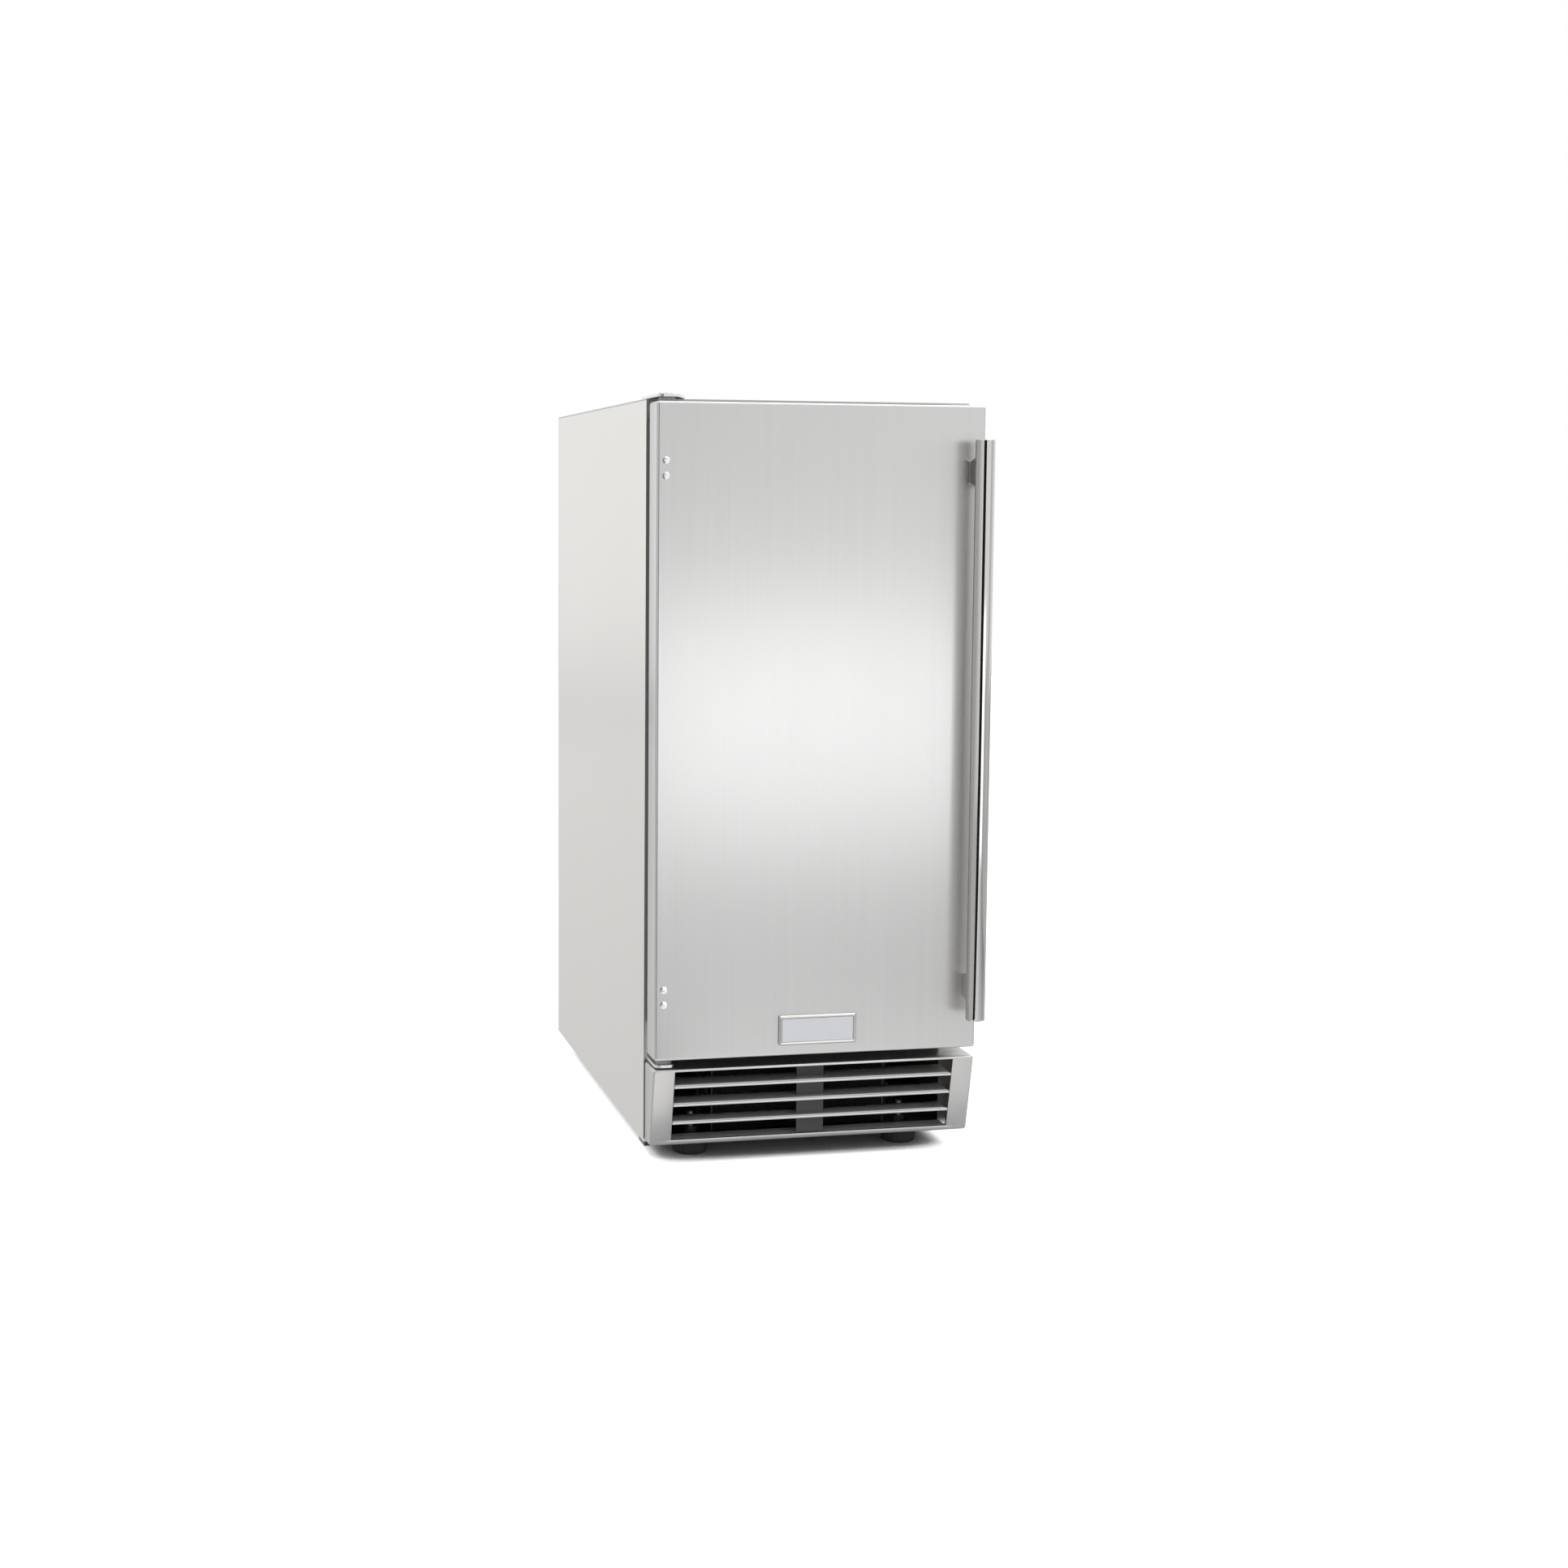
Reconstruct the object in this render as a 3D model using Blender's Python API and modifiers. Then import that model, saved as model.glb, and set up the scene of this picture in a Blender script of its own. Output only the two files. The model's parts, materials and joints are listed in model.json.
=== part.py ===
"""Undercounter outdoor ice maker, modelled as the separate pieces it is built from.

Metres, +Z up. The origin is on the floor under the middle of the whole object, and the door
faces -Y. Run it with Blender: it clears the scene and builds every piece.
"""

import math

import bmesh
import bpy
from mathutils import Matrix, Vector

# Cabinet
CABINET_WIDTH = 0.378
CABINET_DEPTH = 0.580
CABINET_HEIGHT = 0.844
FLOOR_CLEARANCE = 0.0225
SHEET = 0.0012
SIDE_FLANGE = 0.024
TOP_RETURN = 0.026

# Fits
SEAT = 0.0003
WELD_DISTANCE = 0.00001
POINT_DISTANCE = 0.000001
OVERRUN = 0.004

# Door
DOOR_GAP = 0.0187
DOOR_THICKNESS = 0.038
DOOR_RISE = 0.1064
DOOR_TOP_DROP = 0.0046
DOOR_EDGE_RADIUS = 0.003
DOOR_LINER_WALL = 0.0025
PLUG_DEPTH = 0.013
PLUG_CLEARANCE = 0.006
GASKET_WIDTH = 0.018
GASKET_END_INSET = 0.010
GASKET_CORNER = 0.014
HINGE_INSET = 0.015

# Handle
HANDLE_RADIUS = 0.011
HANDLE_END_INSET = 0.0385
HANDLE_STANDOFF = 0.030
HANDLE_INSET = 0.0112
HANDLE_CHAMFER = 0.0008
BRACKET_WIDTH = 0.014
BRACKET_HEIGHT = 0.039
BRACKET_FOOT = 0.025
BRACKET_INSET = 0.036
BRACKET_EDGE = 0.001
STUD_RADIUS = 0.003
STUD_LENGTH = 0.012

# Door screws and plaque
DOOR_SCREW_INSET = 0.0105
DOOR_SCREW_PITCH = 0.017
DOOR_SCREW_END_INSET = 0.07275
DOOR_SCREW_HEAD = 0.0042
DOOR_SCREW_DOME = 0.002
DOOR_SCREW_SHANK = 0.002
DOOR_SCREW_LENGTH = 0.012
STRIP_WIDTH = 0.012
STRIP_THICKNESS = 0.002
STRIP_END = 0.008
PLAQUE_WIDTH = 0.091
PLAQUE_HEIGHT = 0.0345
PLAQUE_THICKNESS = 0.003
PLAQUE_RISE = 0.0297
PLAQUE_BORDER = 0.0035
PLAQUE_BEVEL = 0.0014
PLAQUE_RECESS = 0.0008

# Kick grille
GRILLE_DROP = 0.0107
GRILLE_HEIGHT = 0.0925
GRILLE_TOP_REACH = 0.0545
GRILLE_BOTTOM_REACH = 0.032
GRILLE_MARGIN = 0.025
GRILLE_TOP_RAIL = 0.003
GRILLE_BOTTOM_RAIL = 0.006
GRILLE_EDGE_RADIUS = 0.0028
BLADE_COUNT = 3
BLADE_HEIGHT = 0.0045
BLADE_HEM = 0.003
BLADE_SET_BACK = 0.006
BRACE_WIDTH = 0.032
GRILLE_SCREW_INSET = 0.034
GRILLE_SCREW_DEPTH = 0.016

# Hinges
HINGE_PLATE = 0.003
HINGE_NOSE = 0.012
HINGE_EDGE = 0.003
HINGE_NARROW = 0.025
HINGE_WIDE = 0.044
HINGE_TAIL = 0.045
HINGE_CORNER = 0.006
BRACKET_DROP = 0.0061
BRACKET_LEAF_WIDTH = 0.010
BRACKET_LEAF_HEIGHT = 0.040
PIN_RADIUS = 0.004
PIN_REACH = 0.016
PIN_NECK_RADIUS = 0.0028
PIN_END_RISE = 0.0018
PIN_END_CHAMFER = 0.0006
BUSH_RADIUS = 0.007
BUSH_FLANGE_RADIUS = 0.009
BUSH_DEPTH = 0.019

# Small case screws
SCREW_HEAD_RADIUS = 0.0034
SCREW_HEAD_HEIGHT = 0.002
SCREW_SIDE_ROWS = 4
SCREW_ROW_INSET = 0.030
LAP_SCREW_OFFSET = 0.080
TOP_SCREW_COUNT = 3
TOP_SCREW_PITCH = 0.012
TOP_SCREW_DEPTH = 0.030
TOP_SCREW_INSET = 0.0115
NOSE_SCREW_PITCH = 0.0062
NOSE_SCREW_RADIUS = 0.0026
LEAF_SCREW_RISE = 0.014
LEAF_SCREW_PITCH = 0.016

# Base and feet
BASE_SHEET = 0.0015
BASE_FLANGE = 0.018
BASE_SET_BACK = 0.002
BASE_BOSS_RADIUS = 0.009
BASE_BOSS_HEIGHT = 0.008
PAD_WIDTH = 0.0085
PAD_LENGTH = 0.030
PAD_DROP = 0.0057
FOOT_RADIUS = 0.0205
FOOT_CHAMFER = 0.0025
FOOT_SIDE_INSET = 0.062
FOOT_FRONT_INSET = 0.032
FOOT_REAR_INSET = 0.045
FOOT_STEM_RADIUS = 0.004
FOOT_TRAVEL = 0.015
FOOT_STEM_SPARE = 0.002

# Rear service cover
SERVICE_RECESS = 0.025
SERVICE_LAP = 0.014
SERVICE_SLOTS = 6
SERVICE_SLOT_WIDTH = 0.110
SERVICE_SLOT_HEIGHT = 0.0035
SERVICE_SLOT_PITCH = 0.011
SERVICE_SLOT_RISE = 0.120

# Ice bin
MOUTH_SIDE_INSET = 0.039
MOUTH_TOP_INSET = 0.041
FRAME_DEPTH = 0.012
FRAME_RISE = 0.097
BIN_FLOOR_RISE = 0.150
STEP_DEPTH = 0.215
STEP_RISE = 0.090
LINER_WALL = 0.0025
INSULATION_REAR = 0.032
FOAM_FLOOR = 0.014
BAFFLE_DEPTH = 0.016
BAFFLE_THICKNESS = 0.003
BAFFLE_HEIGHT = 0.085
BAFFLE_DIP = 0.018
BAFFLE_DIP_WIDTH = 0.120
BAFFLE_CORNER = 0.010

# Scoop and its pocket
SCOOP_RADIUS = 0.031
SCOOP_WALL = 0.002
SCOOP_LENGTH = 0.110
SCOOP_LIP = 0.010
SCOOP_HANDLE_LENGTH = 0.095
SCOOP_HANDLE_WIDTH = 0.020
SCOOP_HANDLE_THICKNESS = 0.010
SCOOP_HANDLE_EDGE = 0.003
SCOOP_DEPTH = 0.300
SCOOP_WALL_GAP = 0.003
POCKET_RISE = 0.210
POCKET_HEIGHT = 0.050
POCKET_CLEARANCE = 0.002

# Evaporator, its coil and the water parts
EVAPORATOR_WALL_GAP = 0.010
EVAPORATOR_HEIGHT = 0.200
EVAPORATOR_DEPTH = 0.024
EVAPORATOR_PUMP_GAP = 0.040
EVAPORATOR_DROP = 0.068
EVAPORATOR_STANDOFF = 0.0135
CELLS_ACROSS = 8
CELLS_UP = 7
CELL_WALL = 0.002
CELL_BACK = 0.004
POST_RADIUS = 0.004
POST_INSET = 0.008
COIL_RADIUS = 0.004
COIL_RUNS = 6
COIL_INSET = 0.022
DISTRIBUTOR_HEIGHT = 0.016
DISTRIBUTOR_LIP = 0.016
DISTRIBUTOR_EDGE = 0.002
DISTRIBUTOR_HOLES = 7
DISTRIBUTOR_HOLE_RADIUS = 0.0015
EAR_THICKNESS = 0.003
EAR_REACH = 0.012
EAR_HEIGHT = 0.012
CURTAIN_THICKNESS = 0.0025
CURTAIN_ROD_RADIUS = 0.003
CURTAIN_RIBS = 4
CURTAIN_RIB_WIDTH = 0.003
CURTAIN_RIB_HEIGHT = 0.003
TROUGH_WALL = 0.0025
TROUGH_HEIGHT = 0.045
TROUGH_GAP = 0.0075
TROUGH_SIDE_GAP = 0.003
CURTAIN_GAP = 0.0025
CURTAIN_LAP = 0.0025
LUG_WIDTH = 0.012
LUG_INSET = 0.020

# Circulation pump
PUMP_INSET = 0.030
PUMP_PLATE = 0.003
PUMP_PLATE_WIDTH = 0.042
PUMP_MOTOR_RADIUS = 0.021
PUMP_MOTOR_HEIGHT = 0.045
PUMP_MOTOR_STANDOFF = 0.003
PUMP_SHAFT_RADIUS = 0.002
PUMP_SHAFT_GRIP = 0.010
PUMP_CUP_RADIUS = 0.0165
PUMP_CUP_WALL = 0.0025
PUMP_CUP_HEIGHT = 0.014
PUMP_CUP_CLEARANCE = 0.006
PUMP_LEGS = 3
PUMP_LEG_RADIUS = 0.0025
IMPELLER_RADIUS = 0.0125
IMPELLER_DISC = 0.002
IMPELLER_HUB = 0.005
IMPELLER_VANES = 5
IMPELLER_VANE_WIDTH = 0.0015
IMPELLER_VANE_HEIGHT = 0.005
HOSE_RADIUS = 0.0045
HOSE_GAP = 0.001

# Control panel
CONTROL_WIDTH = 0.160
CONTROL_DEPTH = 0.055
CONTROL_HEIGHT = 0.036
CONTROL_SET_BACK = 0.030
CONTROL_EDGE = 0.003
BUTTON_RADIUS = 0.006
BUTTON_PROUD = 0.0025
BUTTON_LENGTH = 0.007
BUTTON_TRAVEL = 0.0015
BUTTON_SPARE = 0.002
BUTTON_FIRST = 0.058
BUTTON_PITCH = 0.026
WINDOW_WIDTH = 0.056
WINDOW_HEIGHT = 0.018
WINDOW_DEPTH = 0.0015
WINDOW_SHIFT = 0.036
SENSOR_RADIUS = 0.0035
SENSOR_RISE = 0.300
SENSOR_LENGTH = 0.080
SENSOR_DEPTH = 0.250
SENSOR_STANDOFF = 0.013
SENSOR_BEND = 0.009

# Drain
DRAIN_SIDE_INSET = 0.079
DRAIN_STEP_GAP = 0.030
DRAIN_FLANGE_RADIUS = 0.016
DRAIN_FLANGE = 0.002
DRAIN_RADIUS = 0.0095
DRAIN_TAIL = 0.016
DRAIN_BEND = 0.030
DRAIN_FALL = 0.030
DRAIN_KNEE = 0.048
DRAIN_OUTLET = 0.018

# Condenser, fan and shroud
CONDENSER_SIDE_INSET = 0.077
CONDENSER_HEIGHT = 0.115
CONDENSER_DEPTH = 0.040
CONDENSER_SET_BACK = 0.022
CONDENSER_CORE = 0.010
CONDENSER_FINS = 24
FIN_THICKNESS = 0.0022
SHROUD_DEPTH = 0.020
SHROUD_WALL = 0.002
SHROUD_RING = 0.012
FAN_RADIUS = 0.048
FAN_TIP_GAP = 0.003
FAN_HUB_RADIUS = 0.014
FAN_HUB_DEPTH = 0.014
FAN_BLADES = 5
FAN_BLADE_THICKNESS = 0.0016
FAN_ROOT_WIDTH = 0.010
FAN_TIP_WIDTH = 0.026
FAN_PITCH = 28.0
FAN_SHAFT_RADIUS = 0.003
FAN_SHAFT_LENGTH = 0.030
FAN_MOTOR_RADIUS = 0.022
FAN_MOTOR_LENGTH = 0.042
FAN_STRAP_WIDTH = 0.016
FAN_STRAP_THICKNESS = 0.003
FAN_STRAP_REACH = 0.022

# Compressor
COMPRESSOR_SIDE_INSET = 0.109
COMPRESSOR_REAR_INSET = 0.155
COMPRESSOR_RADIUS = 0.068
COMPRESSOR_HEIGHT = 0.165
COMPRESSOR_PLATE = 0.003
COMPRESSOR_PLATE_HALF = 0.070
SHELL_WAIST_SHARE = 0.97
GROMMET_RADIUS = 0.010
GROMMET_HEIGHT = 0.015
GROMMET_GROOVE = 0.002
GROMMET_INSET = 0.012

# Compartment fittings
DRIER_SIDE_INSET = 0.059
DRIER_RISE = 0.028
DRIER_FEED_GAP = 0.030
DRIER_LENGTH = 0.100
DRIER_RADIUS = 0.010
DRIER_NECK = 0.004
DRIER_SHOULDER = 0.012
PIPE_RADIUS = 0.003
PIPE_BEND = 0.010
SUCTION_RISE = 0.080
SUCTION_CROSS_GAP = 0.0332
SUCTION_OFFSET = 0.004
PIPE_PITCH = 0.010
FEED_RISE = 0.1225
DISCHARGE_RISE = 0.095
DISCHARGE_LANE_GAP = 0.160
FEED_LANE_GAP = 0.070
VALVE_BRANCH = 0.014
VALVE_OFFSET = 0.040
VALVE_LENGTH = 0.030
VALVE_RADIUS = 0.007
VALVE_COIL = 0.024
VALVE_COIL_HEIGHT = 0.020
INLET_SIDE_INSET = 0.039
INLET_RISE = 0.048
INLET_BODY = 0.030
INLET_BODY_DEPTH = 0.034
INLET_COIL_RADIUS = 0.012
INLET_COIL_HEIGHT = 0.028
INLET_NUT_RADIUS = 0.011
INLET_NUT_DEPTH = 0.005
INLET_THREAD_RADIUS = 0.007
INLET_THREAD_REACH = 0.018
INLET_TUBE_RADIUS = 0.004
INLET_TUBE_LANE_INSET = 0.055
INLET_TUBE_RISE = 0.203
INLET_TUBE_SIDE_INSET = 0.050
INLET_TUBE_DIP = 0.010
INLET_TUBE_REAR_GAP = 0.0047
BOX_COMPRESSOR_GAP = 0.020
BOX_DRAIN_GAP = 0.015
BOX_REAR_INSET = 0.055
BOX_DEPTH = 0.110
BOX_HEIGHT = 0.112
BOX_EDGE = 0.003
BOX_SEAM = 0.0012
BOX_LID_SHARE = 0.3
GLAND_SIDE_INSET = 0.039
GLAND_RISE = 0.045
GLAND_RADIUS = 0.009
GLAND_FLANGE_RADIUS = 0.013
GLAND_FLANGE = 0.003
GLAND_REACH = 0.014
GLAND_DIMPLE = 0.005
GLAND_DIMPLE_DEPTH = 0.003

# Round pieces and bends, in counts
FINE_STEPS = 24
ROUND_STEPS = 16
SMALL_STEPS = 10
BEND_STEPS = 3
SMOOTH_ANGLE = math.radians(35)

# Heights and places that follow from the sizes above
HALF = CABINET_WIDTH / 2
CAB_BOTTOM = FLOOR_CLEARANCE
CAB_TOP = CAB_BOTTOM + CABINET_HEIGHT
FRONT_REACH = DOOR_GAP + DOOR_THICKNESS + HANDLE_STANDOFF + HANDLE_RADIUS
REAR_REACH = CABINET_DEPTH + SCREW_HEAD_HEIGHT
FRONT = (FRONT_REACH - REAR_REACH) / 2
INNER_HALF = HALF - SHEET - SEAT
DOOR_TOP = CAB_TOP - DOOR_TOP_DROP
DOOR_BOTTOM = CAB_BOTTOM + DOOR_RISE
DOOR_MIDDLE = (DOOR_TOP + DOOR_BOTTOM) / 2
DOOR_REAR_Y = FRONT - DOOR_GAP
DOOR_FRONT_Y = DOOR_REAR_Y - DOOR_THICKNESS
HINGE_X = -HALF + HINGE_INSET
HINGE_Y = (DOOR_REAR_Y + DOOR_FRONT_Y) / 2
HANDLE_X = HALF - HANDLE_INSET
HANDLE_Y = DOOR_FRONT_Y - HANDLE_STANDOFF
HANDLE_LENGTH = DOOR_TOP - DOOR_BOTTOM - 2 * HANDLE_END_INSET
BRACKET_SPREAD = HANDLE_LENGTH - 2 * BRACKET_INSET
DOOR_SCREW_SPREAD = DOOR_TOP - DOOR_BOTTOM - 2 * DOOR_SCREW_END_INSET
BRACKET_PLATE_TOP = DOOR_BOTTOM - BRACKET_DROP
GRILLE_TOP = DOOR_BOTTOM - GRILLE_DROP
GRILLE_BOTTOM = GRILLE_TOP - GRILLE_HEIGHT
GRILLE_OPEN_HALF = HALF - GRILLE_MARGIN
GRILLE_OPEN_TOP = GRILLE_TOP - GRILLE_TOP_RAIL
GRILLE_OPEN_BOTTOM = GRILLE_BOTTOM + GRILLE_BOTTOM_RAIL
SERVICE_Y = FRONT + CABINET_DEPTH - SERVICE_RECESS
REAR_SKIN_Y = FRONT + CABINET_DEPTH - SHEET
BASE_TOP = CAB_BOTTOM + BASE_SHEET
MOUTH_HALF_WIDTH = HALF - MOUTH_SIDE_INSET
BIN_TOP = CAB_TOP - MOUTH_TOP_INSET
BIN_FLOOR = CAB_BOTTOM + BIN_FLOOR_RISE
BIN_STEP = BIN_FLOOR + STEP_RISE
BIN_REAR = CABINET_DEPTH - SHEET - SEAT - INSULATION_REAR - SEAT - LINER_WALL
BIN_REAR_Y = FRONT + BIN_REAR
STEP_FOAM_BOTTOM = BIN_STEP - LINER_WALL - SEAT - FOAM_FLOOR
SERVICE_TOP = STEP_FOAM_BOTTOM - SEAT
SERVICE_SHELF = SERVICE_TOP - SERVICE_LAP
FOOT_X = HALF - FOOT_SIDE_INSET
FOOT_FRONT_Y = FRONT + FOOT_FRONT_INSET
FOOT_REAR_Y = SERVICE_Y - FOOT_REAR_INSET
PUMP_X = MOUTH_HALF_WIDTH - PUMP_INSET
EVAPORATOR_LEFT = -MOUTH_HALF_WIDTH + EVAPORATOR_WALL_GAP
EVAPORATOR_RIGHT = PUMP_X - EVAPORATOR_PUMP_GAP
EVAPORATOR_WIDTH = EVAPORATOR_RIGHT - EVAPORATOR_LEFT
EVAPORATOR_X = (EVAPORATOR_LEFT + EVAPORATOR_RIGHT) / 2
EVAPORATOR_TOP = BIN_TOP - EVAPORATOR_DROP
EVAPORATOR_BOTTOM = EVAPORATOR_TOP - EVAPORATOR_HEIGHT
EVAPORATOR_REAR_Y = BIN_REAR_Y - EVAPORATOR_STANDOFF
EVAPORATOR_FRONT_Y = EVAPORATOR_REAR_Y - EVAPORATOR_DEPTH
COIL_Y = EVAPORATOR_REAR_Y + SEAT + COIL_RADIUS
COIL_PITCH = (EVAPORATOR_HEIGHT - 2 * COIL_INSET) / (COIL_RUNS - 1)
DISTRIBUTOR_TOP = EVAPORATOR_TOP + SEAT + DISTRIBUTOR_HEIGHT
DISTRIBUTOR_FRONT_Y = EVAPORATOR_FRONT_Y - DISTRIBUTOR_LIP
CURTAIN_Y = DISTRIBUTOR_FRONT_Y - EAR_REACH / 2
CURTAIN_Z = DISTRIBUTOR_TOP - EAR_HEIGHT / 2
TROUGH_TOP = EVAPORATOR_BOTTOM - TROUGH_GAP
TROUGH_BOTTOM = TROUGH_TOP - TROUGH_HEIGHT
TROUGH_REAR_Y = EVAPORATOR_REAR_Y
TROUGH_FRONT_Y = CURTAIN_Y + CURTAIN_THICKNESS / 2 + CURTAIN_GAP
TROUGH_HALF = MOUTH_HALF_WIDTH - TROUGH_SIDE_GAP
TROUGH_MIDDLE_Y = (TROUGH_REAR_Y + TROUGH_FRONT_Y) / 2
CURTAIN_BOTTOM = TROUGH_TOP - CURTAIN_LAP
PUMP_PLATE_BOTTOM = TROUGH_TOP + SEAT
PUMP_CUP_BOTTOM = TROUGH_BOTTOM + TROUGH_WALL + PUMP_CUP_CLEARANCE
PUMP_CUP_TOP = PUMP_CUP_BOTTOM + PUMP_CUP_HEIGHT
PUMP_MOTOR_BOTTOM = PUMP_PLATE_BOTTOM + PUMP_PLATE + PUMP_MOTOR_STANDOFF
HOSE_X = PUMP_X - PUMP_MOTOR_RADIUS - HOSE_GAP - HOSE_RADIUS
CONTROL_FRONT_Y = FRONT + CONTROL_SET_BACK
CONTROL_TOP = BIN_TOP - SEAT
CONTROL_BOTTOM = CONTROL_TOP - CONTROL_HEIGHT
CONTROL_MIDDLE = (CONTROL_TOP + CONTROL_BOTTOM) / 2
CONDENSER_HALF_WIDTH = HALF - CONDENSER_SIDE_INSET
CONDENSER_BOTTOM = BASE_TOP + SEAT
CONDENSER_TOP = CONDENSER_BOTTOM + CONDENSER_HEIGHT
CONDENSER_FRONT_Y = FRONT + CONDENSER_SET_BACK
CONDENSER_REAR_Y = CONDENSER_FRONT_Y + CONDENSER_DEPTH
SHROUD_FRONT_Y = CONDENSER_REAR_Y + SEAT
SHROUD_REAR_Y = SHROUD_FRONT_Y + SHROUD_DEPTH
FAN_Z = (CONDENSER_TOP + CONDENSER_BOTTOM) / 2
FAN_Y = SHROUD_REAR_Y + SHROUD_RING / 2 - FAN_HUB_DEPTH / 2
FAN_STRAP_Y = SHROUD_REAR_Y + FAN_STRAP_REACH
COMPRESSOR_X = -HALF + COMPRESSOR_SIDE_INSET
COMPRESSOR_Y = SERVICE_Y - COMPRESSOR_REAR_INSET
COMPRESSOR_PLATE_BOTTOM = BASE_TOP + SEAT + GROMMET_HEIGHT
CONDENSER_MIDDLE_Y = (CONDENSER_FRONT_Y + CONDENSER_REAR_Y) / 2
DRIER_X = HALF - DRIER_SIDE_INSET
LIQUID_Z = CAB_BOTTOM + DRIER_RISE
DISCHARGE_Z = CAB_BOTTOM + DISCHARGE_RISE
FEED_Z = CAB_BOTTOM + FEED_RISE
DISCHARGE_LANE_Y = COMPRESSOR_Y - DISCHARGE_LANE_GAP
FEED_LANE_Y = COMPRESSOR_Y - FEED_LANE_GAP
VALVE_Y = COMPRESSOR_Y - VALVE_OFFSET
DRIER_Y = FEED_LANE_Y - DRIER_FEED_GAP - DRIER_LENGTH
COIL_END_X = EVAPORATOR_X + EVAPORATOR_WIDTH / 2 - COIL_INSET
COIL_TOP = EVAPORATOR_TOP - COIL_INSET
COIL_BOTTOM = EVAPORATOR_BOTTOM + COIL_INSET
SUCTION_X = EVAPORATOR_X + EVAPORATOR_WIDTH / 2 + SUCTION_OFFSET
FEED_X = SUCTION_X + PIPE_PITCH
VALVE_X = (COMPRESSOR_X + COMPRESSOR_RADIUS + FEED_X - VALVE_LENGTH) / 2
DOOR_SCREW_X = -HALF + DOOR_SCREW_INSET
INLET_X = HALF - INLET_SIDE_INSET
INLET_TUBE_X = -MOUTH_HALF_WIDTH + INLET_TUBE_SIDE_INSET
INLET_REAR_Y = BIN_REAR_Y - INLET_TUBE_REAR_GAP
INLET_Z = CAB_BOTTOM + INLET_RISE
DRAIN_X = HALF - DRAIN_SIDE_INSET
DRAIN_Y = FRONT + STEP_DEPTH - DRAIN_STEP_GAP
BOX_LEFT = COMPRESSOR_X + COMPRESSOR_PLATE_HALF + BOX_COMPRESSOR_GAP
BOX_RIGHT = DRAIN_X - BOX_DRAIN_GAP
GLAND_X = -HALF + GLAND_SIDE_INSET
FLOOR_FOAM_BOTTOM = BIN_FLOOR - LINER_WALL - SEAT - FOAM_FLOOR
DRAIN_TIP = FLOOR_FOAM_BOTTOM - DRAIN_TAIL
SCOOP_X = -MOUTH_HALF_WIDTH + SCOOP_WALL_GAP + SCOOP_RADIUS
SCOOP_Y = FRONT + SCOOP_DEPTH
POCKET_BOTTOM = BIN_FLOOR + POCKET_RISE
SCOOP_BOTTOM = POCKET_BOTTOM + LINER_WALL + SEAT


# Scene and finishes

for leftover in list(bpy.data.objects):
    bpy.data.objects.remove(leftover, do_unlink=True)

pieces_collection = bpy.data.collections.new("outdoor_ice_maker")
cutters_collection = bpy.data.collections.new("cutters")
bpy.context.scene.collection.children.link(pieces_collection)
bpy.context.scene.collection.children.link(cutters_collection)


def finish(name, colour, roughness, metallic):
    """Make a Principled material of one colour, roughness and metallic value."""
    material = bpy.data.materials.new(name)
    material.use_nodes = True
    shader = material.node_tree.nodes["Principled BSDF"]
    shader.inputs["Base Color"].default_value = (*colour, 1.0)
    shader.inputs["Roughness"].default_value = roughness
    shader.inputs["Metallic"].default_value = metallic
    material.diffuse_color = (*colour, 1.0)
    return material


BRUSHED = finish("brushed_stainless", (0.62, 0.61, 0.59), 0.32, 1.0)
DOOR_STEEL = finish("door_stainless", (0.66, 0.65, 0.64), 0.28, 1.0)
POLISHED = finish("polished_stainless", (0.72, 0.72, 0.72), 0.15, 1.0)
ZINC = finish("zinc_plate", (0.55, 0.56, 0.57), 0.45, 1.0)
GALVANISED = finish("galvanised_sheet", (0.50, 0.51, 0.52), 0.5, 1.0)
BLACK_STEEL = finish("black_enamel", (0.02, 0.02, 0.022), 0.4, 0.0)
BLACK_PLASTIC = finish("black_plastic", (0.03, 0.03, 0.03), 0.5, 0.0)
GREY_PLASTIC = finish("grey_plastic", (0.32, 0.33, 0.34), 0.5, 0.0)
WHITE_PLASTIC = finish("white_plastic", (0.82, 0.83, 0.82), 0.45, 0.0)
CLEAR_PLASTIC = finish("frosted_plastic", (0.75, 0.80, 0.84), 0.25, 0.0)
RUBBER = finish("black_rubber", (0.025, 0.025, 0.025), 0.8, 0.0)
SEAL = finish("seal_rubber", (0.10, 0.10, 0.10), 0.75, 0.0)
COPPER = finish("copper", (0.72, 0.38, 0.22), 0.3, 1.0)
NICKEL = finish("nickel_plate", (0.65, 0.63, 0.58), 0.25, 1.0)
ALUMINIUM = finish("aluminium_fins", (0.70, 0.71, 0.72), 0.4, 1.0)
BRASS = finish("brass", (0.75, 0.58, 0.28), 0.3, 1.0)
FOAM = finish("insulation_foam", (0.80, 0.70, 0.42), 0.9, 0.0)
HOSE = finish("clear_hose", (0.75, 0.76, 0.72), 0.35, 0.0)


# Making pieces

def add_object(name, data, material, location):
    """Link an object into the piece collection, dressed and placed."""
    piece = bpy.data.objects.new(name, data)
    pieces_collection.objects.link(piece)
    piece.location = location
    if material:
        data.materials.append(material)
    return piece


def ordered(first, second):
    """Return the low and the high corner of the box between two corners."""
    low = Vector(min(pair) for pair in zip(first, second))
    high = Vector(max(pair) for pair in zip(first, second))
    return low, high


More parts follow.
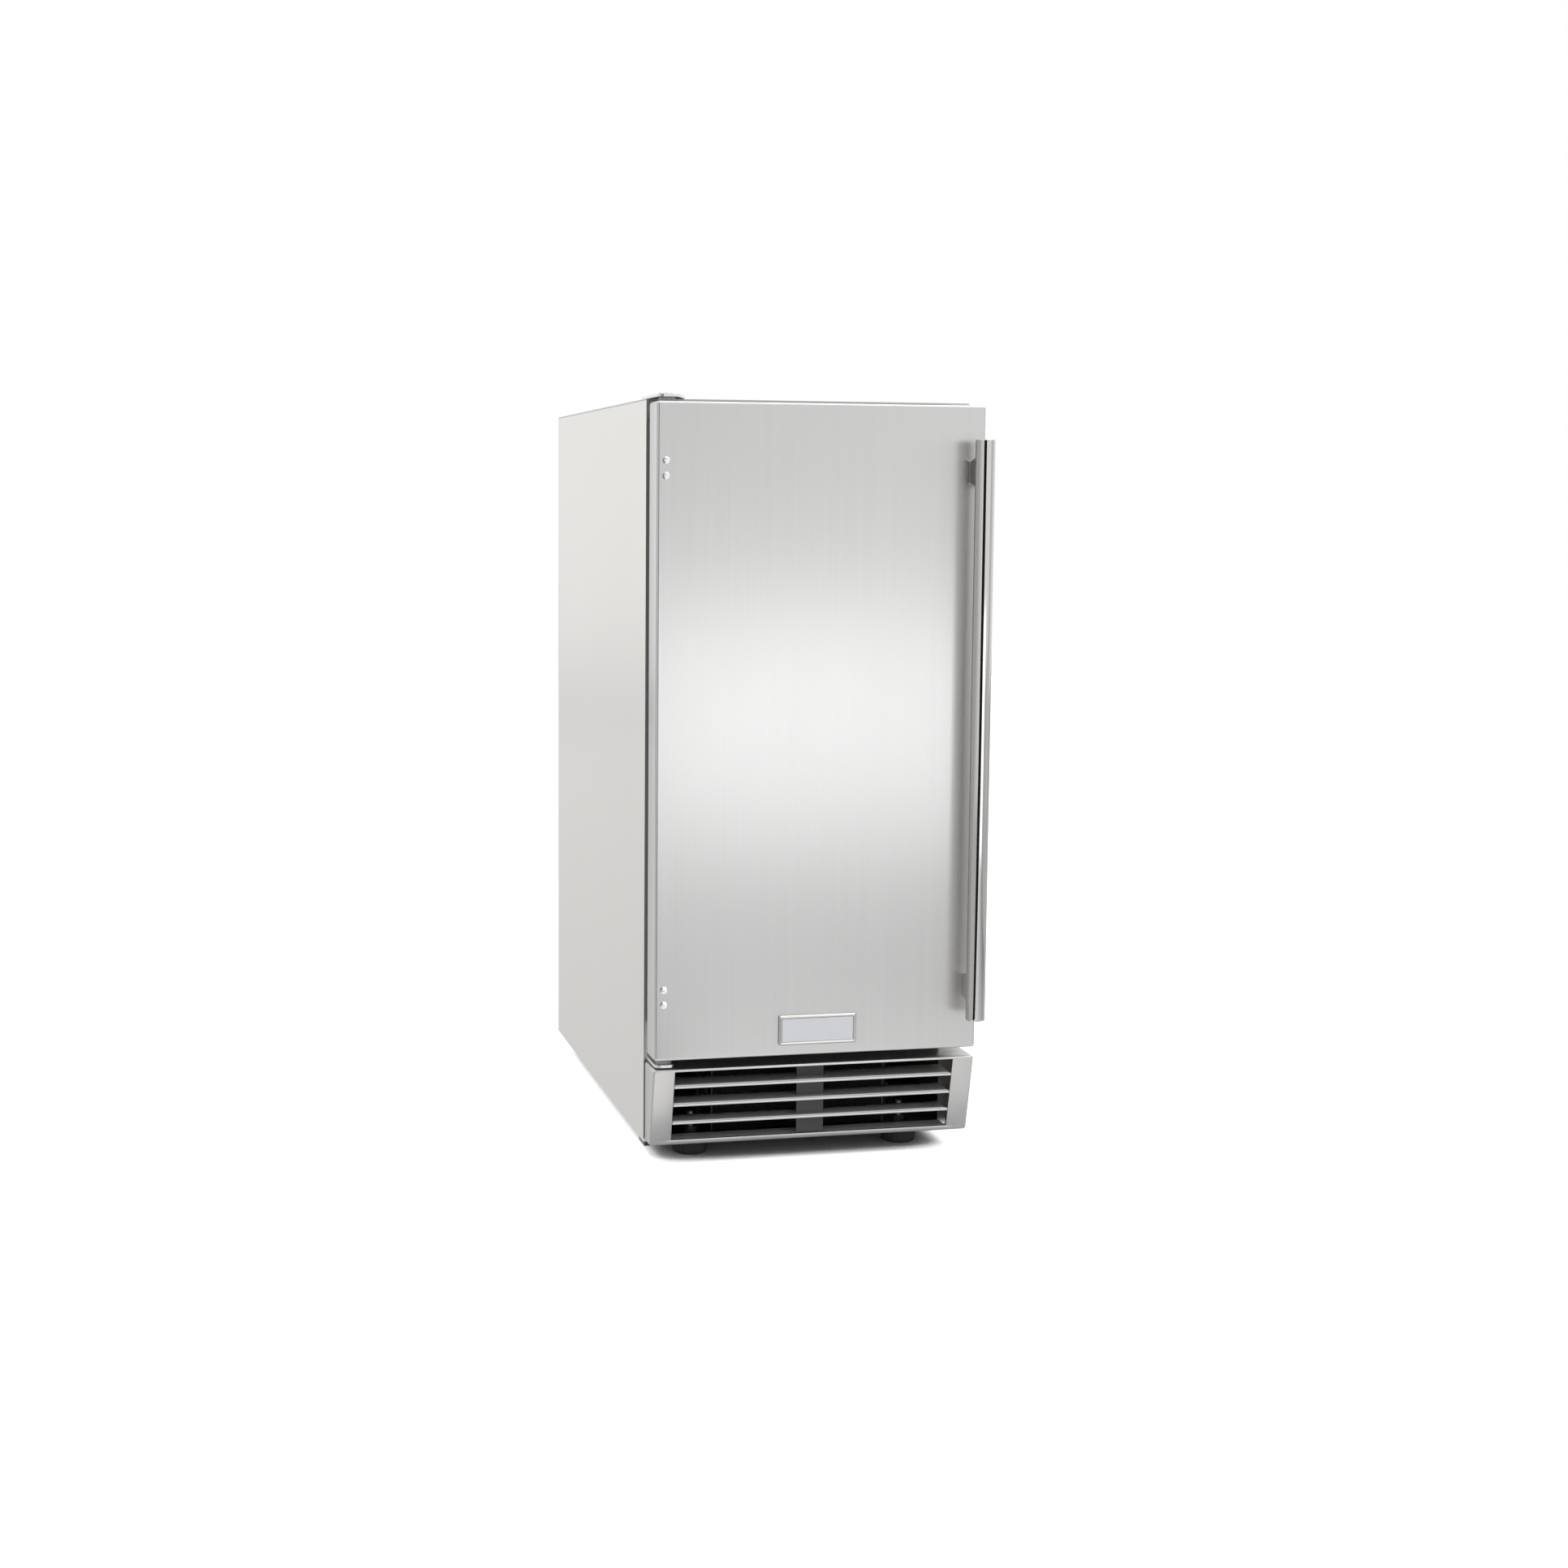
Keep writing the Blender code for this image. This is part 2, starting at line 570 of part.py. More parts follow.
def block(name, first, second, material=None):
    """Make a plain box between two opposite corners."""
    low, high = ordered(first, second)
    mesh = bpy.data.meshes.new(name)
    shape = bmesh.new()
    bmesh.ops.create_cube(shape, size=1)
    bmesh.ops.scale(shape, vec=high - low, verts=shape.verts)
    shape.to_mesh(mesh)
    shape.free()
    return add_object(name, mesh, material, (low + high) / 2)


def soften(piece, radius, segments=2):
    """Round every sharp edge of a piece."""
    bevel = piece.modifiers.new("rounded_edges", "BEVEL")
    bevel.width = radius
    bevel.segments = segments
    bevel.limit_method = "ANGLE"
    return piece


def rod(name, start, end, radius, material=None, steps=ROUND_STEPS, end_radius=None):
    """Make a straight cylinder, or a cone, from one point to another."""
    start, end = Vector(start), Vector(end)
    mesh = bpy.data.meshes.new(name)
    shape = bmesh.new()
    last = radius if end_radius is None else end_radius
    bmesh.ops.create_cone(
        shape, cap_ends=True, segments=steps, radius1=radius, radius2=last,
        depth=(end - start).length,
    )
    turn = (end - start).to_track_quat("Z", "Y").to_matrix()
    bmesh.ops.rotate(shape, verts=shape.verts, matrix=turn)
    shape.to_mesh(mesh)
    shape.free()
    mesh.shade_smooth()
    mesh.set_sharp_from_angle(angle=SMOOTH_ANGLE)
    return add_object(name, mesh, material, (start + end) / 2)


def turned(name, profile, start, direction, material=None, steps=ROUND_STEPS, ring=False):
    """Turn a profile of (radius, height) points, given top to bottom, about a line.

    Height runs from start along direction. A ring's profile is a closed loop that
    goes down the outside and up the inside.
    """
    mesh = bpy.data.meshes.new(name)
    points = [(radius, 0, height) for radius, height in profile]
    links = [(index, index + 1) for index in range(len(points) - 1)]
    if ring:
        links.append((len(points) - 1, 0))
    mesh.from_pydata(points, links, [])
    piece = add_object(name, mesh, material, start)
    piece.rotation_euler = Vector(direction).to_track_quat("Z", "Y").to_euler()
    screw = piece.modifiers.new("turning", "SCREW")
    screw.steps = steps
    screw.render_steps = steps
    screw.use_merge_vertices = True
    screw.merge_threshold = WELD_DISTANCE
    screw.use_smooth_shade = True
    return piece


def evaluated_mesh(piece):
    """Return a piece's finished mesh in world space."""
    bpy.context.view_layer.update()
    graph = bpy.context.evaluated_depsgraph_get()
    mesh = bpy.data.meshes.new_from_object(piece.evaluated_get(graph))
    mesh.transform(piece.matrix_world)
    return mesh


def gather(name, members, material=None):
    """Put several solids in one object, and remove the originals."""
    shape = bmesh.new()
    for member in members:
        shape.from_mesh(evaluated_mesh(member))
        bpy.data.objects.remove(member, do_unlink=True)
    mesh = bpy.data.meshes.new(name)
    shape.to_mesh(mesh)
    shape.free()
    mesh.materials.clear()
    mesh.set_sharp_from_angle(angle=SMOOTH_ANGLE)
    return add_object(name, mesh, material, (0, 0, 0))


def curve_to_mesh(piece, material):
    """Turn a filled curve into a closed mesh object under the same name."""
    bpy.context.view_layer.update()
    graph = bpy.context.evaluated_depsgraph_get()
    name = piece.name
    mesh = bpy.data.meshes.new_from_object(piece.evaluated_get(graph))
    shape = bmesh.new()
    shape.from_mesh(mesh)
    bmesh.ops.remove_doubles(shape, verts=shape.verts, dist=POINT_DISTANCE)
    bmesh.ops.recalc_face_normals(shape, faces=shape.faces)
    shape.to_mesh(mesh)
    shape.free()
    mesh.materials.clear()
    place = piece.matrix_world.copy()
    bpy.data.objects.remove(piece, do_unlink=True)
    solid = add_object(name, mesh, material, (0, 0, 0))
    solid.name = name
    solid.matrix_world = place
    mesh.set_sharp_from_angle(angle=SMOOTH_ANGLE)
    return solid


# For each extrusion axis: the direction that the outline's third axis takes, and the rotation
OUTLINE_TURNS = {
    "Z": (0, 0, 0),
    "X": (math.pi / 2, 0, math.pi / 2),
    "Y": (math.pi / 2, 0, 0),
}


def outline(name, loops, axis, low, high, material=None):
    """Extrude closed outlines between two places along an axis.

    Loops are (x, y) points for axis Z, (y, z) for axis X and (x, z) for axis Y, and
    a loop inside another is a hole.
    """
    curve = bpy.data.curves.new(name, "CURVE")
    curve.dimensions = "2D"
    curve.fill_mode = "BOTH"
    curve.extrude = (high - low) / 2
    for loop in loops:
        spline = curve.splines.new("POLY")
        spline.points.add(len(loop) - 1)
        for point, place in zip(spline.points, loop):
            point.co = (place[0], place[1], 0, 1)
        spline.use_cyclic_u = True
    middle = (low + high) / 2
    location = {"Z": (0, 0, middle), "X": (middle, 0, 0), "Y": (0, middle, 0)}[axis]
    piece = add_object(name, curve, None, location)
    piece.rotation_euler = OUTLINE_TURNS[axis]
    return curve_to_mesh(piece, material)


def circle(x, y, radius, steps=SMALL_STEPS):
    """Return the points of a circle, for an outline's hole."""
    turns = [2 * math.pi * index / steps for index in range(steps)]
    return [(x + radius * math.cos(turn), y + radius * math.sin(turn)) for turn in turns]


def rectangle(x_low, x_high, y_low, y_high):
    """Return the corners of a rectangle, for an outline."""
    return [(x_low, y_low), (x_high, y_low), (x_high, y_high), (x_low, y_high)]


def fillet(before, corner, after, radius, steps):
    """Return the arc that replaces a corner between two straight runs."""
    toward = (before - corner).normalized()
    onward = (after - corner).normalized()
    half = toward.angle(onward) / 2
    reach = min(radius / math.tan(half), (before - corner).length, (after - corner).length)
    centre = corner + (toward + onward).normalized() * (reach / math.cos(half))
    first = corner + toward * reach - centre
    last = (corner + onward * reach - centre).normalized()
    turns = [first.normalized().slerp(last, index / steps) for index in range(steps + 1)]
    return [centre + turn * first.length for turn in turns]


def rounded(points, radius, steps=BEND_STEPS, closed=True, only=None):
    """Round the corners of a path, all of them or only those with the given indices."""
    places = [Vector((*point, 0)) if len(point) == 2 else Vector(point) for point in points]
    count = len(places)
    path = []
    for index, corner in enumerate(places):
        at_end = not closed and index in (0, count - 1)
        if at_end or (only is not None and index not in only):
            path.append(corner)
            continue
        path += fillet(places[index - 1], corner, places[(index + 1) % count], radius, steps)
    return path


def tube(name, points, radius, bend, material=None, resolution=1):
    """Sweep a round tube along straight runs joined by bends."""
    curve = bpy.data.curves.new(name, "CURVE")
    curve.dimensions = "3D"
    curve.bevel_depth = radius
    curve.bevel_resolution = resolution
    curve.use_fill_caps = True
    path = rounded(points, bend, closed=False)
    spline = curve.splines.new("POLY")
    spline.points.add(len(path) - 1)
    for point, place in zip(spline.points, path):
        point.co = (*place, 1)
    spline.use_smooth = True
    return curve_to_mesh(add_object(name, curve, None, (0, 0, 0)), material)


def boolean(piece, tool, operation):
    """Apply one exact Boolean of a tool to a piece, and hide the tool."""
    step = piece.modifiers.new(tool.name, "BOOLEAN")
    step.operation = operation
    step.object = tool
    pieces_collection.objects.unlink(tool)
    cutters_collection.objects.link(tool)
    tool.hide_render = True
    tool.display_type = "WIRE"
    return piece


def cut(piece, tool):
    """Take a tool's volume out of a piece."""
    return boolean(piece, tool, "DIFFERENCE")


def fuse(piece, tool):
    """Join a tool's volume to a piece."""
    return boolean(piece, tool, "UNION")


def cut_box(piece, label, first, second):
    """Cut a box-shaped space out of a piece."""
    return cut(piece, block(piece.name + "_cut_" + label, first, second))


def cut_rods(piece, label, lines, radius, steps=SMALL_STEPS):
    """Drill round holes along the given lines, all with one tool."""
    members = [rod("drill", start, end, radius, steps=steps) for start, end in lines]
    return cut(piece, gather(piece.name + "_drill_" + label, members))


def spread(count, first, last):
    """Return places evenly spread from first to last."""
    return [first + (last - first) * index / (count - 1) for index in range(count)]


def carrier(name, location=(0, 0, 0)):
    """Make the empty that carries one moving body, placed on its joint."""
    empty = bpy.data.objects.new(name, None)
    pieces_collection.objects.link(empty)
    empty.location = location
    return empty


def carry(empty, *members):
    """Parent pieces to a body's empty without moving them."""
    for member in members:
        member.parent = empty
        member.location = member.location - empty.location


# Screws

def rear_screw_places():
    """Return the places of the rear panel's screws, on its outer face."""
    side_x = HALF - SIDE_FLANGE / 2
    rows = spread(SCREW_SIDE_ROWS, SERVICE_SHELF + SCREW_ROW_INSET, CAB_TOP - SCREW_ROW_INSET)
    edge = [(side * side_x, row) for side in (-1, 1) for row in rows]
    lap_z = SERVICE_TOP - SERVICE_LAP / 2
    lap = [(side * LAP_SCREW_OFFSET, lap_z) for side in (-1, 1)]
    return [(x, FRONT + CABINET_DEPTH, z) for x, z in edge + lap]


def top_screw_places():
    """Return the places of the top hinge plate's screws, on the plate."""
    xs = [-HALF + TOP_SCREW_INSET + TOP_SCREW_PITCH * index for index in range(TOP_SCREW_COUNT)]
    return [(x, FRONT + TOP_SCREW_DEPTH, CAB_TOP + SEAT + HINGE_PLATE) for x in xs]


def leaf_screw_places():
    """Return the places of the bottom hinge bracket's screws, on its leaf."""
    x = -HALF + HINGE_EDGE + BRACKET_LEAF_WIDTH / 2
    y = FRONT - SEAT - HINGE_PLATE
    first = BRACKET_PLATE_TOP + LEAF_SCREW_RISE
    return [(x, y, first), (x, y, first + LEAF_SCREW_PITCH)]


def fuse_heads(piece, label, places, outward, radius=SCREW_HEAD_RADIUS):
    """Join pan heads to a sheet, each sunk into it by half the sheet's thickness."""
    profile = [
        (0, SCREW_HEAD_HEIGHT),
        (radius - SCREW_HEAD_HEIGHT / 2, SCREW_HEAD_HEIGHT),
        (radius, SCREW_HEAD_HEIGHT / 2),
        (radius, -SHEET / 2),
        (0, -SHEET / 2),
    ]
    heads = [turned("head", profile, place, outward, steps=SMALL_STEPS) for place in places]
    return fuse(piece, gather(piece.name + label, heads))


# Cabinet shell

def make_side_panel(name, side):
    """Fold one side panel, with a flange along its front and its rear edge."""
    outer = side * HALF
    skin = side * (HALF - SHEET)
    flange = side * (HALF - SIDE_FLANGE)
    rear = REAR_SKIN_Y - SEAT
    loop = [
        (outer, FRONT), (flange, FRONT), (flange, FRONT + SHEET), (skin, FRONT + SHEET),
        (skin, rear - SHEET), (flange, rear - SHEET), (flange, rear), (outer, rear),
    ]
    panel = outline(name, [loop], "Z", CAB_BOTTOM, CAB_TOP - SHEET - SEAT, BRUSHED)
    return cut_box(
        panel, "top_return",
        (skin, FRONT - OVERRUN, CAB_TOP - TOP_RETURN - SEAT),
        (flange - side * OVERRUN, FRONT + SHEET + SEAT, CAB_TOP),
    )


def make_top_panel():
    """Make the top panel with its folded front return."""
    panel = block(
        "top_panel", (-HALF, FRONT, CAB_TOP - SHEET), (HALF, FRONT + CABINET_DEPTH, CAB_TOP), BRUSHED
    )
    front_return = block(
        "top_return", (-INNER_HALF, FRONT, CAB_TOP - TOP_RETURN),
        (INNER_HALF, FRONT + SHEET, CAB_TOP - SHEET / 2),
    )
    return fuse(panel, front_return)


def make_rear_panel():
    """Make the flat rear panel with the heads of its screws."""
    panel = block(
        "rear_panel", (-HALF, REAR_SKIN_Y, SERVICE_SHELF),
        (HALF, FRONT + CABINET_DEPTH, CAB_TOP - SHEET - SEAT), BRUSHED,
    )
    return fuse_heads(panel, "_screws", rear_screw_places(), (0, 1, 0))


def make_service_cover():
    """Make the recessed cover over the machine compartment, with its slots and outlets."""
    cover = block(
        "rear_service_cover", (-INNER_HALF, SERVICE_Y, CAB_BOTTOM),
        (INNER_HALF, SERVICE_Y + SHEET, SERVICE_TOP), GALVANISED,
    )
    flange_rear = REAR_SKIN_Y - SEAT
    half = HALF - SIDE_FLANGE - SEAT
    loop = [
        (SERVICE_Y + SHEET / 2, SERVICE_SHELF), (flange_rear, SERVICE_SHELF),
        (flange_rear, SERVICE_TOP), (flange_rear - SHEET, SERVICE_TOP),
        (flange_rear - SHEET, SERVICE_SHELF + SHEET), (SERVICE_Y + SHEET / 2, SERVICE_SHELF + SHEET),
    ]
    fuse(cover, outline("service_lap", [loop], "X", -half, half))
    slots = []
    for index in range(SERVICE_SLOTS):
        z = CAB_BOTTOM + SERVICE_SLOT_RISE + SERVICE_SLOT_PITCH * index
        slots.append(block(
            "slot", (-SERVICE_SLOT_WIDTH / 2, SERVICE_Y - OVERRUN, z),
            (SERVICE_SLOT_WIDTH / 2, SERVICE_Y + SHEET + OVERRUN, z + SERVICE_SLOT_HEIGHT),
        ))
    cut(cover, gather("service_slots", slots))
    for label, x, z, radius in (
        ("inlet", INLET_X, INLET_Z, INLET_THREAD_RADIUS),
        ("gland", GLAND_X, CAB_BOTTOM + GLAND_RISE, GLAND_RADIUS),
        ("drain", DRAIN_X, drain_outlet_height(SERVICE_Y), DRAIN_RADIUS + SEAT),
    ):
        line = ((x, SERVICE_Y - OVERRUN, z), (x, SERVICE_Y + SHEET + OVERRUN, z))
        cut_rods(cover, label, [line], radius + SEAT, ROUND_STEPS)
    return cover


def foot_places():
    """Return the name, x and y of each foot."""
    return [
        ("foot_front_left", -FOOT_X, FOOT_FRONT_Y), ("foot_front_right", FOOT_X, FOOT_FRONT_Y),
        ("foot_rear_left", -FOOT_X, FOOT_REAR_Y), ("foot_rear_right", FOOT_X, FOOT_REAR_Y),
    ]


def make_base_pan():
    """Make the base tray, its threaded foot bosses and the pads under its front corners."""
    inner = INNER_HALF - BASE_SHEET
    flange_top = CAB_BOTTOM + BASE_FLANGE
    loop = [
        (-INNER_HALF, CAB_BOTTOM), (INNER_HALF, CAB_BOTTOM), (INNER_HALF, flange_top),
        (inner, flange_top), (inner, BASE_TOP), (-inner, BASE_TOP), (-inner, flange_top),
        (-INNER_HALF, flange_top),
    ]
    pan = outline(
        "base_pan", [loop], "Y", FRONT + BASE_SET_BACK, SERVICE_Y - SEAT, BLACK_STEEL
    )
    boss_bottom = CAB_BOTTOM + BASE_SHEET / 2
    extras = [
        rod("boss", (x, y, boss_bottom), (x, y, CAB_BOTTOM + BASE_BOSS_HEIGHT), BASE_BOSS_RADIUS)
        for _, x, y in foot_places()
    ]
    for side in (-1, 1):
        extras.append(block(
            "pad", (side * INNER_HALF, FRONT + BASE_SET_BACK, CAB_BOTTOM - PAD_DROP),
            (side * (INNER_HALF - PAD_WIDTH), FRONT + BASE_SET_BACK + PAD_LENGTH, boss_bottom),
        ))
    fuse(pan, gather("base_extras", extras))
    lines = [
        ((x, y, CAB_BOTTOM - OVERRUN), (x, y, CAB_BOTTOM + BASE_BOSS_HEIGHT + OVERRUN))
        for _, x, y in foot_places()
    ]
    return cut_rods(pan, "stems", lines, FOOT_STEM_RADIUS + SEAT)


def make_foot(name, x, y):
    """Turn one levelling foot with its threaded stem."""
    top = CAB_BOTTOM - SEAT
    stem_top = CAB_BOTTOM + BASE_BOSS_HEIGHT + FOOT_TRAVEL + FOOT_STEM_SPARE
    profile = [
        (0, stem_top), (FOOT_STEM_RADIUS, stem_top), (FOOT_STEM_RADIUS, top),
        (FOOT_RADIUS - 2 * FOOT_CHAMFER, top), (FOOT_RADIUS - FOOT_CHAMFER, top - FOOT_CHAMFER),
        (FOOT_RADIUS, FOOT_CHAMFER), (FOOT_RADIUS - FOOT_CHAMFER, 0), (0, 0),
    ]
    return turned(name, profile, (x, y, 0), (0, 0, 1), RUBBER)


# Bin, insulation and frame

def make_front_frame():
    """Make the plastic breaker frame round the mouth of the bin."""
    half = HALF - SIDE_FLANGE - SEAT
    outer = rectangle(-half, half, CAB_BOTTOM + FRAME_RISE, CAB_TOP - TOP_RETURN - SEAT)
    mouth = rectangle(-MOUTH_HALF_WIDTH, MOUTH_HALF_WIDTH, BIN_FLOOR, BIN_TOP)
    return outline("front_frame", [outer, mouth], "Y", FRONT, FRONT + FRAME_DEPTH, BLACK_PLASTIC)


def stepped_loop(front, wall):
    """Return the side outline of the bin grown by a wall, from a given front plane."""
    step = FRONT + STEP_DEPTH + wall
    rear = BIN_REAR_Y + wall
    return [
        (front, BIN_FLOOR - wall), (step, BIN_FLOOR - wall), (step, BIN_STEP - wall),
        (rear, BIN_STEP - wall), (rear, BIN_TOP + wall), (front, BIN_TOP + wall),
    ]


def penetrations():
    """Return the label, x, y, top, bottom and radius of each hole through the bin's floors."""
    step = (BIN_STEP + OVERRUN, STEP_FOAM_BOTTOM - OVERRUN)
    floor = (BIN_FLOOR + OVERRUN, FLOOR_FOAM_BOTTOM - OVERRUN)
    return [
        ("feed", FEED_X, COIL_Y, *step, PIPE_RADIUS),
        ("suction", SUCTION_X, COIL_Y, *step, PIPE_RADIUS),
        ("inlet", INLET_TUBE_X, INLET_REAR_Y, *step, INLET_TUBE_RADIUS),
        ("drain", DRAIN_X, DRAIN_Y, *floor, DRAIN_RADIUS),
    ]


def drill_penetrations(piece):
    """Drill the pipe and drain holes through the liner or the foam."""
    for label, x, y, top, bottom, radius in penetrations():
        cut_rods(piece, label, [((x, y, top), (x, y, bottom))], radius + SEAT, ROUND_STEPS)
    return piece


def make_inner_liner():
    """Make the moulded bin, stepped over the compressor, with the scoop's pocket."""
    front = FRONT + FRAME_DEPTH + SEAT
    half = MOUTH_HALF_WIDTH + LINER_WALL
    liner = outline("inner_liner", [stepped_loop(front, LINER_WALL)], "X", -half, half, WHITE_PLASTIC)
    hollow = stepped_loop(front - OVERRUN, 0)
    cut(liner, outline("liner_hollow", [hollow], "X", -MOUTH_HALF_WIDTH, MOUTH_HALF_WIDTH))
    inner_right = SCOOP_X + SCOOP_LIP + POCKET_CLEARANCE
    inner_near = SCOOP_Y - SCOOP_RADIUS - POCKET_CLEARANCE
    inner_far = SCOOP_Y + SCOOP_RADIUS + POCKET_CLEARANCE
    pocket_top = POCKET_BOTTOM + POCKET_HEIGHT
    pocket = block(
        "pocket", (-MOUTH_HALF_WIDTH - LINER_WALL / 2, inner_near - LINER_WALL, POCKET_BOTTOM),
        (inner_right + LINER_WALL, inner_far + LINER_WALL, pocket_top),
    )
    fuse(liner, pocket)
    cut_box(
        liner, "pocket", (-MOUTH_HALF_WIDTH, inner_near, POCKET_BOTTOM + LINER_WALL),
        (inner_right, inner_far, pocket_top + OVERRUN),
    )
    return drill_penetrations(liner)


def make_insulation():
    """Make the foam between the liner and the outer skins."""
    front = FRONT + FRAME_DEPTH + SEAT
    wall = LINER_WALL + SEAT
    skin = wall + FOAM_FLOOR
    rear = REAR_SKIN_Y - SEAT - SHEET - SEAT
    loop = [
        (front, BIN_FLOOR - skin), (FRONT + STEP_DEPTH + skin, BIN_FLOOR - skin),
        (FRONT + STEP_DEPTH + skin, BIN_STEP - skin), (rear, BIN_STEP - skin),
        (rear, CAB_TOP - SHEET - SEAT), (front, CAB_TOP - SHEET - SEAT),
    ]
    foam = outline("insulation_foam", [loop], "X", -INNER_HALF, INNER_HALF, FOAM)
    half = MOUTH_HALF_WIDTH + wall
    hollow = stepped_loop(front - OVERRUN, wall)
    cut(foam, outline("foam_hollow", [hollow], "X", -half, half))
    return drill_penetrations(foam)


def make_ice_baffle():
    """Make the clear plate that keeps the ice from rolling out of the mouth."""
    half = MOUTH_HALF_WIDTH - SEAT
    bottom = BIN_FLOOR + SEAT
    top = bottom + BAFFLE_HEIGHT
    dip = BAFFLE_DIP_WIDTH / 2
    points = [
        (-half, bottom), (half, bottom), (half, top), (dip + BAFFLE_DIP, top),
        (dip, top - BAFFLE_DIP), (-dip, top - BAFFLE_DIP), (-dip - BAFFLE_DIP, top), (-half, top),
    ]
    loop = rounded(points, BAFFLE_CORNER, only=range(2, len(points)))
    near = FRONT + BAFFLE_DEPTH
    return outline("ice_baffle", [loop], "Y", near, near + BAFFLE_THICKNESS, CLEAR_PLASTIC)


def make_ice_scoop():
    """Make the scoop: a half-round bowl with a closed back and a bar handle."""
    outer = [Vector((SCOOP_LIP, -SCOOP_RADIUS, 0)), Vector((0, -SCOOP_RADIUS, 0))]
    turns = [math.pi * (0.5 + index / SMALL_STEPS) for index in range(1, SMALL_STEPS)]
    inner_radius = SCOOP_RADIUS - SCOOP_WALL

    def side(radius):
        arc = [(SCOOP_X + radius * math.cos(turn), SCOOP_Y + radius * math.sin(turn)) for turn in turns]
        far = [(SCOOP_X + SCOOP_LIP, SCOOP_Y + radius), (SCOOP_X, SCOOP_Y + radius)]
        near = [(SCOOP_X, SCOOP_Y - radius), (SCOOP_X + SCOOP_LIP, SCOOP_Y - radius)]
        return far + arc + near

    loop = side(SCOOP_RADIUS) + list(reversed(side(inner_radius)))
    top = SCOOP_BOTTOM + SCOOP_LENGTH
    scoop = outline("ice_scoop", [loop], "Z", SCOOP_BOTTOM, top, CLEAR_PLASTIC)
    back = outline("scoop_back", [side(SCOOP_RADIUS)], "Z", top - SCOOP_WALL, top + SCOOP_WALL / 2)
    fuse(scoop, back)
    handle_x = SCOOP_X - SCOOP_RADIUS / 2
    handle = block(
        "scoop_handle",
        (handle_x - SCOOP_HANDLE_THICKNESS / 2, SCOOP_Y - SCOOP_HANDLE_WIDTH / 2, top - SCOOP_WALL / 2),
        (handle_x + SCOOP_HANDLE_THICKNESS / 2, SCOOP_Y + SCOOP_HANDLE_WIDTH / 2,
         top + SCOOP_HANDLE_LENGTH),
    )
    soften(handle, SCOOP_HANDLE_EDGE)
    return fuse(scoop, handle)


# Freezing parts

def make_evaporator_plate():
    """Make the plated grid that freezes the cubes, on four posts from the rear wall."""
    half = EVAPORATOR_WIDTH / 2
    plate = block(
        "evaporator_plate", (EVAPORATOR_X - half, EVAPORATOR_FRONT_Y, EVAPORATOR_BOTTOM),
        (EVAPORATOR_X + half, EVAPORATOR_REAR_Y, EVAPORATOR_TOP), NICKEL,
    )
    wide = (EVAPORATOR_WIDTH - CELL_WALL) / CELLS_ACROSS
    tall = (EVAPORATOR_HEIGHT - CELL_WALL) / CELLS_UP
    cells = []
    for column in range(CELLS_ACROSS):
        for row in range(CELLS_UP):
            x = EVAPORATOR_X - half + CELL_WALL + wide * column
            z = EVAPORATOR_BOTTOM + CELL_WALL + tall * row
            cells.append(block(
                "cell", (x, EVAPORATOR_FRONT_Y - OVERRUN, z),
                (x + wide - CELL_WALL, EVAPORATOR_REAR_Y - CELL_BACK, z + tall - CELL_WALL),
            ))
    cut(plate, gather("cells", cells))
    posts = []
    for x in (EVAPORATOR_X - half + POST_INSET, EVAPORATOR_X + half - POST_INSET):
        for z in (EVAPORATOR_BOTTOM + POST_INSET, EVAPORATOR_TOP - POST_INSET):
            start = (x, EVAPORATOR_REAR_Y - CELL_BACK / 2, z)
            posts.append(rod("post", start, (x, BIN_REAR_Y - SEAT, z), POST_RADIUS, steps=SMALL_STEPS))
    return fuse(plate, gather("posts", posts))


def make_evaporator_coil():
    """Bend the copper coil that lies against the back of the plate."""
    left = EVAPORATOR_X - EVAPORATOR_WIDTH / 2 + COIL_INSET
    right = EVAPORATOR_X + EVAPORATOR_WIDTH / 2 - COIL_INSET
    points = []
    for run in range(COIL_RUNS):
        z = EVAPORATOR_TOP - COIL_INSET - COIL_PITCH * run
        ends = (right, left) if run % 2 == 0 else (left, right)
        points += [(x, COIL_Y, z) for x in ends]
    return tube("evaporator_coil", points, COIL_RADIUS, COIL_PITCH / 2, COPPER)


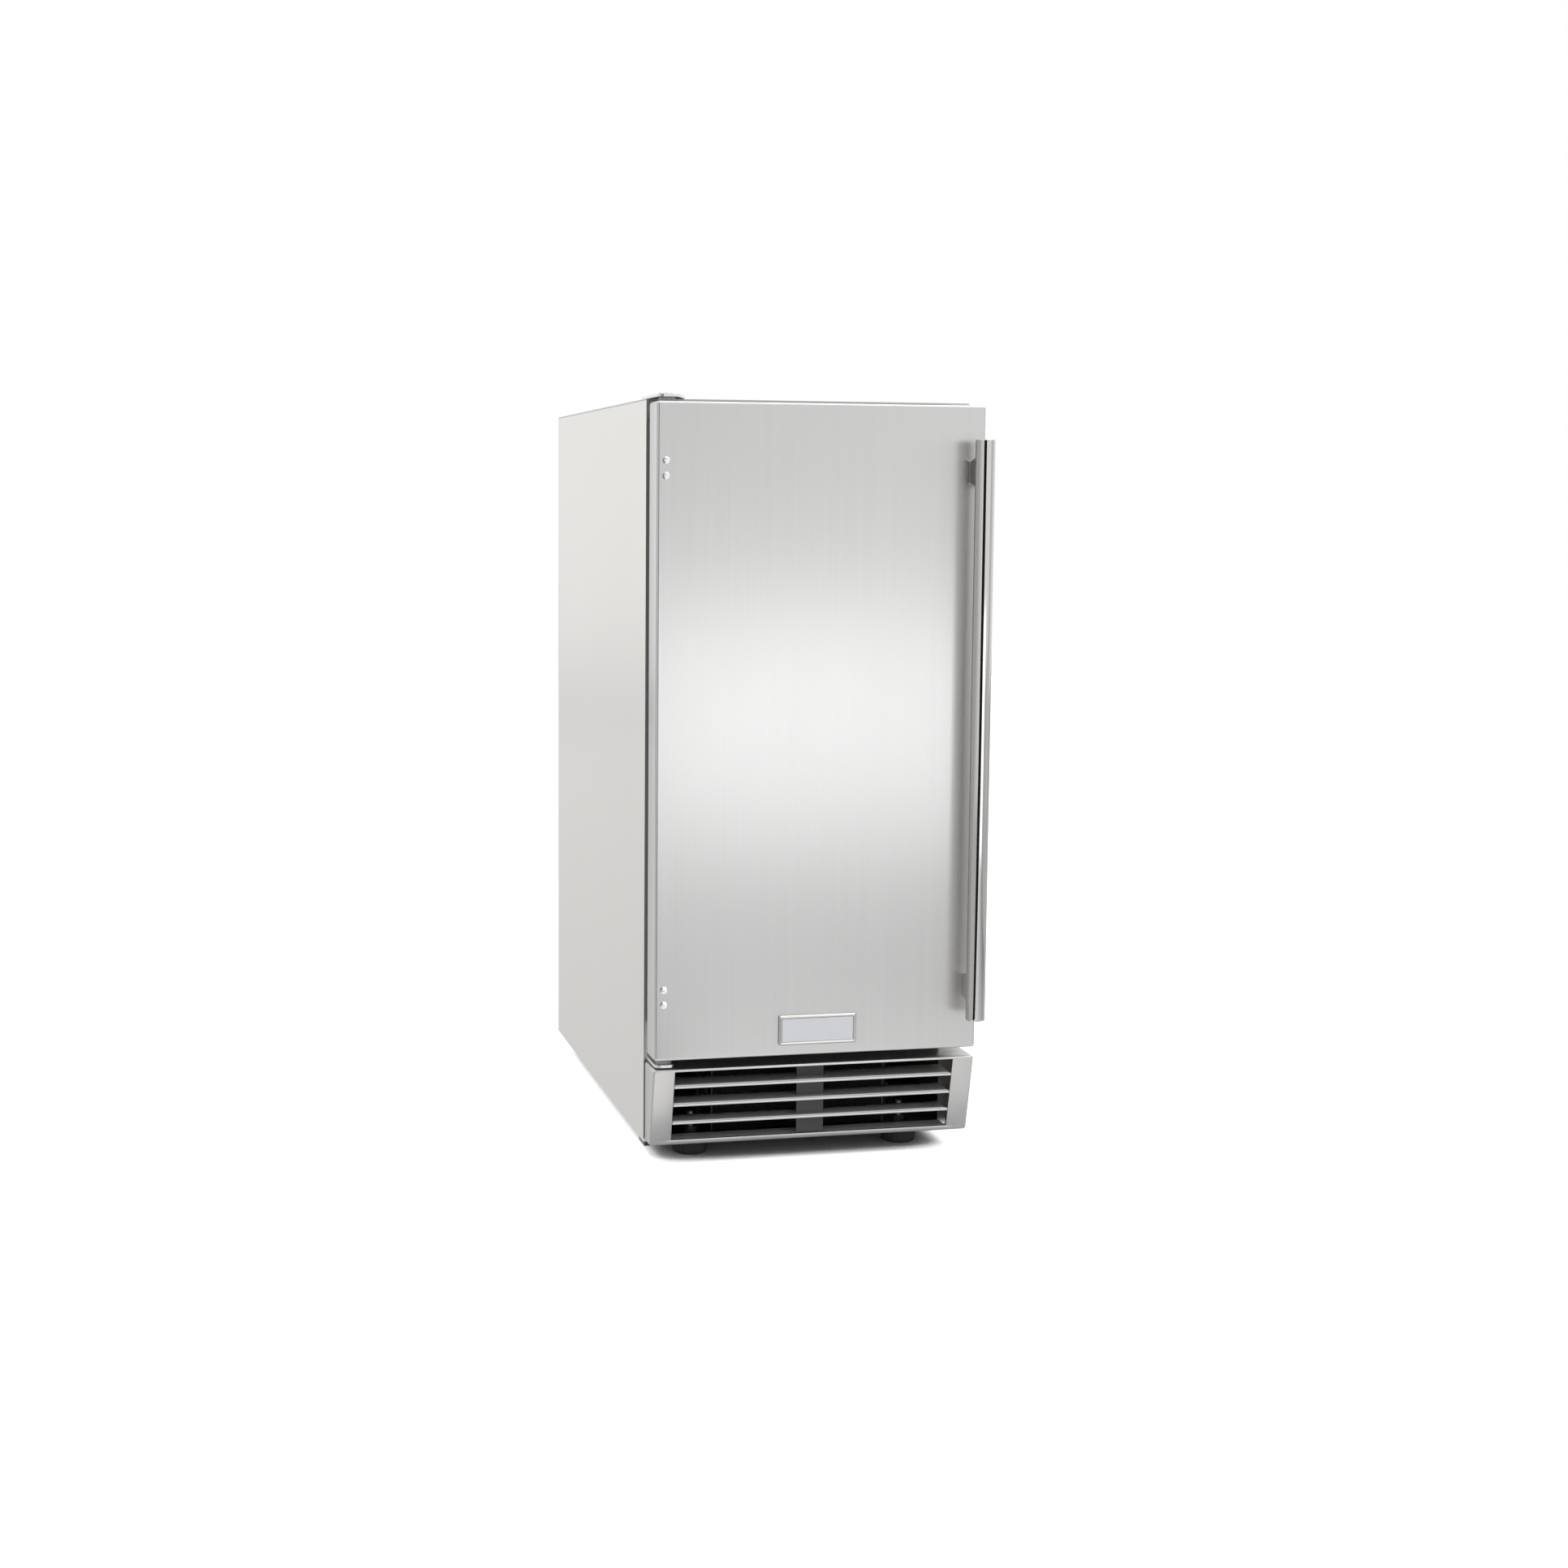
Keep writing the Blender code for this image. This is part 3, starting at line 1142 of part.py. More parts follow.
def make_water_distributor():
    """Make the channel on top of the plate, with its outlet holes and the curtain's ears."""
    half = EVAPORATOR_WIDTH / 2
    bottom = EVAPORATOR_TOP + SEAT
    channel = block(
        "water_distributor", (EVAPORATOR_X - half, DISTRIBUTOR_FRONT_Y, bottom),
        (EVAPORATOR_X + half, EVAPORATOR_REAR_Y, DISTRIBUTOR_TOP), WHITE_PLASTIC,
    )
    soften(channel, DISTRIBUTOR_EDGE, 1)
    ears = []
    for side in (-1, 1):
        inner = EVAPORATOR_X + side * (half - EAR_THICKNESS)
        ears.append(block(
            "ear", (inner, DISTRIBUTOR_FRONT_Y - EAR_REACH, DISTRIBUTOR_TOP - EAR_HEIGHT),
            (EVAPORATOR_X + side * half, DISTRIBUTOR_FRONT_Y + DISTRIBUTOR_LIP / 2, DISTRIBUTOR_TOP),
        ))
    fuse(channel, gather("ears", ears))
    pivot = ((EVAPORATOR_X - half - OVERRUN, CURTAIN_Y, CURTAIN_Z),
             (EVAPORATOR_X + half + OVERRUN, CURTAIN_Y, CURTAIN_Z))
    cut_rods(channel, "pivot", [pivot], CURTAIN_ROD_RADIUS + SEAT)
    y = EVAPORATOR_FRONT_Y - DISTRIBUTOR_LIP / 2
    inset = EAR_THICKNESS + COIL_INSET
    xs = spread(DISTRIBUTOR_HOLES, EVAPORATOR_X - half + inset, EVAPORATOR_X + half - inset)
    holes = [((x, y, bottom - OVERRUN), (x, y, bottom + DISTRIBUTOR_HEIGHT / 2)) for x in xs]
    return cut_rods(channel, "outlets", holes, DISTRIBUTOR_HOLE_RADIUS)


def make_water_curtain():
    """Make the swinging curtain: a ribbed sheet under its pivot rod."""
    half = EVAPORATOR_WIDTH / 2 - EAR_THICKNESS - SEAT
    curtain = block(
        "water_curtain", (EVAPORATOR_X - half, CURTAIN_Y - CURTAIN_THICKNESS / 2, CURTAIN_BOTTOM),
        (EVAPORATOR_X + half, CURTAIN_Y + CURTAIN_THICKNESS / 2, CURTAIN_Z), WHITE_PLASTIC,
    )
    reach = EVAPORATOR_WIDTH / 2
    fuse(curtain, rod(
        "curtain_rod", (EVAPORATOR_X - reach, CURTAIN_Y, CURTAIN_Z),
        (EVAPORATOR_X + reach, CURTAIN_Y, CURTAIN_Z), CURTAIN_ROD_RADIUS, steps=SMALL_STEPS,
    ))
    rib_top = CURTAIN_Z - 2 * CURTAIN_ROD_RADIUS
    ribs = []
    for x in spread(CURTAIN_RIBS, -half + CURTAIN_RIB_WIDTH, half - CURTAIN_RIB_WIDTH):
        ribs.append(block(
            "rib", (EVAPORATOR_X + x - CURTAIN_RIB_WIDTH / 2, CURTAIN_Y, CURTAIN_BOTTOM + OVERRUN),
            (EVAPORATOR_X + x + CURTAIN_RIB_WIDTH / 2,
             CURTAIN_Y - CURTAIN_THICKNESS / 2 - CURTAIN_RIB_HEIGHT, rib_top),
        ))
    return fuse(curtain, gather("ribs", ribs))


def make_water_trough():
    """Make the open trough under the plate, carried by two lugs on the rear wall."""
    trough = block(
        "water_trough", (-TROUGH_HALF, TROUGH_FRONT_Y, TROUGH_BOTTOM),
        (TROUGH_HALF, TROUGH_REAR_Y, TROUGH_TOP), WHITE_PLASTIC,
    )
    lugs = []
    for side in (-1, 1):
        x = side * (TROUGH_HALF - LUG_INSET)
        lugs.append(block(
            "lug", (x - LUG_WIDTH / 2, TROUGH_REAR_Y - TROUGH_WALL / 2, TROUGH_BOTTOM),
            (x + LUG_WIDTH / 2, BIN_REAR_Y - SEAT, TROUGH_TOP - TROUGH_WALL),
        ))
    fuse(trough, gather("lugs", lugs))
    cut_box(
        trough, "hollow",
        (-TROUGH_HALF + TROUGH_WALL, TROUGH_FRONT_Y + TROUGH_WALL, TROUGH_BOTTOM + TROUGH_WALL),
        (TROUGH_HALF - TROUGH_WALL, TROUGH_REAR_Y - TROUGH_WALL, TROUGH_TOP + OVERRUN),
    )
    x, z = INLET_TUBE_X, TROUGH_TOP - INLET_TUBE_DIP
    line = ((x, TROUGH_REAR_Y - TROUGH_WALL - OVERRUN, z), (x, TROUGH_REAR_Y + OVERRUN, z))
    return cut_rods(trough, "inlet", [line], INLET_TUBE_RADIUS + SEAT)


def make_pump_motor():
    """Make the pump's motor, its plate on the trough's rim, and the cup on three legs."""
    half = PUMP_PLATE_WIDTH / 2
    plate_top = PUMP_PLATE_BOTTOM + PUMP_PLATE
    pump = block(
        "pump_motor", (PUMP_X - half, TROUGH_FRONT_Y, PUMP_PLATE_BOTTOM),
        (PUMP_X + half, TROUGH_REAR_Y, plate_top), GREY_PLASTIC,
    )
    motor_top = PUMP_MOTOR_BOTTOM + PUMP_MOTOR_HEIGHT
    edge = PUMP_MOTOR_STANDOFF
    profile = [
        (0, motor_top), (PUMP_MOTOR_RADIUS - edge, motor_top), (PUMP_MOTOR_RADIUS, motor_top - edge),
        (PUMP_MOTOR_RADIUS, PUMP_MOTOR_BOTTOM), (PUMP_MOTOR_RADIUS / 2, PUMP_MOTOR_BOTTOM),
        (PUMP_MOTOR_RADIUS / 2, plate_top - PUMP_PLATE / 2), (0, plate_top - PUMP_PLATE / 2),
    ]
    fuse(pump, turned("pump_can", profile, (PUMP_X, TROUGH_MIDDLE_Y, 0), (0, 0, 1)))
    cup_inner = PUMP_CUP_RADIUS - PUMP_CUP_WALL
    shaft_hole = PUMP_SHAFT_RADIUS + SEAT
    roof = PUMP_CUP_TOP - PUMP_CUP_WALL
    ring = [
        (PUMP_CUP_RADIUS, PUMP_CUP_TOP), (PUMP_CUP_RADIUS, PUMP_CUP_BOTTOM),
        (cup_inner, PUMP_CUP_BOTTOM), (cup_inner, roof), (shaft_hole, roof),
        (shaft_hole, PUMP_CUP_TOP),
    ]
    fuse(pump, turned("cup", ring, (PUMP_X, TROUGH_MIDDLE_Y, 0), (0, 0, 1), ring=True))
    legs = []
    leg_circle = PUMP_CUP_RADIUS - PUMP_CUP_WALL
    for index in range(PUMP_LEGS):
        turn = 2 * math.pi * index / PUMP_LEGS
        x = PUMP_X + leg_circle * math.cos(turn)
        y = TROUGH_MIDDLE_Y + leg_circle * math.sin(turn)
        start, end = (x, y, roof + PUMP_CUP_WALL / 2), (x, y, PUMP_PLATE_BOTTOM + PUMP_PLATE / 2)
        legs.append(rod("leg", start, end, PUMP_LEG_RADIUS, steps=SMALL_STEPS))
    fuse(pump, gather("legs", legs))
    grip_top = PUMP_MOTOR_BOTTOM + PUMP_SHAFT_GRIP + SEAT
    bore = ((PUMP_X, TROUGH_MIDDLE_Y, PUMP_PLATE_BOTTOM - OVERRUN), (PUMP_X, TROUGH_MIDDLE_Y, grip_top))
    return cut_rods(pump, "shaft", [bore], shaft_hole)


def make_pump_impeller():
    """Make the impeller: a vaned disc on the end of the motor's shaft."""
    disc_top = PUMP_CUP_TOP - PUMP_CUP_WALL - IMPELLER_DISC
    disc_bottom = disc_top - IMPELLER_DISC
    vane_bottom = disc_bottom - IMPELLER_VANE_HEIGHT
    shaft_top = PUMP_MOTOR_BOTTOM + PUMP_SHAFT_GRIP
    profile = [
        (0, shaft_top), (PUMP_SHAFT_RADIUS, shaft_top), (PUMP_SHAFT_RADIUS, disc_top),
        (IMPELLER_RADIUS, disc_top), (IMPELLER_RADIUS, disc_bottom), (IMPELLER_HUB, disc_bottom),
        (IMPELLER_HUB, vane_bottom), (0, vane_bottom),
    ]
    axis = (PUMP_X, TROUGH_MIDDLE_Y, 0)
    impeller = turned("pump_impeller", profile, axis, (0, 0, 1), BLACK_PLASTIC)
    vanes = []
    for index in range(IMPELLER_VANES):
        turn = 2 * math.pi * index / IMPELLER_VANES
        vane = block(
            "vane", (IMPELLER_HUB / 2, -IMPELLER_VANE_WIDTH / 2, vane_bottom),
            (IMPELLER_RADIUS - IMPELLER_VANE_WIDTH, IMPELLER_VANE_WIDTH / 2, disc_top - IMPELLER_DISC / 2),
        )
        vane.location = (
            PUMP_X + vane.location.x * math.cos(turn),
            TROUGH_MIDDLE_Y + vane.location.x * math.sin(turn),
            vane.location.z,
        )
        vane.rotation_euler = (0, 0, turn)
        vanes.append(vane)
    return fuse(impeller, gather("vanes", vanes))


def make_pump_hose():
    """Bend the hose from the side of the pump's cup up to the end of the distributor."""
    low_z = (PUMP_CUP_BOTTOM + PUMP_CUP_TOP) / 2
    high_z = (EVAPORATOR_TOP + SEAT + DISTRIBUTOR_TOP) / 2
    y = TROUGH_MIDDLE_Y
    start_x = PUMP_X - PUMP_CUP_RADIUS - SEAT
    end_x = EVAPORATOR_X + EVAPORATOR_WIDTH / 2 + SEAT
    points = [(start_x, y, low_z), (HOSE_X, y, low_z), (HOSE_X, y, high_z), (end_x, y, high_z)]
    return tube("pump_hose", points, HOSE_RADIUS, 2 * HOSE_RADIUS, HOSE)


# Control panel, light and sensor

def button_places():
    """Return the name and x of each button."""
    names = ("power_button", "clean_button")
    return [(name, -BUTTON_FIRST + BUTTON_PITCH * index) for index, name in enumerate(names)]


def make_control_housing():
    """Make the control box under the bin's ceiling, with its button wells and recesses."""
    half = CONTROL_WIDTH / 2
    housing = block(
        "control_housing", (-half, CONTROL_FRONT_Y, CONTROL_BOTTOM),
        (half, CONTROL_FRONT_Y + CONTROL_DEPTH, CONTROL_TOP), BLACK_PLASTIC,
    )
    soften(housing, CONTROL_EDGE)
    well = BUTTON_LENGTH - BUTTON_PROUD + BUTTON_TRAVEL + BUTTON_SPARE
    lines = [
        ((x, CONTROL_FRONT_Y - OVERRUN, CONTROL_MIDDLE), (x, CONTROL_FRONT_Y + well, CONTROL_MIDDLE))
        for _, x in button_places()
    ]
    cut_rods(housing, "wells", lines, BUTTON_RADIUS + SEAT, ROUND_STEPS)
    wide, tall = WINDOW_WIDTH / 2, WINDOW_HEIGHT / 2
    return cut_box(
        housing, "window", (WINDOW_SHIFT - wide, CONTROL_FRONT_Y - OVERRUN, CONTROL_MIDDLE - tall),
        (WINDOW_SHIFT + wide, CONTROL_FRONT_Y + WINDOW_DEPTH, CONTROL_MIDDLE + tall),
    )


def make_button(name, x):
    """Make one push button in its well."""
    front = CONTROL_FRONT_Y - BUTTON_PROUD
    button = rod(
        name, (x, front, CONTROL_MIDDLE), (x, front + BUTTON_LENGTH, CONTROL_MIDDLE),
        BUTTON_RADIUS, GREY_PLASTIC,
    )
    return soften(button, BUTTON_PROUD / 4, 1)


def make_bin_sensor():
    """Bend the ice-level bulb, which stands off the right wall at both ends."""
    wall = MOUTH_HALF_WIDTH - SEAT
    out = MOUTH_HALF_WIDTH - SENSOR_STANDOFF
    near = FRONT + SENSOR_DEPTH
    z = BIN_FLOOR + SENSOR_RISE
    points = [
        (wall, near, z), (out, near, z), (out, near + SENSOR_LENGTH, z), (wall, near + SENSOR_LENGTH, z),
    ]
    return tube("bin_sensor", points, SENSOR_RADIUS, SENSOR_BEND, COPPER)


# Drain

def drain_outlet_height(y):
    """Return the height of the drain hose's middle at a given y on its fall to the rear."""
    start = DRAIN_TIP - DRAIN_KNEE
    share = (y - DRAIN_Y) / (SERVICE_Y - DRAIN_Y)
    return start - DRAIN_FALL * share


def make_drain_fitting():
    """Turn the bin's drain, a strainer flange with a tail through the floor."""
    top = BIN_FLOOR + SEAT + DRAIN_FLANGE
    profile = [
        (0, top), (DRAIN_FLANGE_RADIUS - DRAIN_FLANGE, top),
        (DRAIN_FLANGE_RADIUS, top - DRAIN_FLANGE / 2), (DRAIN_FLANGE_RADIUS, BIN_FLOOR + SEAT),
        (DRAIN_RADIUS, BIN_FLOOR + SEAT), (DRAIN_RADIUS, DRAIN_TIP), (0, DRAIN_TIP),
    ]
    return turned("drain_fitting", profile, (DRAIN_X, DRAIN_Y, 0), (0, 0, 1), GREY_PLASTIC)


def make_drain_hose():
    """Bend the drain hose that falls from the fitting to the rear outlet."""
    end_y = SERVICE_Y + DRAIN_OUTLET
    points = [
        (DRAIN_X, DRAIN_Y, DRAIN_TIP - SEAT),
        (DRAIN_X, DRAIN_Y, drain_outlet_height(DRAIN_Y)),
        (DRAIN_X, SERVICE_Y - OVERRUN, drain_outlet_height(SERVICE_Y)),
        (DRAIN_X, end_y, drain_outlet_height(SERVICE_Y)),
    ]
    return tube("drain_hose", points, DRAIN_RADIUS, DRAIN_BEND, HOSE, resolution=2)


# Machine compartment

def make_condenser():
    """Make the condenser: a core with upright fins on both faces."""
    core_near = (CONDENSER_DEPTH - CONDENSER_CORE) / 2
    core_far = core_near + CONDENSER_CORE
    gap = (2 * CONDENSER_HALF_WIDTH - FIN_THICKNESS) / (CONDENSER_FINS - 1)
    near, far = [], []
    for index in range(CONDENSER_FINS):
        left = -CONDENSER_HALF_WIDTH + gap * index
        right = left + FIN_THICKNESS
        near += [(left, core_near), (left, 0), (right, 0), (right, core_near)]
        far += [(left, core_far), (left, CONDENSER_DEPTH), (right, CONDENSER_DEPTH), (right, core_far)]
    loop = [(x, CONDENSER_FRONT_Y + y) for x, y in near[1:-1] + list(reversed(far[1:-1]))]
    return outline("condenser_coil", [loop], "Z", CONDENSER_BOTTOM, CONDENSER_TOP, ALUMINIUM)


def make_fan_shroud():
    """Make the duct behind the condenser, with a round mouth for the fan."""
    half = CONDENSER_HALF_WIDTH
    shroud = block(
        "fan_shroud", (-half, SHROUD_FRONT_Y, CONDENSER_BOTTOM), (half, SHROUD_REAR_Y, CONDENSER_TOP),
        BLACK_PLASTIC,
    )
    cut_box(
        shroud, "duct", (-half + SHROUD_WALL, SHROUD_FRONT_Y - OVERRUN, CONDENSER_BOTTOM + SHROUD_WALL),
        (half - SHROUD_WALL, SHROUD_REAR_Y - SHROUD_WALL, CONDENSER_TOP - SHROUD_WALL),
    )
    mouth = FAN_RADIUS + FAN_TIP_GAP
    ring_near = SHROUD_REAR_Y - SHROUD_WALL / 2
    fuse(shroud, rod(
        "mouth_ring", (0, ring_near, FAN_Z), (0, SHROUD_REAR_Y + SHROUD_RING, FAN_Z),
        mouth + SHROUD_WALL, steps=FINE_STEPS,
    ))
    hole = ((0, ring_near - OVERRUN, FAN_Z), (0, SHROUD_REAR_Y + SHROUD_RING + OVERRUN, FAN_Z))
    return cut_rods(shroud, "mouth", [hole], mouth, FINE_STEPS)


def make_fan_motor():
    """Make the fan's motor and the strap that holds it behind the shroud."""
    near = SHROUD_REAR_Y + SEAT
    far = FAN_STRAP_Y + FAN_STRAP_THICKNESS
    bottom, top = CONDENSER_BOTTOM + SEAT, CONDENSER_TOP - SEAT
    thick = FAN_STRAP_THICKNESS
    loop = [
        (near, bottom), (far, bottom), (far, top), (near, top), (near, top - thick),
        (FAN_STRAP_Y, top - thick), (FAN_STRAP_Y, bottom + thick), (near, bottom + thick),
    ]
    motor = outline("fan_motor", [loop], "X", -FAN_STRAP_WIDTH / 2, FAN_STRAP_WIDTH / 2, ZINC)
    start = (0, FAN_STRAP_Y + thick / 2, FAN_Z)
    end = (0, FAN_STRAP_Y + thick + FAN_MOTOR_LENGTH, FAN_Z)
    can = rod("motor_can", start, end, FAN_MOTOR_RADIUS)
    fuse(motor, soften(can, FAN_STRAP_THICKNESS / 2, 1))
    shaft_end = FAN_Y + FAN_HUB_DEPTH + FAN_SHAFT_LENGTH + SEAT
    line = ((0, FAN_STRAP_Y - OVERRUN, FAN_Z), (0, shaft_end, FAN_Z))
    return cut_rods(motor, "shaft", [line], FAN_SHAFT_RADIUS + SEAT)


def make_fan_blade():
    """Make the fan: a hub, its shaft and the pitched blades."""
    hub = FAN_HUB_RADIUS
    tail = FAN_HUB_DEPTH + FAN_SHAFT_LENGTH
    profile = [
        (0, tail), (FAN_SHAFT_RADIUS, tail), (FAN_SHAFT_RADIUS, FAN_HUB_DEPTH), (hub, FAN_HUB_DEPTH),
        (hub, FAN_BLADE_THICKNESS), (hub - FAN_BLADE_THICKNESS, 0), (0, 0),
    ]
    fan = turned("fan_blade", profile, (0, FAN_Y, FAN_Z), (0, 1, 0), BLACK_PLASTIC)
    root, tip = hub - FAN_SHAFT_RADIUS, FAN_RADIUS
    blades = []
    for index in range(FAN_BLADES):
        loop = rounded(
            [(-FAN_ROOT_WIDTH / 2, root), (FAN_ROOT_WIDTH / 2, root), (FAN_TIP_WIDTH / 2, tip),
             (-FAN_TIP_WIDTH / 2, tip)],
            FAN_ROOT_WIDTH / 2, only=(2, 3),
        )
        flat = [(x, z) for x, z, _ in loop]
        blade = outline("blade", [flat], "Y", -FAN_BLADE_THICKNESS / 2, FAN_BLADE_THICKNESS / 2)
        pitch = Matrix.Rotation(math.radians(FAN_PITCH), 4, "Z")
        turn = Matrix.Rotation(2 * math.pi * index / FAN_BLADES, 4, "Y")
        blade.matrix_world = turn @ pitch @ blade.matrix_world.to_3x3().to_4x4()
        blade.location = (0, FAN_Y + FAN_HUB_DEPTH / 2, FAN_Z)
        blades.append(blade)
    return fuse(fan, gather("blades", blades))


def make_compressor():
    """Make the welded compressor shell with its foot plate, on its four rubber mounts."""
    plate_top = COMPRESSOR_PLATE_BOTTOM + COMPRESSOR_PLATE
    shell_bottom = plate_top - COMPRESSOR_PLATE / 2
    waist = SHELL_WAIST_SHARE
    profile_shares = ((0, 1), (0.45, 0.985), (0.78, 0.92), (0.95, 0.80), (1, 0.64), (1, 0.56),
                      (waist, 0.54), (waist, 0.16), (0.86, 0.05), (0.6, 0), (0, 0))
    profile = [(COMPRESSOR_RADIUS * across, shell_bottom + COMPRESSOR_HEIGHT * up)
               for across, up in profile_shares]
    shell = turned("compressor", profile, (COMPRESSOR_X, COMPRESSOR_Y, 0), (0, 0, 1), BLACK_STEEL)
    half = COMPRESSOR_PLATE_HALF
    fuse(shell, block(
        "foot_plate", (COMPRESSOR_X - half, COMPRESSOR_Y - half, COMPRESSOR_PLATE_BOTTOM),
        (COMPRESSOR_X + half, COMPRESSOR_Y + half, plate_top),
    ))
    reach = half - GROMMET_INSET
    bottom = BASE_TOP + SEAT
    third = GROMMET_HEIGHT / 3
    groove = COMPRESSOR_PLATE_BOTTOM - third - GROMMET_GROOVE
    mount = [
        (0, shell_bottom), (GROMMET_RADIUS, shell_bottom),
        (GROMMET_RADIUS, COMPRESSOR_PLATE_BOTTOM - third), (GROMMET_RADIUS - GROMMET_GROOVE, groove),
        (GROMMET_RADIUS, bottom + third), (GROMMET_RADIUS, bottom), (0, bottom),
    ]
    mounts = [
        turned("mount", mount, (COMPRESSOR_X + x, COMPRESSOR_Y + y, 0), (0, 0, 1), steps=SMALL_STEPS)
        for x in (-reach, reach) for y in (-reach, reach)
    ]
    return fuse(shell, gather("mounts", mounts))


def pipe(name, points, material=None):
    """Bend one refrigerant pipe."""
    return tube(name, points, PIPE_RADIUS, PIPE_BEND, material)


def make_filter_drier():
    """Turn the filter drier, with the liquid line from the condenser brazed to it."""
    length = DRIER_LENGTH
    profile = [
        (0, length), (DRIER_NECK, length), (DRIER_RADIUS, length - DRIER_SHOULDER),
        (DRIER_RADIUS, DRIER_SHOULDER), (DRIER_NECK, 0), (0, 0),
    ]
    place = (DRIER_X, DRIER_Y, LIQUID_Z)
    drier = turned("filter_drier", profile, place, (0, 1, 0), COPPER, SMALL_STEPS)
    return fuse(drier, pipe("liquid_line", [
        (CONDENSER_HALF_WIDTH + SEAT, CONDENSER_MIDDLE_Y, LIQUID_Z),
        (DRIER_X, CONDENSER_MIDDLE_Y, LIQUID_Z), (DRIER_X, DRIER_Y + DRIER_SHOULDER, LIQUID_Z),
    ]))


def make_discharge_tube():
    """Bend the pipe from the compressor to the condenser, with the branch to the hot-gas valve."""
    shell_front = COMPRESSOR_Y - COMPRESSOR_RADIUS * SHELL_WAIST_SHARE - SEAT
    branch_x = VALVE_X - VALVE_BRANCH
    tube_piece = pipe("discharge_tube", [
        (COMPRESSOR_X, shell_front, DISCHARGE_Z), (COMPRESSOR_X, DISCHARGE_LANE_Y, DISCHARGE_Z),
        (-DRIER_X, DISCHARGE_LANE_Y, DISCHARGE_Z), (-DRIER_X, CONDENSER_MIDDLE_Y, DISCHARGE_Z),
        (-CONDENSER_HALF_WIDTH - SEAT, CONDENSER_MIDDLE_Y, DISCHARGE_Z),
    ], COPPER)
    branch_y = (shell_front + DISCHARGE_LANE_Y) / 2
    return fuse(tube_piece, pipe("hot_gas_branch", [
        (COMPRESSOR_X, branch_y, DISCHARGE_Z), (COMPRESSOR_X, branch_y, FEED_Z),
        (branch_x, branch_y, FEED_Z), (branch_x, VALVE_Y, FEED_Z), (VALVE_X - SEAT, VALVE_Y, FEED_Z),
    ]))


def make_feed_tube():
    """Bend the pipe from the drier to the top of the coil, joined by the hot-gas valve's outlet."""
    drier_far = DRIER_Y + DRIER_LENGTH + SEAT
    tube_piece = pipe("feed_tube", [
        (DRIER_X, drier_far, LIQUID_Z), (DRIER_X, FEED_LANE_Y, LIQUID_Z),
        (DRIER_X, FEED_LANE_Y, FEED_Z), (FEED_X, FEED_LANE_Y, FEED_Z), (FEED_X, COIL_Y, FEED_Z),
        (FEED_X, COIL_Y, COIL_TOP),
        (COIL_END_X + SEAT, COIL_Y, COIL_TOP),
    ], COPPER)
    mouth = VALVE_X + VALVE_LENGTH + SEAT
    return fuse(tube_piece, pipe("valve_outlet", [(mouth, VALVE_Y, FEED_Z), (FEED_X, VALVE_Y, FEED_Z)]))


def make_suction_tube():
    """Bend the pipe from the bottom of the coil back to the compressor."""
    shell_rear = COMPRESSOR_Y + COMPRESSOR_RADIUS * SHELL_WAIST_SHARE + SEAT
    low_z, cross_z = CAB_BOTTOM + SUCTION_RISE, STEP_FOAM_BOTTOM - SUCTION_CROSS_GAP
    return pipe("suction_tube", [
        (COMPRESSOR_X, shell_rear, low_z), (COMPRESSOR_X, COIL_Y, low_z),
        (COMPRESSOR_X, COIL_Y, cross_z), (SUCTION_X, COIL_Y, cross_z), (SUCTION_X, COIL_Y, COIL_BOTTOM),
        (COIL_END_X + SEAT, COIL_Y, COIL_BOTTOM),
    ], COPPER)


def make_hot_gas_valve():
    """Make the hot-gas valve: a brass body with its coil."""
    y, z = VALVE_Y, FEED_Z
    valve = rod(
        "hot_gas_valve", (VALVE_X, y, z), (VALVE_X + VALVE_LENGTH, y, z), VALVE_RADIUS, BRASS,
        SMALL_STEPS,
    )
    middle = VALVE_X + VALVE_LENGTH / 2
    half = VALVE_COIL / 2
    coil = block(
        "valve_coil", (middle - half, y - half, z - VALVE_COIL_HEIGHT - VALVE_RADIUS / 2),
        (middle + half, y + half, z - VALVE_RADIUS / 2),
    )
    return fuse(valve, coil)


def make_water_inlet_valve():
    """Make the water valve on the service cover, with the threaded tail that passes through it."""
    half = INLET_BODY / 2
    front = SERVICE_Y - SEAT - INLET_BODY_DEPTH
    valve = block(
        "water_inlet_valve", (INLET_X - half, front, INLET_Z - half),
        (INLET_X + half, SERVICE_Y - SEAT, INLET_Z + half), GREY_PLASTIC,
    )
    soften(valve, BOX_EDGE, 1)
    middle_y = front + INLET_BODY_DEPTH / 2
    fuse(valve, rod(
        "inlet_coil", (INLET_X, middle_y, INLET_Z + half / 2),
        (INLET_X, middle_y, INLET_Z + half + INLET_COIL_HEIGHT), INLET_COIL_RADIUS,
    ))
    fuse(valve, rod(
        "inlet_thread", (INLET_X, middle_y, INLET_Z),
        (INLET_X, SERVICE_Y + INLET_THREAD_REACH, INLET_Z), INLET_THREAD_RADIUS,
    ))
    nut_near = SERVICE_Y + SHEET + SEAT
    return fuse(valve, rod(
        "inlet_nut", (INLET_X, nut_near, INLET_Z), (INLET_X, nut_near + INLET_NUT_DEPTH, INLET_Z),
        INLET_NUT_RADIUS, steps=6,
    ))


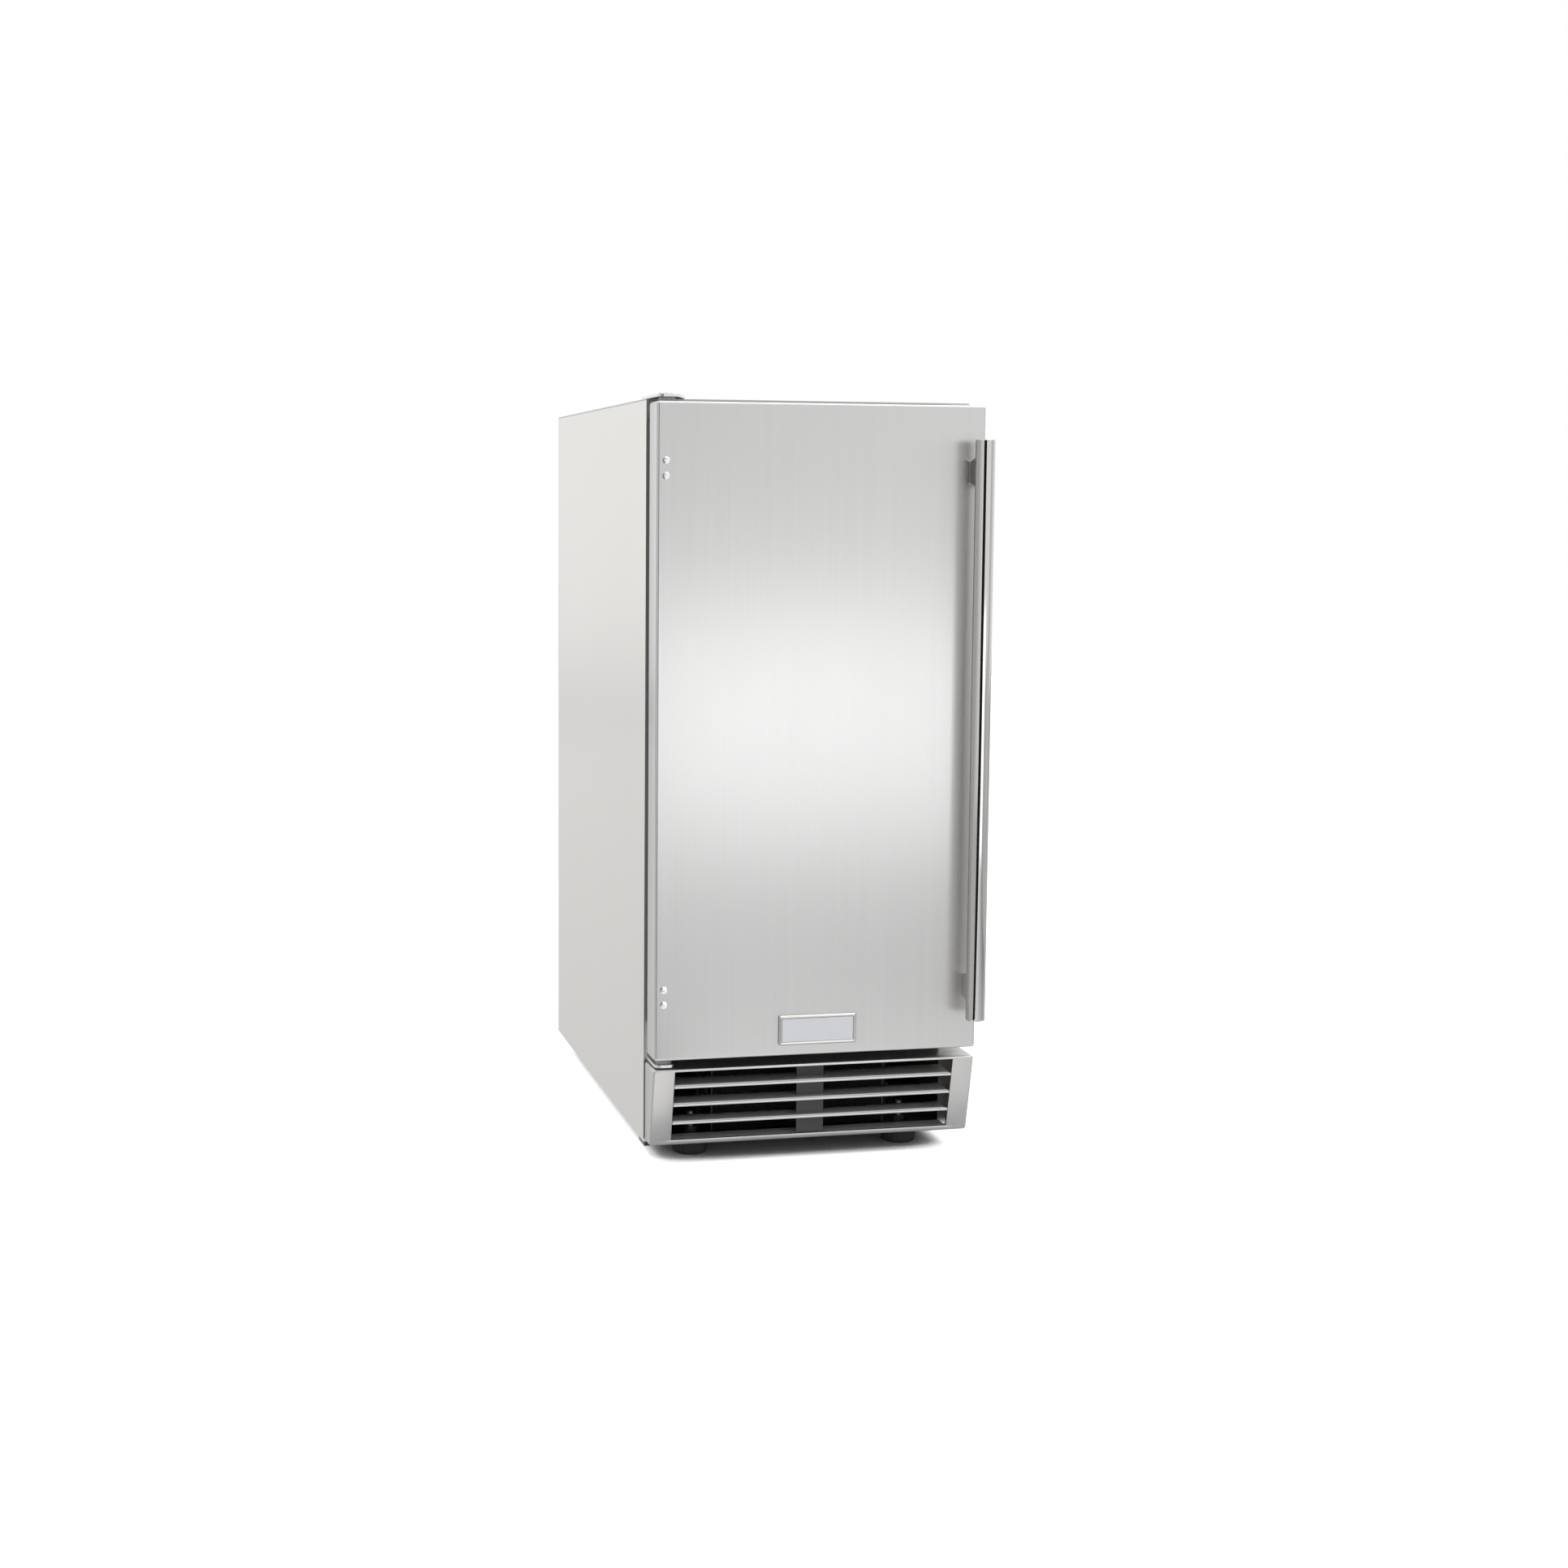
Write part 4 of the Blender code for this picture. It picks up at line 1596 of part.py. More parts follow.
def make_inlet_tube():
    """Bend the tube from the water valve up to the trough."""
    front = SERVICE_Y - SEAT - INLET_BODY_DEPTH - SEAT
    lane_y = SERVICE_Y - INLET_TUBE_LANE_INSET
    cross_z = CAB_BOTTOM + INLET_TUBE_RISE
    x = INLET_TUBE_X
    spout_z = TROUGH_TOP - INLET_TUBE_DIP
    points = [
        (INLET_X, front, INLET_Z), (INLET_X, lane_y, INLET_Z), (INLET_X, lane_y, cross_z),
        (x, lane_y, cross_z), (x, INLET_REAR_Y, cross_z), (x, INLET_REAR_Y, spout_z),
        (x, TROUGH_REAR_Y - 2 * TROUGH_WALL, spout_z),
    ]
    return tube("inlet_tube", points, INLET_TUBE_RADIUS, INLET_TUBE_RADIUS * 2, WHITE_PLASTIC)


def make_electrical_box():
    """Make the electrical box, with the seam of its lid."""
    bottom = BASE_TOP + SEAT
    far = SERVICE_Y - BOX_REAR_INSET
    near = far - BOX_DEPTH
    box = block(
        "electrical_box", (BOX_LEFT, near, bottom), (BOX_RIGHT, far, bottom + BOX_HEIGHT),
        GALVANISED,
    )
    soften(box, BOX_EDGE, 1)
    seam_y = near + BOX_DEPTH * BOX_LID_SHARE
    seam = block(
        "seam", (BOX_LEFT - OVERRUN, seam_y, bottom - OVERRUN),
        (BOX_RIGHT + OVERRUN, seam_y + BOX_SEAM, bottom + BOX_HEIGHT + OVERRUN),
    )
    keep = block(
        "seam_keep", (BOX_LEFT + BOX_SEAM, near, bottom + BOX_SEAM),
        (BOX_RIGHT - BOX_SEAM, far, bottom + BOX_HEIGHT - BOX_SEAM),
    )
    cut(seam, keep)
    return cut(box, seam)


def make_cord_gland():
    """Turn the mains gland in the service cover, without a cord."""
    place = (GLAND_X, SERVICE_Y, CAB_BOTTOM + GLAND_RISE)
    reach = SHEET + SEAT + GLAND_FLANGE + GLAND_REACH
    shoulder = SHEET + SEAT + GLAND_FLANGE
    inner = -SEAT - GLAND_FLANGE
    profile = [
        (0, reach - GLAND_DIMPLE_DEPTH), (GLAND_DIMPLE, reach - GLAND_DIMPLE_DEPTH),
        (GLAND_DIMPLE, reach), (GLAND_RADIUS - SHEET, reach), (GLAND_RADIUS, shoulder),
        (GLAND_FLANGE_RADIUS, shoulder), (GLAND_FLANGE_RADIUS, SHEET + SEAT),
        (GLAND_RADIUS, SHEET + SEAT), (GLAND_RADIUS, -SEAT), (GLAND_FLANGE_RADIUS, -SEAT),
        (GLAND_FLANGE_RADIUS, inner), (0, inner),
    ]
    return turned("cord_gland", profile, place, (0, 1, 0), BLACK_PLASTIC)


# Kick grille

def grille_face_y(z):
    """Return the y of the grille's leaning front face at a height."""
    share = (z - GRILLE_BOTTOM) / GRILLE_HEIGHT
    return FRONT - GRILLE_BOTTOM_REACH - (GRILLE_TOP_REACH - GRILLE_BOTTOM_REACH) * share


def make_kick_grille():
    """Make the folded grille box, open at the rear, with cheeks beside its opening."""
    rear = FRONT - SEAT
    points = [
        (grille_face_y(GRILLE_TOP), GRILLE_TOP), (rear, GRILLE_TOP),
        (rear, GRILLE_BOTTOM), (grille_face_y(GRILLE_BOTTOM), GRILLE_BOTTOM),
    ]
    loop = [(y, z) for y, z, _ in rounded(points, GRILLE_EDGE_RADIUS, only=(0, 3))]
    grille = outline("kick_grille", [loop], "X", -HALF, HALF, BRUSHED)
    cut_box(
        grille, "opening",
        (-GRILLE_OPEN_HALF, FRONT - GRILLE_TOP_REACH - OVERRUN, GRILLE_OPEN_BOTTOM),
        (GRILLE_OPEN_HALF, FRONT + OVERRUN, GRILLE_OPEN_TOP),
    )
    low, high = GRILLE_BOTTOM + SHEET, GRILLE_TOP - SHEET
    void = [
        (grille_face_y(high) + SHEET, high), (rear + OVERRUN, high), (rear + OVERRUN, low),
        (grille_face_y(low) + SHEET, low),
    ]
    for label, side in (("left", -1), ("right", 1)):
        ends = sorted((side * (GRILLE_OPEN_HALF + SHEET), side * (HALF - SHEET)))
        cut(grille, outline("grille_void_" + label, [void], "X", *ends))
    return fuse_heads(grille, "_screws", grille_screw_places(), (0, 0, -1))


def make_grille_louvres():
    """Make the shelf blades with their front hems, welded to the brace behind them."""
    half = GRILLE_OPEN_HALF - SEAT
    slot = (GRILLE_OPEN_TOP - GRILLE_OPEN_BOTTOM - BLADE_COUNT * BLADE_HEIGHT) / (BLADE_COUNT + 1)
    rear = FRONT - BLADE_SET_BACK
    brace = block(
        "grille_louvres", (-BRACE_WIDTH / 2, rear - SHEET / 2, GRILLE_OPEN_BOTTOM + SEAT),
        (BRACE_WIDTH / 2, rear + SHEET, GRILLE_OPEN_TOP - SEAT), BRUSHED,
    )
    members = []
    for index in range(BLADE_COUNT):
        low = GRILLE_OPEN_BOTTOM + slot + (slot + BLADE_HEIGHT) * index
        high = low + BLADE_HEIGHT
        hem = grille_face_y(low) + BLADE_HEM
        loop = [
            (grille_face_y(low), low), (hem, low), (hem, high - SHEET), (rear, high - SHEET),
            (rear, high), (grille_face_y(high), high),
        ]
        members.append(outline("blade", [loop], "X", -half, half))
    return fuse(brace, gather("blades_of_grille", members))


def grille_screw_places():
    """Return the places of the screws under the grille's bottom rail."""
    x, y = HALF - GRILLE_SCREW_INSET, FRONT - GRILLE_SCREW_DEPTH
    return [(-x, y, GRILLE_BOTTOM), (x, y, GRILLE_BOTTOM)]


# Hinges

def make_top_hinge_plate():
    """Make the plate on the cabinet's top that reaches over the door."""
    left = -HALF + HINGE_EDGE
    nose = HINGE_Y - HINGE_NOSE
    points = [
        (left, nose), (-HALF + HINGE_NARROW, nose), (-HALF + HINGE_WIDE, FRONT),
        (-HALF + HINGE_WIDE, FRONT + HINGE_TAIL), (left, FRONT + HINGE_TAIL),
    ]
    hole = circle(HINGE_X, HINGE_Y, PIN_NECK_RADIUS + SEAT)
    low = CAB_TOP + SEAT
    plate = outline(
        "top_hinge_plate", [rounded(points, HINGE_CORNER), hole], "Z", low, low + HINGE_PLATE, POLISHED
    )
    fuse_heads(plate, "_screws", top_screw_places(), (0, 0, 1))
    top = low + HINGE_PLATE
    beside = [(HINGE_X + side * NOSE_SCREW_PITCH, HINGE_Y, top) for side in (-1, 1)]
    return fuse_heads(plate, "_nose_screws", beside, (0, 0, 1), NOSE_SCREW_RADIUS)


def make_bottom_hinge_bracket():
    """Make the bracket under the door, with its staked pin and the leaf screwed to the cabinet."""
    left = -HALF + HINGE_EDGE
    nose = HINGE_Y - HINGE_NOSE
    right = -HALF + HINGE_NARROW
    rear = FRONT - SEAT
    loop = rounded([(left, nose), (right, nose), (right, rear), (left, rear)], HINGE_CORNER, only=(0, 1))
    bottom = BRACKET_PLATE_TOP - HINGE_PLATE
    bracket = outline("bottom_hinge_bracket", [loop], "Z", bottom, BRACKET_PLATE_TOP, POLISHED)
    fuse(bracket, block(
        "leaf", (left, rear - HINGE_PLATE, BRACKET_PLATE_TOP - HINGE_PLATE / 2),
        (left + BRACKET_LEAF_WIDTH, rear, BRACKET_PLATE_TOP + BRACKET_LEAF_HEIGHT),
    ))
    fuse(bracket, rod(
        "bottom_pin", (HINGE_X, HINGE_Y, BRACKET_PLATE_TOP - HINGE_PLATE / 2),
        (HINGE_X, HINGE_Y, DOOR_BOTTOM + PIN_REACH), PIN_RADIUS,
    ))
    return fuse_heads(bracket, "_screws", leaf_screw_places(), (0, -1, 0))


def make_top_hinge_pin():
    """Turn the pin whose neck stands in the top hinge plate and whose shank turns in the door."""
    tip = CAB_TOP + SEAT + HINGE_PLATE + PIN_END_RISE
    shoulder = CAB_TOP
    foot = DOOR_TOP - PIN_REACH
    profile = [
        (0, tip), (PIN_NECK_RADIUS - PIN_END_CHAMFER, tip), (PIN_NECK_RADIUS, tip - PIN_END_CHAMFER),
        (PIN_NECK_RADIUS, shoulder), (PIN_RADIUS, shoulder), (PIN_RADIUS, foot), (0, foot),
    ]
    return turned("top_hinge_pin", profile, (HINGE_X, HINGE_Y, 0), (0, 0, 1), ZINC)


def make_hinge_bush(name, face, stop, out):
    """Turn one flanged bush, which fills the gap between the door's edge and the hinge plate."""
    flange = abs(stop - face) - 2 * SEAT
    bore = PIN_RADIUS + SEAT
    profile = [
        (BUSH_FLANGE_RADIUS, flange), (BUSH_FLANGE_RADIUS, 0), (BUSH_RADIUS, 0),
        (BUSH_RADIUS, -BUSH_DEPTH), (bore, -BUSH_DEPTH), (bore, flange),
    ]
    place = (HINGE_X, HINGE_Y, face + out * SEAT)
    return turned(name, profile, place, (0, 0, out), GREY_PLASTIC, ring=True)


# Door

def bush_lines():
    """Return the drill lines of the two bush pockets."""
    depth = BUSH_DEPTH + OVERRUN
    return [
        ((HINGE_X, HINGE_Y, DOOR_TOP + OVERRUN), (HINGE_X, HINGE_Y, DOOR_TOP - depth)),
        ((HINGE_X, HINGE_Y, DOOR_BOTTOM - OVERRUN), (HINGE_X, HINGE_Y, DOOR_BOTTOM + depth)),
    ]


def door_screw_heights(side):
    """Return the heights of the upper (1) or the lower (-1) pair of domed door screws."""
    middle = DOOR_MIDDLE + side * DOOR_SCREW_SPREAD / 2
    return [middle - DOOR_SCREW_PITCH / 2, middle + DOOR_SCREW_PITCH / 2]


def bracket_heights():
    """Return the middle heights of the two handle brackets."""
    return [DOOR_MIDDLE - BRACKET_SPREAD / 2, DOOR_MIDDLE + BRACKET_SPREAD / 2]


def drill_door(piece):
    """Drill the bush pockets, the handle's stud holes and the screw holes."""
    cut_rods(piece, "bushes", bush_lines(), BUSH_RADIUS + SEAT, ROUND_STEPS)
    studs = [
        ((HANDLE_X, DOOR_FRONT_Y - OVERRUN, z), (HANDLE_X, DOOR_FRONT_Y + STUD_LENGTH + SEAT, z))
        for z in bracket_heights()
    ]
    cut_rods(piece, "studs", studs, STUD_RADIUS + SEAT)
    near, deep = DOOR_FRONT_Y - OVERRUN, DOOR_FRONT_Y + DOOR_SCREW_LENGTH + SEAT
    heights = door_screw_heights(-1) + door_screw_heights(1)
    lines = [((DOOR_SCREW_X, near, z), (DOOR_SCREW_X, deep, z)) for z in heights]
    return cut_rods(piece, "screws", lines, DOOR_SCREW_SHANK + SEAT)


def make_door_skin():
    """Make the stainless door pan, with its edges rounded at the front."""
    low, high = ordered((-HALF, DOOR_FRONT_Y, DOOR_BOTTOM), (HALF, DOOR_REAR_Y, DOOR_TOP))
    mesh = bpy.data.meshes.new("door_skin")
    shape = bmesh.new()
    bmesh.ops.create_cube(shape, size=1)
    bmesh.ops.scale(shape, vec=high - low, verts=shape.verts)
    front_edges = [edge for edge in shape.edges if all(vert.co.y < 0 for vert in edge.verts)]
    bmesh.ops.bevel(
        shape, geom=front_edges, offset=DOOR_EDGE_RADIUS, segments=3, profile=0.5, affect="EDGES"
    )
    shape.to_mesh(mesh)
    shape.free()
    skin = add_object("door_skin", mesh, DOOR_STEEL, (low + high) / 2)
    cut_box(
        skin, "hollow", (-HALF + SHEET, DOOR_FRONT_Y + SHEET, DOOR_BOTTOM + SHEET),
        (HALF - SHEET, DOOR_REAR_Y + OVERRUN, DOOR_TOP - SHEET),
    )
    return drill_door(skin)


def make_door_foam():
    """Make the foam core of the door, with its pockets."""
    inset = SHEET + SEAT
    foam = block(
        "door_foam", (-INNER_HALF, DOOR_FRONT_Y + inset, DOOR_BOTTOM + inset),
        (INNER_HALF, DOOR_REAR_Y - DOOR_LINER_WALL - SEAT, DOOR_TOP - inset), FOAM,
    )
    for label, side in (("upper_strip", 1), ("lower_strip", -1)):
        low, high = strip_corners(side, SEAT)
        cut_box(foam, label, low, high)
    return drill_door(foam)


def make_door_liner():
    """Make the door's inner liner, with the raised plug that faces the bin."""
    inset = SHEET + SEAT
    liner = block(
        "door_liner", (-INNER_HALF, DOOR_REAR_Y - DOOR_LINER_WALL, DOOR_BOTTOM + inset),
        (INNER_HALF, DOOR_REAR_Y, DOOR_TOP - inset), WHITE_PLASTIC,
    )
    half = MOUTH_HALF_WIDTH - PLUG_CLEARANCE
    low, high = BIN_FLOOR + PLUG_CLEARANCE, BIN_TOP - PLUG_CLEARANCE
    plug = block(
        "plug", (-half, DOOR_REAR_Y - DOOR_LINER_WALL / 2, low), (half, DOOR_REAR_Y + PLUG_DEPTH, high)
    )
    fuse(liner, plug)
    return cut_box(
        liner, "plug",
        (-half + DOOR_LINER_WALL, DOOR_REAR_Y - DOOR_LINER_WALL - OVERRUN, low + DOOR_LINER_WALL),
        (half - DOOR_LINER_WALL, DOOR_REAR_Y + PLUG_DEPTH - DOOR_LINER_WALL, high - DOOR_LINER_WALL),
    )


def make_door_gasket():
    """Make the seal that runs round the back of the door, starting at the hinge line."""
    half = HALF - HINGE_INSET
    low, high = DOOR_BOTTOM + GASKET_END_INSET, DOOR_TOP - GASKET_END_INSET
    outer = rounded(rectangle(-half, half, low, high), GASKET_CORNER)
    inner = rectangle(-half + GASKET_WIDTH, half - GASKET_WIDTH, low + GASKET_WIDTH, high - GASKET_WIDTH)
    return outline("door_gasket", [outer, inner], "Y", DOOR_REAR_Y + SEAT, FRONT - SEAT, SEAL)


def make_handle_bar():
    """Make the round bar of the handle."""
    low, high = DOOR_MIDDLE - HANDLE_LENGTH / 2, DOOR_MIDDLE + HANDLE_LENGTH / 2
    bar = rod(
        "handle_bar", (HANDLE_X, HANDLE_Y, low), (HANDLE_X, HANDLE_Y, high), HANDLE_RADIUS, POLISHED,
        FINE_STEPS,
    )
    return soften(bar, HANDLE_CHAMFER)


def make_handle_bracket(name, z):
    """Make one bracket that flares from the door to the bar, saddled to it, with its stud."""
    foot = DOOR_FRONT_Y - SEAT
    loop = [
        (HANDLE_Y, z - BRACKET_HEIGHT / 2), (HANDLE_Y, z + BRACKET_HEIGHT / 2),
        (foot, z + BRACKET_FOOT / 2), (foot, z - BRACKET_FOOT / 2),
    ]
    side = BRACKET_WIDTH / 2
    bracket = outline(name, [loop], "X", HANDLE_X - side, HANDLE_X + side, POLISHED)
    soften(bracket, BRACKET_EDGE, 1)
    stud_start = DOOR_FRONT_Y - SEAT - BRACKET_WIDTH / 2
    fuse(bracket, rod(
        name + "_stud", (HANDLE_X, stud_start, z), (HANDLE_X, DOOR_FRONT_Y + STUD_LENGTH, z),
        STUD_RADIUS, steps=SMALL_STEPS,
    ))
    saddle = ((HANDLE_X, HANDLE_Y, z - BRACKET_HEIGHT), (HANDLE_X, HANDLE_Y, z + BRACKET_HEIGHT))
    return cut_rods(bracket, "saddle", [saddle], HANDLE_RADIUS + SEAT, FINE_STEPS)


def strip_corners(side, clearance):
    """Return the corners of a screw strip behind the door's skin, grown by a clearance."""
    half_width = STRIP_WIDTH / 2 + clearance
    lower, upper = door_screw_heights(side)
    near = DOOR_FRONT_Y + SHEET + SEAT
    low = (DOOR_SCREW_X - half_width, near - clearance, lower - STRIP_END - clearance)
    high = (DOOR_SCREW_X + half_width, near + STRIP_THICKNESS + clearance, upper + STRIP_END + clearance)
    return low, high


def make_hinge_screws(name, side):
    """Make a pair of domed screws in the tapped strip that holds a hinge corner."""
    strip = block(name, *strip_corners(side, 0), POLISHED)
    dome_shares = (0, 0.38, 0.71, 0.92)
    dome = [(DOOR_SCREW_HEAD * share, SEAT + DOOR_SCREW_DOME * math.sqrt(1 - share * share))
            for share in dome_shares]
    profile = dome + [
        (DOOR_SCREW_HEAD, SEAT), (DOOR_SCREW_SHANK, SEAT), (DOOR_SCREW_SHANK, -DOOR_SCREW_LENGTH),
        (0, -DOOR_SCREW_LENGTH),
    ]
    screws = [
        turned("screw", profile, (DOOR_SCREW_X, DOOR_FRONT_Y, z), (0, -1, 0), steps=SMALL_STEPS)
        for z in door_screw_heights(side)
    ]
    return fuse(strip, gather(name + "_pair", screws))


def make_badge_plaque():
    """Make the blank plaque: a bevelled frame round a sunk plain face."""
    half_wide, half_tall = PLAQUE_WIDTH / 2, PLAQUE_HEIGHT / 2
    z = DOOR_BOTTOM + PLAQUE_RISE
    rear = DOOR_FRONT_Y - SEAT
    front = rear - PLAQUE_THICKNESS
    plaque = block(
        "badge_plaque", (-half_wide, front, z - half_tall), (half_wide, rear, z + half_tall), POLISHED
    )
    soften(plaque, PLAQUE_BEVEL, 1)
    wide, tall = half_wide - PLAQUE_BORDER, half_tall - PLAQUE_BORDER
    return cut_box(
        plaque, "face", (-wide, front - OVERRUN, z - tall), (wide, front + PLAQUE_RECESS, z + tall)
    )


# Assembly

def build():
    """Make every piece and hang the moving ones on their joints."""
    cabinet = carrier("cabinet_carrier")
    carry(
        cabinet,
        make_side_panel("left_side_panel", -1), make_side_panel("right_side_panel", 1),
        make_top_panel(), make_rear_panel(), make_service_cover(), make_base_pan(),
        make_front_frame(), make_inner_liner(), make_insulation(), make_ice_baffle(),
        make_evaporator_plate(), make_evaporator_coil(), make_water_distributor(),
        make_water_trough(), make_pump_motor(), make_pump_hose(), make_control_housing(),
        make_bin_sensor(), make_drain_fitting(), make_drain_hose(), make_compressor(),
        make_condenser(), make_fan_shroud(), make_fan_motor(), make_filter_drier(),
        make_discharge_tube(), make_feed_tube(), make_suction_tube(), make_hot_gas_valve(),
        make_water_inlet_valve(), make_inlet_tube(), make_electrical_box(), make_cord_gland(),
        make_kick_grille(), make_grille_louvres(), make_top_hinge_plate(),
        make_bottom_hinge_bracket(), make_top_hinge_pin(),
    )
    low_bracket, high_bracket = bracket_heights()
    door = carrier("door_carrier", (HINGE_X, HINGE_Y, DOOR_MIDDLE))
    carry(
        door, make_door_skin(), make_door_foam(), make_door_liner(), make_door_gasket(),
        make_handle_bar(), make_handle_bracket("upper_handle_bracket", high_bracket),
        make_handle_bracket("lower_handle_bracket", low_bracket),
        make_hinge_bush("top_hinge_bush", DOOR_TOP, CAB_TOP + SEAT, 1),
        make_hinge_bush("bottom_hinge_bush", DOOR_BOTTOM, BRACKET_PLATE_TOP, -1),
        make_hinge_screws("upper_hinge_screws", 1), make_hinge_screws("lower_hinge_screws", -1),
        make_badge_plaque(),
    )
    carry(carrier("fan_carrier", (0, FAN_Y, FAN_Z)), make_fan_blade())
    carry(carrier("pump_carrier", (PUMP_X, TROUGH_MIDDLE_Y, PUMP_CUP_TOP)), make_pump_impeller())
    carry(carrier("curtain_carrier", (EVAPORATOR_X, CURTAIN_Y, CURTAIN_Z)), make_water_curtain())
    carry(carrier("scoop_carrier", (SCOOP_X, SCOOP_Y, SCOOP_BOTTOM)), make_ice_scoop())
    for name, x in button_places():
        carry(carrier(name + "_carrier", (x, CONTROL_FRONT_Y, CONTROL_MIDDLE)), make_button(name, x))
    for name, x, y in foot_places():
        carry(carrier(name + "_carrier", (x, y, 0)), make_foot(name, x, y))


build()
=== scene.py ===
"""Dressed scene of a slim undercounter outdoor ice maker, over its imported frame.

Metres, +Z up, the door faces -Y. Each class holds the sizes of one sub-assembly, works out
its surfaces with numpy, and dresses the frame's own nodes that stay.
"""

import json
import logging
import math
from dataclasses import dataclass
from enum import Enum
from typing import Callable, Optional, Sequence, Union

import bpy
import numpy as np
from mathutils import Matrix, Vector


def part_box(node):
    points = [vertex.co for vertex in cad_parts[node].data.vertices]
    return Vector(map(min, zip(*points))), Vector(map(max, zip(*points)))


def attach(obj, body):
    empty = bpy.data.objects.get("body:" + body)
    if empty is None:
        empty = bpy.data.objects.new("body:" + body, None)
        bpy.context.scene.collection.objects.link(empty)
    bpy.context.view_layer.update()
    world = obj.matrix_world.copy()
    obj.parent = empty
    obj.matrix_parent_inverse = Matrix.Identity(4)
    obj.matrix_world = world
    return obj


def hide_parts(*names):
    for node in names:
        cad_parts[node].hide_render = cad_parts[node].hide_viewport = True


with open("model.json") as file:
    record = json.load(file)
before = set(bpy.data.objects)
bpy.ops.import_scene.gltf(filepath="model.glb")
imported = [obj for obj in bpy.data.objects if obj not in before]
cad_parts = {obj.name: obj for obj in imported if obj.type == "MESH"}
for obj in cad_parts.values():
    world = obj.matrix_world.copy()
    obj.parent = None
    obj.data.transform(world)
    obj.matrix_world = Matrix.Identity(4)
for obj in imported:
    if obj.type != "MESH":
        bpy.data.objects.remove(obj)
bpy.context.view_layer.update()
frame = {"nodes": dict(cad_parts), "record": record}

log = logging.getLogger("ice_maker")

Number = Union["Wire", float]
Colour = tuple[float, float, float]
Point = Sequence[float]
LEAST_CORNER = 0.0003


def joined(operation: str) -> Callable:
    """Return a method that joins a wire to a wire or a number with one Math node."""

    def method(self: "Wire", other: Number) -> "Wire":
        """Return the node's output."""
        return self.graph.node("ShaderNodeMath", {0: self, 1: other}, operation=operation)

    return method


class Wire:
    """One output socket of a shader graph, which can be added, multiplied and so on."""

    def __init__(self, graph: "Graph", socket: bpy.types.NodeSocket) -> None:
        """Keep the graph and the socket."""
        self.graph = graph
        self.socket = socket

    __add__ = joined("ADD")
    __sub__ = joined("SUBTRACT")
    __mul__ = joined("MULTIPLY")
    __truediv__ = joined("DIVIDE")
    __pow__ = joined("POWER")
    at_most = joined("MINIMUM")
    at_least = joined("MAXIMUM")


class Graph:
    """The nodes of one material or world."""

    def __init__(self, owner: Union[bpy.types.Material, bpy.types.World]) -> None:
        """Empty the owner's node tree and keep it."""
        owner.use_nodes = True
        self.tree = owner.node_tree
        self.tree.nodes.clear()

    def node(
        self, kind: str, inputs: Optional[dict] = None, output: Union[int, str] = 0, **settings: str
    ) -> Wire:
        """Add a node, set it up and return one of its outputs.

        Args:
            kind: the node's type.
            inputs: values or wires by socket name or number.
            output: the output socket's name or number.
            settings: its attributes, set first.

        Returns:
            The wire from that output.
        """
        node = self.tree.nodes.new(kind)
        for name, value in settings.items():
            setattr(node, name, value)
        for name, value in (inputs or {}).items():
            if isinstance(value, Wire):
                self.tree.links.new(value.socket, node.inputs[name])
            else:
                node.inputs[name].default_value = value
        return Wire(self, node.outputs[output] if node.outputs else None)

    def place(self, stretch: Colour = (1.0, 1.0, 1.0)) -> Wire:
        """Return Object coordinates multiplied by a stretch along each axis."""
        coordinates = self.node("ShaderNodeTexCoord", output="Object")
        return self.node("ShaderNodeMapping", {"Vector": coordinates, "Scale": stretch})

    def noise(self, vector: Wire, scale: float = 1.0, detail: float = 2.0, rough: float = 0.5) -> Wire:
        """Return a noise between 0 and 1 at the vector."""
        inputs = {"Vector": vector, "Scale": scale, "Detail": detail, "Roughness": rough}
        return self.node("ShaderNodeTexNoise", inputs)

    def cells(self, vector: Wire, scale: float, output: str = "Color") -> Wire:
        """Return a cell pattern: a random colour for each cell, or the distance to its middle."""
        return self.node("ShaderNodeTexVoronoi", {"Vector": vector, "Scale": scale}, output)

    def mix(self, share: Number, first: Union[Wire, tuple], second: Union[Wire, tuple]) -> Wire:
        """Return the first colour blended towards the second by a share."""
        return self.node("ShaderNodeMix", {0: share, 6: first, 7: second}, 2, data_type="RGBA")

    def bump(self, height: Wire, strength: float, distance: float) -> Wire:
        """Return a normal bent by a height."""
        return self.node("ShaderNodeBump", {"Height": height, "Strength": strength, "Distance": distance})

    def glow(self, level: Wire) -> Wire:
        """Return a light of its own, as bright as the level."""
        return self.node("ShaderNodeEmission", {"Color": level, "Strength": 1.0})

    def show(self, surface: Wire) -> None:
        """Lead a shader to the material's output."""
        self.node("ShaderNodeOutputMaterial", {"Surface": surface})


def shade(colour: Colour, level: float) -> tuple[float, float, float, float]:
    """Return a colour with its brightness multiplied, as four numbers."""
    return tuple(min(1.0, part * level) for part in colour) + (1.0,)


class Grain(Enum):
    """The way that a brushed surface was rubbed."""

    UPRIGHT = (1.0, 1.0, 0.004)
    ACROSS = (0.004, 1.0, 1.0)
    DEEP = (1.0, 0.004, 1.0)


